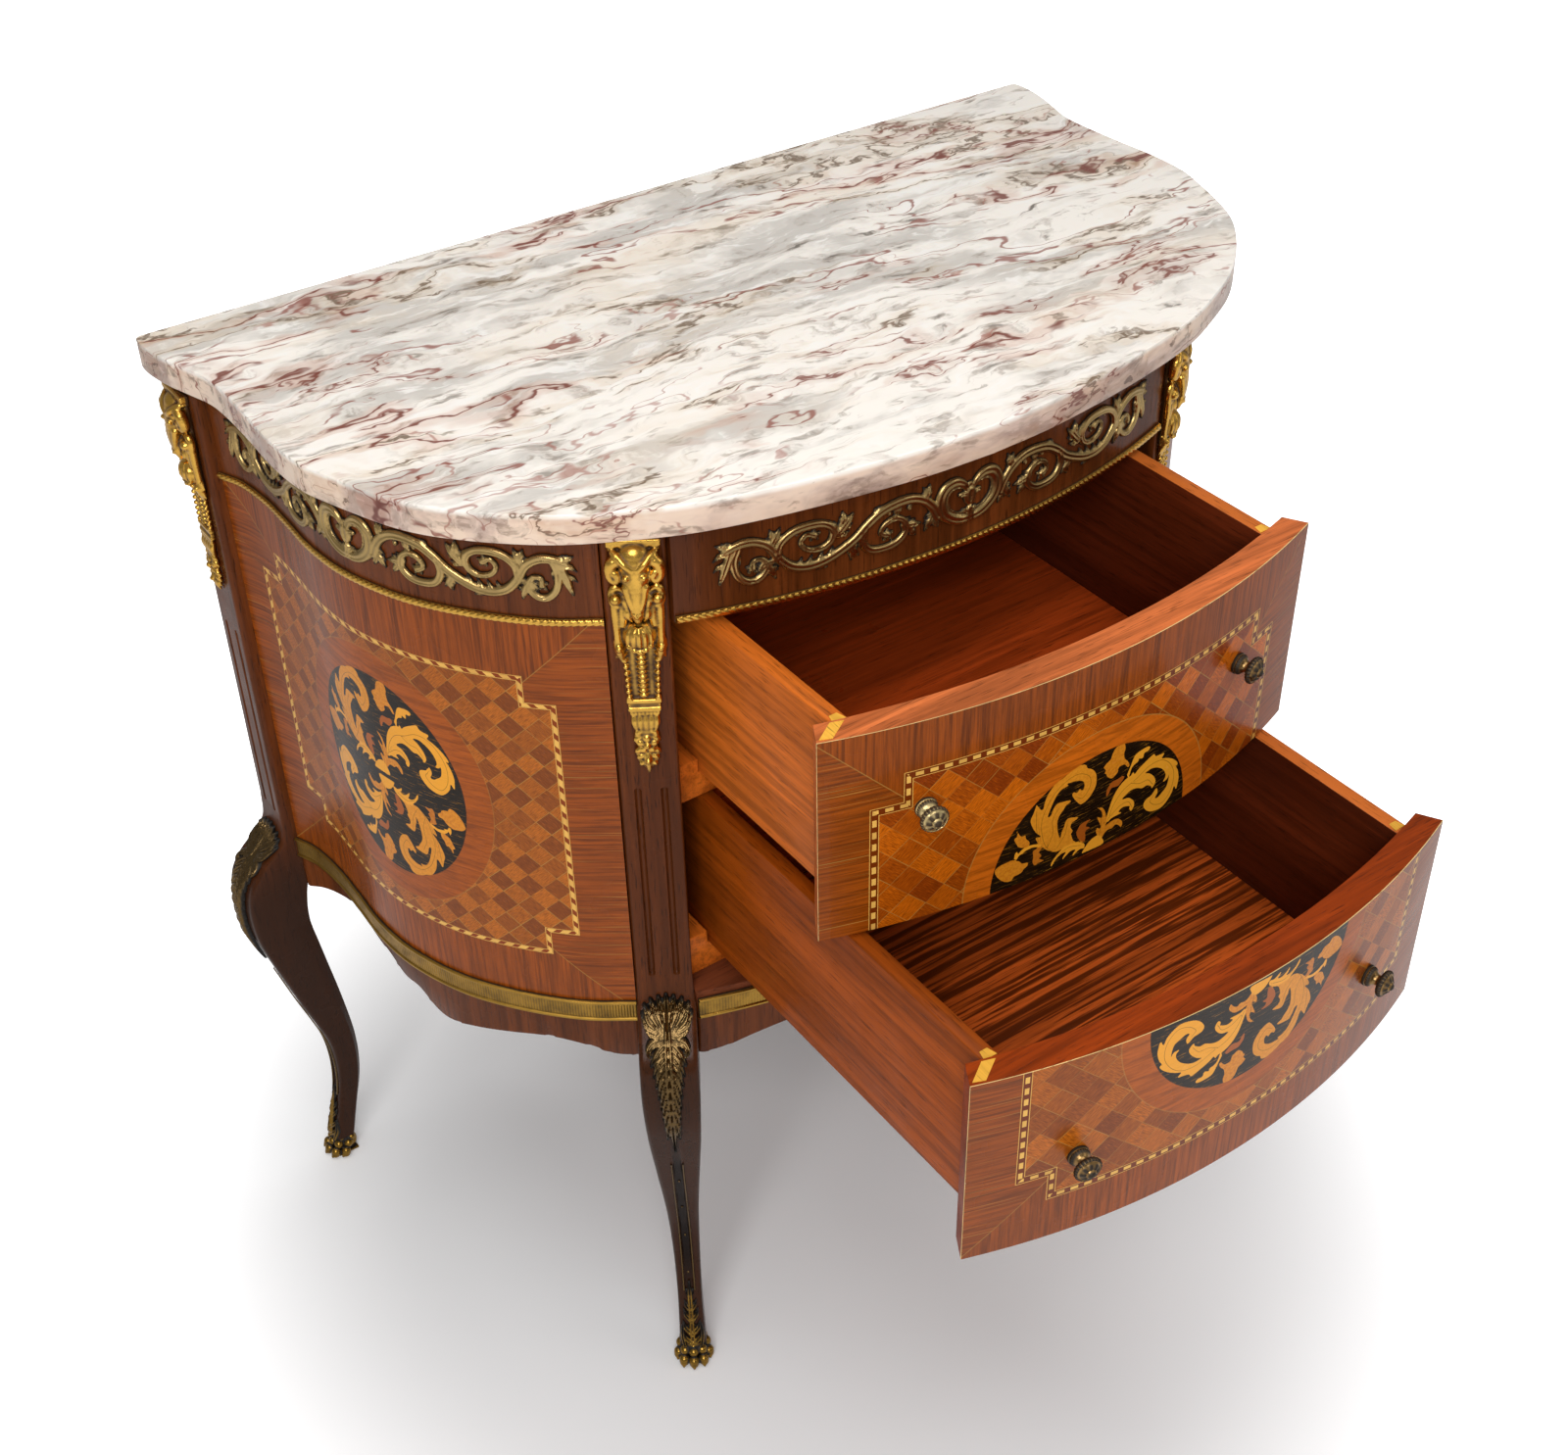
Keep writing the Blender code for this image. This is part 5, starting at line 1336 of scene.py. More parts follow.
def build_panels():
    for side_name, side in sides:
        course = side_course(side)
        last = course.lengths[-1]
        columns = mixed_stations(0.0, last, panel_pattern_along - panel_oval_reach,
                                 panel_pattern_along + panel_oval_reach)
        rows = mixed_stations(panel_low, panel_high, panel_oval_low, panel_oval_high)
        bm = flat_sheet(columns, rows)
        write_arabesque(bm, panel_pattern_along, panel_pattern_height, -1.0, panel_oval_shift,
                        panel_oval_scales)
        raise_sheet(bm, -panel_thickness)
        write_flat_map(bm, panel_pattern_along, panel_pattern_height, -1.0)
        course.bend(bm)
        place_piece(side_name + "_panel_veneer", bm, "case", [coat_of("panel marquetry")],
                    [side_name + "_panel"])


drawer_coats = {"upper": ("drawer side", "drawer floor"), "lower": ("lower side", "striped floor")}


def build_drawers():
    for level in ("upper", "lower"):
        node = level + "_drawer_front"
        body = level + "_drawer"
        low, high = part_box(node)[0].z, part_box(node)[1].z
        course = drawer_course(drawer_open[level])
        columns = mixed_stations(-drawer_half_width, drawer_half_width, drawer_oval_left, drawer_oval_right)
        if level == "upper":
            rows = mixed_stations(low, high, low, drawer_pattern_height + drawer_oval_reach)
        else:
            rows = mixed_stations(low, high, drawer_pattern_height - drawer_oval_reach, high)
        bm = flat_sheet(columns, rows)
        write_arabesque(bm, drawer_centre, drawer_pattern_height, 1.0, drawer_oval_shift, (1.0, 1.0))
        edge_verts = set(raise_sheet(bm, -veneer_thickness))
        skin = [face for face in bm.faces if all(vert in edge_verts for vert in face.verts)]
        # Faces round the veneer's edge take the pale edge colour, which is partly a painted highlight
        for face in bm.faces:
            if any(vert in edge_verts for vert in face.verts):
                face.material_index = 2
        core_verts = raise_sheet(bm, 0.0, skin)
        for vert in core_verts:
            vert.co.x *= drawer_inner_half / drawer_half_width
            vert.co.y = float(drawer_back(vert.co.x))
        inner = set(core_verts)
        for face in bm.faces:
            if any(vert in inner for vert in face.verts):
                face.material_index = 1
        write_flat_map(bm, drawer_centre, drawer_pattern_height)
        course.bend(bm)
        place_piece(level + "_front_veneer", bm, body,
                    [coat_of(level + " marquetry"), coat_of(level + " core"), coat_of("veneer edge")], [node])
        side_coat, floor_coat = drawer_coats[level]
        finished_copy(level + "_drawer_left_side", side_coat, drawer_edge)
        # The right sides take the darker copy with painted shade
        finished_copy(level + "_drawer_right_side", "painted shade side", drawer_edge)
        finished_copy(level + "_drawer_back", "drawer floor", drawer_edge)
        finished_copy(level + "_drawer_bottom", floor_coat, floor_edge)
        build_dovetails(level)


def drawer_front_place(x):
    """Depth of the drawer front's inner face at x."""
    return float(bow_depth(x, drawer_inner_half, frieze_depth - drawer_end_thickness, drawer_inner_bow))


def build_dovetails(level):
    """Thin pale dovetails that lie on the tops of a drawer's front corners."""
    near = (drawer_side_inner, drawer_front_place(drawer_side_outer))
    far = (drawer_side_outer, near[1])
    end = (drawer_half_width, frieze_depth)
    wedges = ((level + "_drawer_left_side", (near, far, far, near), side_dovetail),
              (level + "_drawer_front", (far, far, end, end), front_dovetail))
    for side_name, side in sides:
        bm = bmesh.new()
        for node, corners, offsets in wedges if side < 0 else wedges[:1]:
            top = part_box(node)[1].z
            plan = [(x + over, depth + ahead) for (x, depth), (over, ahead) in zip(corners, offsets)]
            face = bm.faces.new([bm.verts.new((side * x, back_y - depth - drawer_open[level], top))
                                 for x, depth in plan])
            bmesh.ops.translate(bm, verts=extruded(bm, [face]), vec=(0.0, 0.0, dovetail_thickness))
        place_piece(level + "_" + side_name + "_dovetails", bm, level + "_drawer",
                    [coat_of("pale wood")])


def drawer_back(along):
    face = bow_depth(along, drawer_half_width, frieze_depth, front_bow)
    inner = bow_depth(along, drawer_inner_half, frieze_depth - drawer_end_thickness, drawer_inner_bow)
    return inner - face


def build_carcase():
    finished_copy("top_board", "case wood", case_edge)
    finished_copy("bottom_board", "case wood", case_edge)
    finished_copy("back_panel", "back wood", case_edge)
    for level in ("upper", "lower"):
        for side_name, _ in sides:
            finished_copy(level + "_" + side_name + "_runner", "drawer side", runner_edge)


def leg_tables():
    heights = [foot_height + (knee_height - foot_height) * share for share in leg_height_shares]
    tables = [Table(heights, values) for values in
              (leg_face_shares, leg_back_shares, leg_width_shares, leg_channel_shares)]
    return heights, tables


leg_heights, (face_table, back_table, width_table, channel_table) = leg_tables()


def leg_face(z):
    return knee_reach * face_table.at(z)


def leg_ring(post, z):
    """One level of a post and leg as (across, outward) points."""
    half = post_width / 2 * float(width_table.at(z))
    face = float(leg_face(z))
    back = post_depth * float(back_table.at(z))
    channel = channel_depth * max(0.0, float(channel_table.at(z)))
    shoulder = leg_heights[leg_shoulder_level]
    below = leg_heights[leg_shoulder_level + 1]
    in_case = float(np.clip((z - below) / (shoulder - below), 0.0, 1.0))
    flat = np.concatenate([np.linspace(-1.0, -0.64, 5)[:-1], np.linspace(-0.64, -0.36, 9)[:-1],
                           np.linspace(-0.36, 0.36, 13)[:-1], np.linspace(0.36, 0.64, 9)[:-1],
                           np.linspace(0.64, 1.0, 5)])
    across = flat * (half - leg_edge)
    radius = flute_width / 2
    up = min(max(z, flute_low + radius), flute_high - radius)
    outward = np.full(across.shape, face)
    for centre in (-flute_across, flute_across):
        away = np.hypot(across - centre, z - up) / radius
        outward -= flute_depth * np.sqrt(np.clip(1.0 - away ** 2, 0.0, 1.0))
    rim = np.clip((channel_width / 2 - np.abs(across)) / channel_depth + 0.5, 0.0, 1.0)
    outward -= channel * rim
    face_points = list(zip(across, outward))
    turn = [math.pi / 2 * k / 5 for k in range(1, 6)]
    right = [(half - leg_edge + leg_edge * math.sin(t), face - leg_edge + leg_edge * math.cos(t))
             for t in turn]
    side_run = [(half, face - leg_edge + (back - face + leg_edge) * k / 5) for k in range(1, 6)]
    right += side_run
    left = [(-a, o) for a, o in right]
    right = [(a + in_case * post.slant * min(0.0, o), o) for a, o in right]
    ease = leg_edge * (1.0 - in_case)
    right[-1] = (right[-1][0] - ease, right[-1][1])
    left[-1] = (left[-1][0] + ease, left[-1][1])
    middle = [((left[-1][0] * k + right[-1][0] * (4 - k)) / 4, back) for k in (1, 2, 3)]
    return face_points + right + middle + list(reversed(left))


def leg_levels():
    ends = [stations(place - flute_end, place + flute_end, flute_end_step)
            for place in (flute_low, flute_high)]
    upper = stations(flute_high + flute_end, case_top, post_step)
    middle = stations(flute_low + flute_end, flute_high - flute_end, flute_step)
    lower = stations(foot_height, flute_low - flute_end, leg_step)
    return sorted(set(np.round(np.concatenate([*ends, upper, middle, lower]), 5)))


def build_legs():
    levels = leg_levels()
    for name, post, side in posts:
        rings = np.array([leg_ring(post, z) for z in levels])
        count = rings.shape[1]
        bm = flat_sheet(np.arange(count + 1), np.arange(len(levels)))
        flat = coordinates(bm)
        column = np.rint(flat[:, 0]).astype(int) % count
        row = np.rint(flat[:, 2]).astype(int)
        ring = rings[row, column]
        places = np.stack([ring[:, 0], ring[:, 1], np.array(levels)[row]], axis=1)
        inside = ((np.abs(places[:, 0]) < channel_width / 2)
                  & (places[:, 1] > leg_face(places[:, 2]) - 2 * channel_depth))
        # Marks the points in the channel, where the leg wood paints shade
        channel = bm.verts.layers.float.new("channel")
        for vert, sunk, z in zip(bm.verts, inside, places[:, 2]):
            vert[channel] = float(sunk) * float(np.clip(channel_table.at(z), 0.0, 1.0))
        set_coordinates(bm, post.place(places, side))
        bmesh.ops.remove_doubles(bm, verts=bm.verts[:], dist=gap / 20)
        bmesh.ops.holes_fill(bm, edges=[edge for edge in bm.edges if edge.is_boundary], sides=0)
        place_piece(name + "_leg_wood", bm, "case", [coat_of("leg wood")], [name + "_leg"])


def build_lines():
    """The twisted bead under the frieze and the ribbed band under the panels."""
    courses = [("front", front_course())] + [(name, side_course(side)) for name, side in sides]
    height = bead_high - bead_low
    relief = sizes().bead_relief
    for name, course in courses:
        first, last = course.lengths[0], course.lengths[-1]
        bm = flat_sheet(stations(first, last, bead_step), stations(bead_low, bead_high, height / 8), gap)

        def bead(along, up):
            share = (up - bead_low) / height
            dome = np.sqrt(np.clip(1.0 - (2 * share - 1.0) ** 2, 0.0, 1.0)) ** 0.7
            twist = np.sin((along + up * 1.4) * 2 * math.pi / bead_twist)
            return relief * (0.25 + 0.75 * dome * (0.88 + 0.12 * twist))

        raise_sheet(bm, bead)
        write_hollow_heights(bm, relief)
        course.bend(bm)
        place_piece(name + "_ribbon_bead", bm, "case", [coat_of("gilt")], [name + "_bead"])

        tall = band_high - band_low
        inner = band_fillet + band_crease
        rows = np.concatenate([np.linspace(0.0, band_fillet, 5), np.linspace(inner, tall - inner, 5),
                               np.linspace(tall - band_fillet, tall, 5)]) + band_low
        bm = flat_sheet(stations(first, last, band_step), rows, gap)

        def band(along, up):
            edge = np.minimum(up - band_low, band_high - up)
            dome = np.sqrt(np.clip(1.0 - (2 * edge / band_fillet - 1.0) ** 2, 0.0, 1.0))
            ribs = rib_floor + rib_height * np.abs(np.sin(along * math.pi / rib_spacing))
            return np.where(edge <= band_fillet + gap / 10, fillet_floor + fillet_dome * dome, ribs)

        raise_sheet(bm, band)
        write_hollow_heights(bm, band_relief)
        course.bend(bm)
        place_piece(name + "_ribbed_band", bm, "case", [coat_of("band")],
                    [name + "_base_band"])


def frieze_scrolls():
    """The pierced mount: stem, three volutes, leaves and half of the middle cartouche, then mirrored."""
    strokes = [
        stroke((181, 10, 2.0), (172, 13.5, 2.8), (162, 13.6, 3.0), (152, 8, 3.0), (145, -3, 3.0),
               (137, -11, 3.1), (126, -14.5, 3.2), (114, -13.5, 3.2), (103, -9.5, 3.2), (91, -3, 3.2),
               (82, 5, 3.2), (72, 11.5, 3.2), (60, 14.5, 3.3), (48, 14.2, 3.3), (38, 9.5, 3.3),
               (31, 2, 3.3), (27, -6, 3.2)),
        stroke((172, 11, 2.2), (175, 2, 2.4), (173, -9, 2.5), (166, -15.5, 2.4), (158, -14.5, 2.2),
               (153, -8, 2.0), (156, -1, 1.7), (162, -1, 1.5), (163, -6, 2.0)),
        stroke((146, -1, 2.4), (144, 8, 2.6), (136, 14.5, 2.7), (125, 16.5, 2.7), (114, 15, 2.6),
               (107.5, 9, 2.4), (109, 1, 2.2), (117, -3, 2.0), (126, -1, 1.8), (130, 5, 1.6),
               (126, 10, 1.5), (120.5, 8, 2.2)),
        stroke((84, 4, 2.4), (86, -6, 2.6), (81, -14.5, 2.7), (71, -17, 2.7), (60, -15.5, 2.6),
               (53, -9, 2.4), (54, -1, 2.2), (61, 3.5, 2.0), (69, 1, 1.8), (72, -5, 1.6),
               (67, -7.5, 2.2)),
        stroke((3, 7.5, 1.8), (6, 12, 2.4), (13, 15.0, 3.4), (21, 12.5, 3.8), (24.8, 4, 3.9),
               (22.4, -6, 3.8), (15, -12.8, 3.6), (7, -16, 3.2), (0, -16.2, 3.0)),
        stroke((3.4, 6.5, 1.2), (7, 9.6, 1.3), (13, 10.8, 1.3), (18, 8.4, 1.4), (19.8, 3, 1.4),
               (17.6, -4.6, 1.4), (12, -9.6, 1.3), (7, -11, 1.2)),
        stroke((0, 10, 1.6), (0, 6, 1.6), (0, 4, 4.0), (0, 0, 4.6), (0, -3, 3.2), (0, -6, 1.2), steps=3),
        stroke((0, 2.5, 1.8), (5, 3, 2.0), (8, 3.4, 1.6)),
        stroke((0, -9, 2.2), (0, -13, 2.6)),
        stroke((0, -14, 2.0), (3.6, -10.5, 1.6), (5.4, -8.8, 0.8)),
    ]
    for u, v, reach in ((163, -6, 3.6), (120.5, 8, 3.8), (67, -7.5, 4.0)):
        for k in range(5):
            turn = math.radians(72 * k + 18)
            strokes.append(stroke((u, v, 1.1), (u + math.cos(turn) * reach, v + math.sin(turn) * reach, 1.0)))
    for u, v, heading, length, width in (
            (177, 9, -72, 24, 2.6), (177, 12, 20, 10, 1.8), (153, -4, -112, 15, 2.2), (154, -2, -60, 11, 1.8),
            (150, 8, 118, 13, 2.2), (148, 12, 70, 8, 1.8), (104, 4, 132, 17, 2.6), (99, 10, 84, 10, 2.2),
            (105, 8, 60, 9, 1.8), (98, -5, -130, 15, 2.4), (92, -11, -74, 8, 1.8), (88, -1, -30, 9, 1.8),
            (55, -4, -168, 15, 2.2), (50, -8, -128, 9, 1.8), (38, 9, 112, 12, 2.2), (34, 13, 52, 8, 1.8),
            (31, -3, -62, 13, 2.0), (30, -8, -120, 8, 1.6), (120, -14, -150, 10, 1.8), (60, 12, -95, 8, 1.6),
            (76, 12, 150, 8, 1.6), (135, 13, 145, 8, 1.6)):
        strokes += spray(u, v, heading, length, width)
    for u, v in ((131, -9.5), (124, -9.5), (116.5, -9), (109, -7), (66, 10.5), (58, 10.5), (50, 9.5)):
        strokes.append(stroke((u, v - 1.5, 1.5), (u - 2.0, v + 2.4, 0.6)))
    return mirrored(strokes)


def spray(u, v, heading, length, width):
    """A five-lobed leaf that grows from a point."""
    turn = math.radians(heading)
    ahead = np.array((math.cos(turn), math.sin(turn))) * length
    points = [(u + ahead[0] * share, v + ahead[1] * share, width * size)
              for share, size in ((0.0, 0.7), (0.5, 1.0), (1.0, 0.3))]
    return leaf(points, [(0.10, 62, length * 0.55, width * 0.75), (0.10, -62, length * 0.55, width * 0.75),
                         (0.45, 52, length * 0.45, width * 0.65), (0.45, -52, length * 0.45, width * 0.65)],
                steps=3)


def build_scroll_mounts():
    centre = (bead_high + case_top) / 2 - scroll_drop
    relief = sizes().scroll_relief
    plans = [("front", front_course(), 0.0, 1.0)]
    for side_name, side in sides:
        course = side_course(side)
        plans.append((side_name, course, course.lengths[-1] / 2, side_scroll_share))
    for name, course, middle, scale in plans:
        strokes = [[(u * scale, v, w * scroll_swell) for u, v, w in drawn] for drawn in frieze_scrolls()]
        reach = scroll_reach[0] * scale
        bm = relief_sheet(strokes, (-reach, -scroll_reach[1]), (reach, scroll_reach[1]), scroll_step,
                          relief * 0.70, relief * 0.34, relief * 0.22)
        bmesh.ops.translate(bm, verts=bm.verts[:], vec=(middle, 0.0, centre))
        course.bend(bm)
        place_piece(name + "_scroll_casting", bm, "case", [coat_of("aged")],
                    [name + "_scroll_mount"], math.radians(60.0))


# Castings that stand out from the posts are poured from round shapes and then remeshed


def pour(bm, *points, flatten=(1.0, 1.0, 1.0)):
    """Adds balls along a line of (across, outward, height, radius), given in millimetres."""
    line = smooth(points, 4) if len(points) > 1 else [np.array(points[0], dtype=float)]
    last = None
    for across, outward, height, radius in line:
        spot = np.array((across, outward, height))
        if last is not None and np.linalg.norm(spot - last) < radius * 0.3:
            continue
        last = spot
        size = Matrix.Diagonal((*(radius / 1000 * np.array(flatten)), 1.0))
        bmesh.ops.create_icosphere(bm, subdivisions=2 if radius < 3.5 else 4, radius=1.0,
                                   matrix=Matrix.Translation(Vector(spot) / 1000) @ size)


def pour_block(bm, low, high):
    """Adds a squared block between two corners, in millimetres."""
    low = np.array(low) / 1000
    high = np.array(high) / 1000
    size = Matrix.Diagonal((*(high - low), 1.0))
    bmesh.ops.create_cube(bm, size=1.0, matrix=Matrix.Translation(Vector((low + high) / 2)) @ size)


def cast(bm, voxel, rounds):
    """Melts the poured shapes into one surface and stores how deep each point lies."""
    mesh = bpy.data.meshes.new("pattern")
    bm.to_mesh(mesh)
    bm.free()
    thing = bpy.data.objects.new("pattern", mesh)
    bpy.context.scene.collection.objects.link(thing)
    melt = thing.modifiers.new("melt", "REMESH")
    melt.mode = "VOXEL"
    melt.voxel_size = voxel
    melt.adaptivity = 0.0
    scene_state = bpy.context.evaluated_depsgraph_get()
    made = bpy.data.meshes.new_from_object(thing.evaluated_get(scene_state))
    bpy.data.objects.remove(thing)
    bm = bmesh.new()
    bm.from_mesh(made)
    bpy.data.meshes.remove(made)
    bpy.data.meshes.remove(mesh)
    for _ in range(rounds):
        bmesh.ops.smooth_vert(bm, verts=bm.verts[:], factor=0.5, use_axis_x=True, use_axis_y=True,
                              use_axis_z=True)
    write_hollows(bm, 14, hollow_depth)
    return bm


def write_hollows(bm, rounds, depth):
    """Stores how far each point lies below the smoothed surface: 1 in hollows, 0 on crests."""
    bm.verts.ensure_lookup_table()
    bm.verts.index_update()
    start = coordinates(bm)
    pairs = np.array([(edge.verts[0].index, edge.verts[1].index) for edge in bm.edges])
    count = np.bincount(pairs.ravel(), minlength=len(start)).reshape(-1, 1)
    soft = start.copy()
    for _ in range(rounds):
        total = np.zeros_like(soft)
        np.add.at(total, pairs[:, 0], soft[pairs[:, 1]])
        np.add.at(total, pairs[:, 1], soft[pairs[:, 0]])
        soft = soft * 0.4 + total / np.maximum(count, 1) * 0.6
    bm.normal_update()
    normals = np.array([vert.normal for vert in bm.verts])
    raised = np.sum((start - soft) * normals, axis=1)
    values = np.clip(0.5 - raised / depth / 2, 0.0, 1.0)
    hollow = bm.verts.layers.float.new("hollow")
    for vert, value in zip(bm.verts, values):
        vert[hollow] = float(value)


def both_sides(add):
    for way in (1, -1):
        add(way)


def ram_pattern():
    bm = bmesh.new()
    pour_block(bm, (-17.5, 0.3, 806.5), (17.5, 7.0, 812.0))
    pour_block(bm, (-16.6, 0.3, 803.0), (16.6, 5.6, 807.5))
    pour_block(bm, (-14.0, 0.3, 728.0), (14.0, 2.6, 804.5))
    # Head, muzzle and snout
    pour(bm, (0, 4.6, 799, 10.4), (0, 6.6, 792, 9.8), (0, 8.2, 785, 8.6), (0, 9.4, 778, 7.2),
         (0, 10.4, 770, 5.8), (0, 10.8, 763, 4.6), (0, 10.4, 757, 3.7), (0, 9.6, 752.6, 2.6),
         flatten=(1.05, 0.8, 1.0))
    pour(bm, (0, 13.4, 757.6, 1.9))
    # Rounded shield under the head
    pour(bm, (0, 2.6, 738.0, 11.6), flatten=(1.02, 0.8, 1.0))
    for a, z, radius in ((-7.2, 731.6, 2.0), (-3.8, 728.6, 2.2), (0, 727.4, 2.5), (3.8, 728.6, 2.2),
                         (7.2, 731.6, 2.0)):
        pour(bm, (a, 9.0, z, radius))
    for a, front in ((-7.6, 8.6), (-3.8, 10.6), (0, 11.4), (3.8, 10.6), (7.6, 8.6)):
        pour(bm, (a * 0.5, front - 1.6, 746.0, 1.3), (a * 0.9, front - 0.2, 742.0, 1.8),
             (a, front, 737.0, 2.0), (a, front - 1.0, 732.6, 1.6))

    def half(way):
        # Brow, eye, nostril, cheek and nail
        pour(bm, (way * 2.4, 13.0, 793.0, 2.2), (way * 6.4, 12.2, 797.0, 2.6), (way * 10.4, 9.0, 801.4, 2.6),
             (way * 13.6, 6.8, 803.6, 2.2))
        pour(bm, (way * 12.0, 8.6, 800.6, 3.0))
        pour(bm, (way * 5.8, 13.8, 787.6, 2.3))
        pour(bm, (way * 2.0, 13.6, 759.8, 1.3))
        pour(bm, (way * 6.0, 11.2, 779, 3.2), (way * 4.6, 12.4, 771, 2.6), (way * 3.0, 12.8, 764, 1.8))
        # Full horn curled beside the cheek
        horn = smooth([(9.6, 7.0, 798.0), (14.0, 8.0, 796.6), (16.0, 7.4, 791.4), (15.6, 6.8, 785.6),
                       (12.8, 7.4, 782.8), (11.2, 8.8, 786.4), (12.8, 9.6, 789.2)], 5)
        for i, (a, o, z) in enumerate(horn):
            share = i / (len(horn) - 1)
            pour(bm, (way * a, o, z, (4.4 - 1.8 * share) * (1.0 + 0.07 * math.cos(i * math.pi))))
        # Volute with its ball, and the arm with leaves at its foot
        pour(bm, (way * 10.6, 5.0, 775.0, 2.6), (way * 14.0, 5.4, 776.0, 3.0), (way * 16.0, 5.0, 771.0, 3.2),
             (way * 15.8, 5.0, 765.0, 3.0), (way * 13.4, 6.0, 762.4, 2.6))
        pour(bm, (way * 13.6, 8.4, 768.8, 4.0))
        pour(bm, (way * 14.8, 4.8, 762, 3.2), (way * 14.6, 4.8, 752, 3.2), (way * 14.4, 4.4, 742, 2.8),
             (way * 14.2, 4.2, 734, 2.8), (way * 13.8, 4.6, 727, 3.6), (way * 12.8, 3.6, 720.0, 2.2),
             (way * 12.4, 2.6, 715.0, 1.0))
        pour(bm, (way * 13.8, 7.4, 728.6, 2.5))
        pour(bm, (way * 15.6, 3.4, 733, 2.2), (way * 17.2, 2.8, 727.6, 1.1))
        pour(bm, (way * 15.2, 3.6, 724, 2.0), (way * 16.2, 2.6, 718.6, 0.9))
        # Beard and drapery between the head and the arm
        pour(bm, (way * 8.6, 4.4, 772, 3.4), (way * 9.2, 5.0, 764, 3.4), (way * 9.6, 5.2, 755, 3.4),
             (way * 10.4, 5.0, 747, 2.8))
        for k, z in enumerate((767.0, 758.0)):
            pour(bm, (way * (7.6 - k * 1.2), 7.4, z + 3.0, 2.2), (way * (7.4 - k), 8.2, z - 2.0, 2.3),
                 (way * (5.4 - k), 7.4, z - 7.0, 1.2))
        # Pilaster's side strips
        pour(bm, (way * 11.2, 2.8, 727, 2.1), (way * 10.4, 2.8, 706, 2.1), (way * 9.8, 2.8, 686, 2.1))

    both_sides(half)
    for z in np.linspace(728, 684, 50):
        wide = 10.6 + 1.6 * (z - 684) / 44
        pour_block(bm, (-wide, 0.3, z - 0.6), (wide, 1.6, z + 0.6))
    for z in np.arange(722.0, 686.0, -3.8):
        pour(bm, (0, 2.8, z, 2.7), flatten=(1.25, 0.8, 0.62))
    pour_block(bm, (-12.0, 0.3, 681.6), (12.0, 4.4, 684.6))
    pour_block(bm, (-10.8, 0.3, 677.0), (10.8, 3.6, 682.4))
    pour_block(bm, (-11.4, 0.3, 675.0), (11.4, 4.6, 677.6))
    for a in np.linspace(-9.0, 9.0, 8):
        pour(bm, (a, 3.2, 672.8, 1.6))
    return bm


def drop_pattern(bm):
    """The hanging leaves and flowers below the ram's-head panel."""
    for a in (-7.4, -3.8, 0, 3.8, 7.4):
        pour(bm, (a, 2.4, 671.0, 2.3), (a * 1.02, 3.6, 666.0, 2.6), (a * 0.9, 3.0, 660.5, 2.0),
             (a * 0.7, 1.8, 656.0, 1.0))
    pour(bm, (0, 1.8, 664, 6.0), (0, 1.8, 650, 6.2), (0, 1.6, 636, 5.2), (0, 1.4, 627, 3.4),
         flatten=(1.15, 0.45, 1.0))
    pour(bm, (0, 6.2, 647.0, 2.6))
    for k in range(5):
        turn = math.radians(90 + 72 * k)
        pour(bm, (math.cos(turn) * 5.0, 4.0, 647.0 + math.sin(turn) * 5.0, 3.1), flatten=(1.0, 0.8, 1.0))
    for way in (1, -1):
        for z, reach in ((656.0, 7.6), (651.0, 8.8), (641.0, 8.4), (635.5, 7.2), (630.0, 5.6)):
            pour(bm, (way * 2.0, 2.4, z + 3.0, 2.0), (way * reach * 0.75, 3.0, z + 0.6, 2.4),
                 (way * reach, 1.8, z - 2.6, 1.2))
    pour(bm, (0, 3.2, 638.4, 2.6), (0, 3.8, 634.0, 3.2), (0, 3.0, 628.5, 2.6), (0, 2.2, 624.0, 1.8),
         (0, 1.2, 620.2, 0.9))
    pour(bm, (0, 6.4, 633.4, 2.0))


def build_post_mounts():
    bm = ram_pattern()
    drop_pattern(bm)
    pattern = cast(bm, ram_voxel, 2)
    bmesh.ops.translate(pattern, verts=pattern.verts[:], vec=(0.0, 0.0, ram_lift))
    flat = coordinates(pattern)
    hollow = pattern.verts.layers.float["hollow"]
    for vert in pattern.verts:
        if vert.co.z > ram_ground_low:
            sunk = min(0.85, max(0.0, (ram_ground_top - vert.co.y) / ram_ground_fade))
            vert[hollow] = max(vert[hollow], sunk)
    flat[:, 1] = np.maximum(flat[:, 1], gap)
    for name, post, side in posts:
        bm = pattern.copy()
        drawn = flat.copy()
        if name.startswith("rear"):
            top = drawn[:, 2].max()
            drawn[:, 2] = top - (top - drawn[:, 2]) * rear_mount_share
        set_coordinates(bm, post.place(drawn, side))
        place_piece(name + "_ram_casting", bm, "case", [coat_of("gilt")],
                    [name + "_post_mount"], math.radians(80.0))
    pattern.free()


def over_leg(bm, post, side):
    """Lays flat relief of (across, outward, height) over the face of a leg."""
    flat = coordinates(bm)
    flat[:, 1] += leg_face(flat[:, 2])
    half = post_width / 2 * width_table.at(flat[:, 2])
    over = np.maximum(0.0, np.abs(flat[:, 0]) - (half - leg_edge))
    flat[:, 1] -= np.minimum(over, leg_edge) ** 2 / leg_edge
    set_coordinates(bm, post.place(flat, side))


# The palmette's leaves, each by its foot, middle and tip as across and height in millimetres
palmette_leaves = (((1.2, 388.5), (4.2, 399), (5.8, 409.5)), ((2.2, 388), (8.8, 398), (11.8, 407.5)),
                   ((2.8, 387.5), (12.6, 396), (16.6, 403.5)), ((3.0, 387), (14.0, 392.5), (18.6, 398)),
                   ((3.0, 386.5), (12.0, 389), (16.2, 392)))


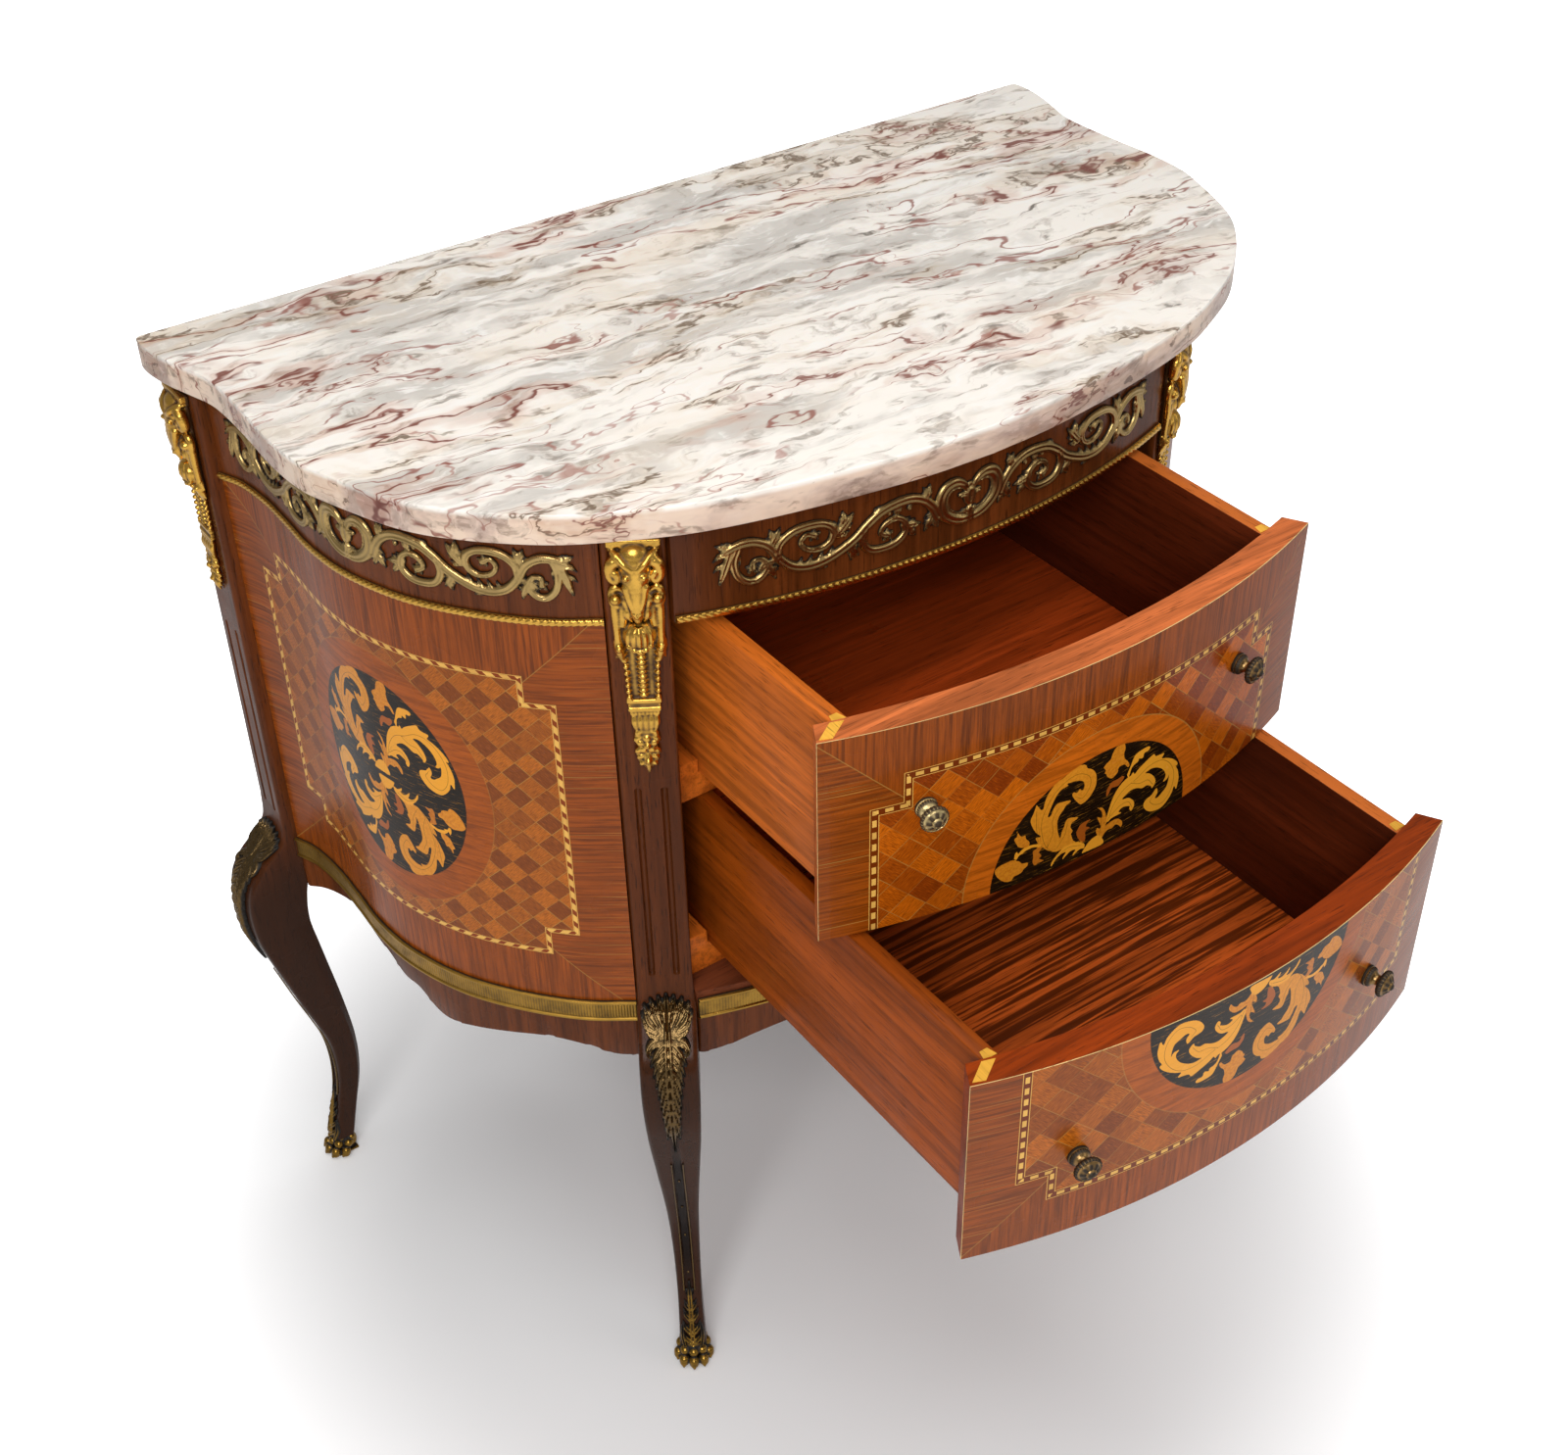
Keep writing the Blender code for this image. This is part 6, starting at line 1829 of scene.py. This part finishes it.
def knee_strokes():
    strokes = []
    for way in (1, -1):
        for foot, middle, tip in palmette_leaves:
            strokes.append(stroke((way * foot[0], foot[1], 1.8), (way * middle[0], middle[1], 2.8),
                                  (way * (middle[0] + tip[0]) / 2, (middle[1] + tip[1]) / 2, 2.6),
                                  (way * tip[0], tip[1], 1.6)))
        strokes.append(stroke((way * 1.5, 385.5, 2.0), (way * 7.0, 384.5, 2.4), (way * 12.4, 383.0, 2.6),
                              (way * 14.8, 379.4, 2.4), (way * 12.8, 376.6, 1.8), (way * 10.2, 378.0, 1.5)))
        for root, reach, tip in ((381, 13.0, 370), (375, 11.4, 362), (368, 10.0, 353), (360, 8.6, 342),
                                 (350, 7.4, 331), (339, 6.4, 319), (327, 5.4, 306), (314, 4.6, 293)):
            strokes.append(stroke((way * 1.2, root + 2.5, 2.4), (way * reach * 0.62, root - 3, 2.8),
                                  (way * reach, tip, 1.2)))
    strokes.append(stroke((0, 386, 2.6), (0, 396, 3.2), (0, 405, 2.8), (0, 410.8, 1.6)))
    strokes.append(stroke((0, 388, 3.0), (0, 378, 3.8), (0, 362, 3.8), (0, 340, 3.2), (0, 312, 2.6),
                          (0, 288, 1.8), (0, 272, 0.9)))
    return strokes


def build_knee_mounts():
    for name, post, side in posts:
        bm = relief_sheet(knee_strokes(), knee_low, knee_high, knee_step, *knee_relief)
        nail = nail_head(sizes().nail_radius * 1.3)
        bmesh.ops.translate(nail, verts=nail.verts[:], vec=knee_nail)
        add_bmesh(bm, nail)
        over_leg(bm, post, side)
        place_piece(name + "_knee_casting", bm, "case", [coat_of("antique")],
                    [name + "_knee_mount"], math.radians(70.0))


def build_strips():
    """Brass lines down both sides of the leg's channel, with small nails between them."""
    near = channel_width / 2 + gap
    far = near + strip_width
    heights = stations(strip_low, strip_high, strip_step)
    for name, post, side in posts:
        bm = bmesh.new()
        for way in (1, -1):
            strip = flat_sheet(np.linspace(near, far, 5) * way, heights, gap)

            def dome(across, up):
                share = (np.abs(across) - near) / (far - near)
                return strip_edge + strip_dome * np.sqrt(np.clip(1.0 - (2 * share - 1.0) ** 2, 0.0, 1.0))

            raise_sheet(strip, dome)
            add_bmesh(bm, strip)
        for z in np.linspace(strip_low + strip_nail_low, strip_high - strip_nail_high, 4):
            nail = nail_head(sizes().nail_radius)
            bmesh.ops.translate(nail, verts=nail.verts[:], vec=(0.0, gap - channel_depth, z))
            add_bmesh(bm, nail)
        over_leg(bm, post, side)
        place_piece(name + "_strip_brass", bm, "case", [coat_of("antique")],
                    [name + "_leg_strips"])


def add_bmesh(target, source):
    mesh = bpy.data.meshes.new("part")
    source.to_mesh(mesh)
    source.free()
    target.from_mesh(mesh)
    bpy.data.meshes.remove(mesh)


def nail_head(radius):
    """A small flattened ball, whose outer half shows."""
    bm = bmesh.new()
    bmesh.ops.create_uvsphere(bm, u_segments=12, v_segments=8, radius=radius)
    bmesh.ops.scale(bm, vec=(1.0, 0.6, 1.0), verts=bm.verts[:])
    return bm


def paw_pattern():
    bm = bmesh.new()
    pour(bm, (0, 3.0, 14, 9.6), (0, 1.0, 22, 8.8), (0, 0.0, 29, 8.0), flatten=(1.0, 1.0, 0.9))
    pour(bm, (0, -3.0, 8, 7.6), flatten=(1.2, 1.0, 0.95))
    for across, forward, turn in ((0.0, 15.0, 0.0), (-7.6, 12.4, -0.35), (7.6, 12.4, 0.35),
                                  (-11.2, 4.0, -0.8), (11.2, 4.0, 0.8)):
        side = math.sin(turn)
        pour(bm, (across * 0.75, forward - 7.5, 17.6, 3.6))
        pour(bm, (across * 0.96, forward - 3.0, 13.8, 4.3))
        pour(bm, (across + side * 2.2, forward + 1.4, 7.0, 4.4),
             (across + side * 2.6, forward + 2.2, 4.6, 4.0))
        pour(bm, (across + side * 3.4, forward + 5.0, 4.2, 1.9),
             (across + side * 3.8, forward + 6.0, 2.4, 1.2))
    pour_block(bm, (-10.5, -8.0, 0.2), (10.5, 12.0, 2.4))
    return bm


def sabot_strokes():
    strokes = leaf([(0, 24, 2.2), (0, 40, 2.6), (0, 56, 2.5), (0, 72, 2.0), (0, 84, 0.9)],
                   [(0.02, 44, 15, 2.4), (0.02, -44, 15, 2.4), (0.18, 40, 15, 2.4), (0.18, -40, 15, 2.4),
                    (0.36, 36, 14, 2.2), (0.36, -36, 14, 2.2), (0.54, 32, 12, 2.0), (0.54, -32, 12, 2.0),
                    (0.72, 28, 9, 1.5), (0.72, -28, 9, 1.5)])
    for way in (1, -1):
        strokes.append(stroke((way * 7, 22, 1.8), (way * 8.6, 32, 1.8), (way * 7.6, 42, 1.1)))
    return strokes


def build_sabots():
    pattern = cast(paw_pattern(), paw_voxel, 1)
    flat = coordinates(pattern)
    flat[:, 2] = np.clip(flat[:, 2], 0.0, paw_height)
    for name, post, side in posts:
        bm = pattern.copy()
        set_coordinates(bm, post.place(flat, side))
        foliage = relief_sheet(sabot_strokes(), sabot_low, sabot_high, sabot_step, *sabot_relief)
        over_leg(foliage, post, side)
        add_bmesh(bm, foliage)
        place_piece(name + "_paw_casting", bm, "case", [coat_of("paw")],
                    [name + "_sabot"], math.radians(70.0))
    pattern.free()


# Half the knob's section as radius and distance from the front, in millimetres
knob_profile = ((0.0, 0.0), (7.6, 0.0), (7.9, 0.7), (7.8, 1.6), (7.0, 2.1), (7.3, 2.7), (7.2, 3.7),
                (6.4, 4.9), (5.2, 5.9), (4.4, 6.9), (4.0, 8.0), (3.9, 9.0), (4.4, 9.8), (6.4, 10.5),
                (8.6, 11.4),
                (9.5, 12.4), (9.8, 13.4), (9.7, 14.4), (9.2, 15.2), (8.7, 15.5), (8.3, 15.1), (7.9, 15.2),
                (6.9, 16.4), (5.4, 17.6), (4.0, 18.2), (3.4, 18.0), (3.0, 18.6), (2.2, 19.8), (1.2, 20.4),
                (0.0, 20.5))


def knob_seat(name):
    """A knob's foot on the front, its direction outwards and its direction across, on the right."""
    across = drawer_half_width - knob_insets[name]
    depths = [float(bow_depth(x, drawer_half_width, frieze_depth, front_bow))
              for x in (across - gap, across + gap, across)]
    slope = (depths[1] - depths[0]) / (2 * gap)
    out = np.array((-slope, 1.0)) / math.hypot(slope, 1.0)
    along = np.array((out[1], -out[0]))
    return np.array((across, depths[2])) + out * gap, out, along


def build_knobs():
    bm = bmesh.new()
    profile = [bm.verts.new((radius / 1000, length / 1000, 0.0)) for radius, length in knob_profile]
    edges = [bm.edges.new(pair) for pair in zip(profile[:-1], profile[1:])]
    bmesh.ops.spin(bm, geom=profile + edges, cent=(0.0, 0.0, 0.0), axis=(0.0, 1.0, 0.0),
                   dvec=(0.0, 0.0, 0.0), angle=2 * math.pi, steps=knob_steps, use_merge=True,
                   use_normal_flip=False, use_duplicate=False)
    bmesh.ops.remove_doubles(bm, verts=bm.verts[:], dist=gap / 20)
    # Ribs round the rim and the foot, and petals on the face, found by places in millimetres
    for vert in bm.verts:
        x, y, z = vert.co * 1000
        radius = math.hypot(x, z)
        turn = math.atan2(z, x)
        swell = 1.0
        if 11.0 < y < 15.3 and radius > 8.4:
            swell += 0.035 * math.cos(turn * 24)
        if y > 15.15 and radius > 3.2:
            share = min(1.0, (radius - 3.2) / 5.0)
            vert.co.y += petal_height * math.cos(turn * 8) * math.sin(math.pi * share)
        if radius > 6.8 and 2.2 < y < 4.0:
            swell += 0.03 * math.cos(turn * 24)
        vert.co.x *= swell
        vert.co.z *= swell
    write_hollows(bm, 6, knob_hollow_depth)
    for level in ("upper", "lower"):
        for side_name, side in sides:
            name = level + "_" + side_name
            foot, out, along = knob_seat(name)
            low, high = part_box(name + "_knob")
            knob = bm.copy()
            flat = coordinates(knob)
            plan = foot + np.outer(flat[:, 1], out) + np.outer(flat[:, 0], along)
            places = np.stack([side * plan[:, 0], back_y - plan[:, 1] - drawer_open[level],
                               (low.z + high.z) / 2 + flat[:, 2]], axis=1)
            set_coordinates(knob, places)
            coat = coat_of("bright knob" if name == "upper_left" else "knob")
            place_piece(name + "_pull", knob, level + "_drawer", [coat], [name + "_knob"],
                        math.radians(50.0))
    bm.free()


# Camera, floor and lights

camera_place = (-0.785304565, back_y - 1.36013771, 1.51394600)
camera_azimuth = 0.599321259
camera_dip = 0.654234023
camera_roll = -0.0218043550
camera_focal_share = 2111.706 / 1600
camera_sensor = 36.0
camera_lens = camera_focal_share * camera_sensor
camera_shift = (0.00034, 0.00049)
camera_near = 0.01
camera_far = 100.0
floor_half = 14.0
# Painted light on the floor: its camera-ray glow starts and reaches full white at these distances from a
# point near the chest
floor_painted_light_near = 0.34
floor_painted_light_far = 0.86
floor_painted_light_scale = (1.0, 0.95, 1.0)
floor_painted_light_shift = (0.04, -0.06, 0.0)
world_light = 0.20
world_shine = 0.30
# Each light is its name, place, aim, width and share of the main light's power
stage_lights = (("key", (-2.0, -2.2, 2.6), (0.0, -0.1, 0.5), 1.8, 1.0),
                ("fill", (2.0, -2.4, 2.0), (0.0, -0.1, 0.5), 1.5, 0.13),
                ("top", (0.1, -0.5, 5.0), (0.0, -0.1, 0.6), 4.4, 1.85))


def build_stage():
    bm = bmesh.new()
    bmesh.ops.create_grid(bm, x_segments=1, y_segments=1, size=floor_half)
    mesh = bpy.data.meshes.new("floor")
    bm.to_mesh(mesh)
    bm.free()
    floor = bpy.data.objects.new("floor", mesh)
    bpy.context.scene.collection.objects.link(floor)
    coat = Coat("studio floor")
    place = coat.object_place()
    coat.set("Base Color", coat.mix(coat.noise(place, 1.5, 2.0), tint(246, 246, 247), tint(250, 250, 250)))
    coat.set("Roughness", 0.9)
    coat.set("Emission Color", (1.0, 1.0, 1.0))
    # Painted light: the floor glows white for the camera, more the farther it lies from the chest, so that
    # its real shadow fades out round a pool under the chest
    seen = coat.node("ShaderNodeLightPath").outputs["Is Camera Ray"]
    far_off = coat.node("ShaderNodeVectorMath", operation="LENGTH")
    coat.feed(far_off.inputs[0], coat.mapped(place, floor_painted_light_scale, shift=floor_painted_light_shift))
    lift = coat.level(far_off.outputs["Value"], floor_painted_light_near, floor_painted_light_far)
    coat.set("Emission Strength", coat.times(seen, lift))
    mesh.materials.append(coat.material)

    world = bpy.data.worlds.new("studio")
    bpy.context.scene.world = world
    world.use_nodes = True
    nodes = world.node_tree.nodes
    links = world.node_tree.links
    light_path = nodes.new("ShaderNodeLightPath")
    last = None
    for ray, level in (("Is Glossy Ray", world_shine), ("Is Camera Ray", 1.0)):
        strength = nodes.new("ShaderNodeMix")
        strength.data_type = "FLOAT"
        strength.inputs[2].default_value = world_light
        strength.inputs[3].default_value = level
        links.new(light_path.outputs[ray], strength.inputs[0])
        if last is not None:
            links.new(last.outputs[0], strength.inputs[2])
        last = strength
    nodes["Background"].inputs["Color"].default_value = (1.0, 1.0, 1.0, 1.0)
    links.new(last.outputs[0], nodes["Background"].inputs["Strength"])

    for name, place, target, size, power_share in stage_lights:
        add_light(name, place, target, size, sizes().light_power * power_share)

    dip = camera_dip
    forward = Vector((math.sin(camera_azimuth) * math.cos(dip), math.cos(camera_azimuth) * math.cos(dip),
                      -math.sin(dip)))
    right = Vector((math.cos(camera_azimuth), -math.sin(camera_azimuth), 0.0))
    up = right.cross(forward)
    rolled_right = right * math.cos(camera_roll) + up * math.sin(camera_roll)
    rolled_up = up * math.cos(camera_roll) - right * math.sin(camera_roll)
    data = bpy.data.cameras.new("photo camera")
    data.sensor_width = camera_sensor
    data.lens = camera_lens
    data.shift_x = camera_shift[0]
    data.shift_y = camera_shift[1]
    data.clip_start = camera_near
    data.clip_end = camera_far
    camera = bpy.data.objects.new("photo camera", data)
    bpy.context.scene.collection.objects.link(camera)
    turn = Matrix((rolled_right, rolled_up, -forward)).transposed().to_4x4()
    camera.matrix_world = Matrix.Translation(Vector(camera_place)) @ turn
    bpy.context.scene.camera = camera
    bpy.context.scene.view_settings.view_transform = "Standard"


def add_light(name, place, target, size, power):
    data = bpy.data.lights.new(name, "AREA")
    data.shape = "SQUARE"
    data.size = size
    data.energy = power
    light = bpy.data.objects.new(name, data)
    bpy.context.scene.collection.objects.link(light)
    light.location = place
    light.rotation_mode = "QUATERNION"
    light.rotation_quaternion = (Vector(place) - Vector(target)).to_track_quat("Z", "Y")


# Operators


class CommodeStage(bpy.types.Operator):
    """Make the floor, the world, the lights and the camera"""

    bl_idname = "commode.stage"
    bl_label = "Stage"

    def execute(self, context):
        build_stage()
        return {"FINISHED"}


class CommodeMarble(bpy.types.Operator):
    """Make the veined marble slab"""

    bl_idname = "commode.marble"
    bl_label = "Marble"

    def execute(self, context):
        build_marble()
        return {"FINISHED"}


class CommodeCarcase(bpy.types.Operator):
    """Finish the boards and runners inside the case"""

    bl_idname = "commode.carcase"
    bl_label = "Carcase"

    def execute(self, context):
        build_carcase()
        return {"FINISHED"}


class CommodeSkin(bpy.types.Operator):
    """Make the bent friezes and the shaped aprons"""

    bl_idname = "commode.skin"
    bl_label = "Friezes and aprons"

    def execute(self, context):
        build_skin()
        return {"FINISHED"}


class CommodePanels(bpy.types.Operator):
    """Make the two marquetry side panels"""

    bl_idname = "commode.panels"
    bl_label = "Side panels"

    def execute(self, context):
        build_panels()
        return {"FINISHED"}


class CommodeLegs(bpy.types.Operator):
    """Make the four fluted posts with their cabriole legs"""

    bl_idname = "commode.legs"
    bl_label = "Posts and legs"

    def execute(self, context):
        build_legs()
        return {"FINISHED"}


class CommodeLines(bpy.types.Operator):
    """Make the twisted beads and the ribbed bands"""

    bl_idname = "commode.lines"
    bl_label = "Brass lines"

    def execute(self, context):
        build_lines()
        return {"FINISHED"}


class CommodeScrollMounts(bpy.types.Operator):
    """Make the three pierced scroll mounts of the frieze"""

    bl_idname = "commode.scroll_mounts"
    bl_label = "Scroll mounts"

    def execute(self, context):
        build_scroll_mounts()
        return {"FINISHED"}


class CommodePostMounts(bpy.types.Operator):
    """Make the four ram's-head mounts"""

    bl_idname = "commode.post_mounts"
    bl_label = "Ram's-head mounts"

    def execute(self, context):
        build_post_mounts()
        return {"FINISHED"}


class CommodeKneeMounts(bpy.types.Operator):
    """Make the palmettes and husks on the knees, and the strips below them"""

    bl_idname = "commode.knee_mounts"
    bl_label = "Knee mounts"

    def execute(self, context):
        build_knee_mounts()
        build_strips()
        return {"FINISHED"}


class CommodeSabots(bpy.types.Operator):
    """Make the lion's-paw sabots"""

    bl_idname = "commode.sabots"
    bl_label = "Sabots"

    def execute(self, context):
        build_sabots()
        return {"FINISHED"}


class CommodeDrawers(bpy.types.Operator):
    """Make the two drawers with their marquetry fronts"""

    bl_idname = "commode.drawers"
    bl_label = "Drawers"

    def execute(self, context):
        build_drawers()
        return {"FINISHED"}


class CommodeKnobs(bpy.types.Operator):
    """Make the four knobs"""

    bl_idname = "commode.knobs"
    bl_label = "Knobs"

    def execute(self, context):
        build_knobs()
        return {"FINISHED"}


class CommodePanel(bpy.types.Panel):
    """Lists the commode's pieces"""

    bl_idname = "VIEW3D_PT_commode"
    bl_label = "Demilune commode"
    bl_space_type = "VIEW_3D"
    bl_region_type = "UI"
    bl_category = "Commode"

    def draw(self, context):
        for operator in operators:
            self.layout.operator(operator.bl_idname)
        for group in (context.scene.chest_sizes, context.scene.chest_colours):
            for name in group.bl_rna.properties.keys():
                if name not in ("rna_type", "name"):
                    self.layout.prop(group, name)


operators = (CommodeStage, CommodeMarble, CommodeCarcase, CommodeSkin, CommodePanels, CommodeLegs,
             CommodeLines, CommodeScrollMounts, CommodePostMounts, CommodeKneeMounts, CommodeSabots,
             CommodeDrawers, CommodeKnobs)
classes = (ChestColours, ChestSizes, *operators, CommodePanel)


def register():
    for item in classes:
        bpy.utils.register_class(item)
    bpy.types.Scene.chest_colours = bpy.props.PointerProperty(type=ChestColours)
    bpy.types.Scene.chest_sizes = bpy.props.PointerProperty(type=ChestSizes)


def unregister():
    del bpy.types.Scene.chest_sizes
    del bpy.types.Scene.chest_colours
    for item in reversed(classes):
        bpy.utils.unregister_class(item)


def main():
    register()
    bpy.ops.commode.stage()
    bpy.ops.commode.marble()
    bpy.ops.commode.carcase()
    bpy.ops.commode.skin()
    bpy.ops.commode.panels()
    bpy.ops.commode.legs()
    bpy.ops.commode.lines()
    bpy.ops.commode.scroll_mounts()
    bpy.ops.commode.post_mounts()
    bpy.ops.commode.knee_mounts()
    bpy.ops.commode.sabots()
    bpy.ops.commode.drawers()
    bpy.ops.commode.knobs()
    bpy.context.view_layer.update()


if __name__ == "__main__":
    main()
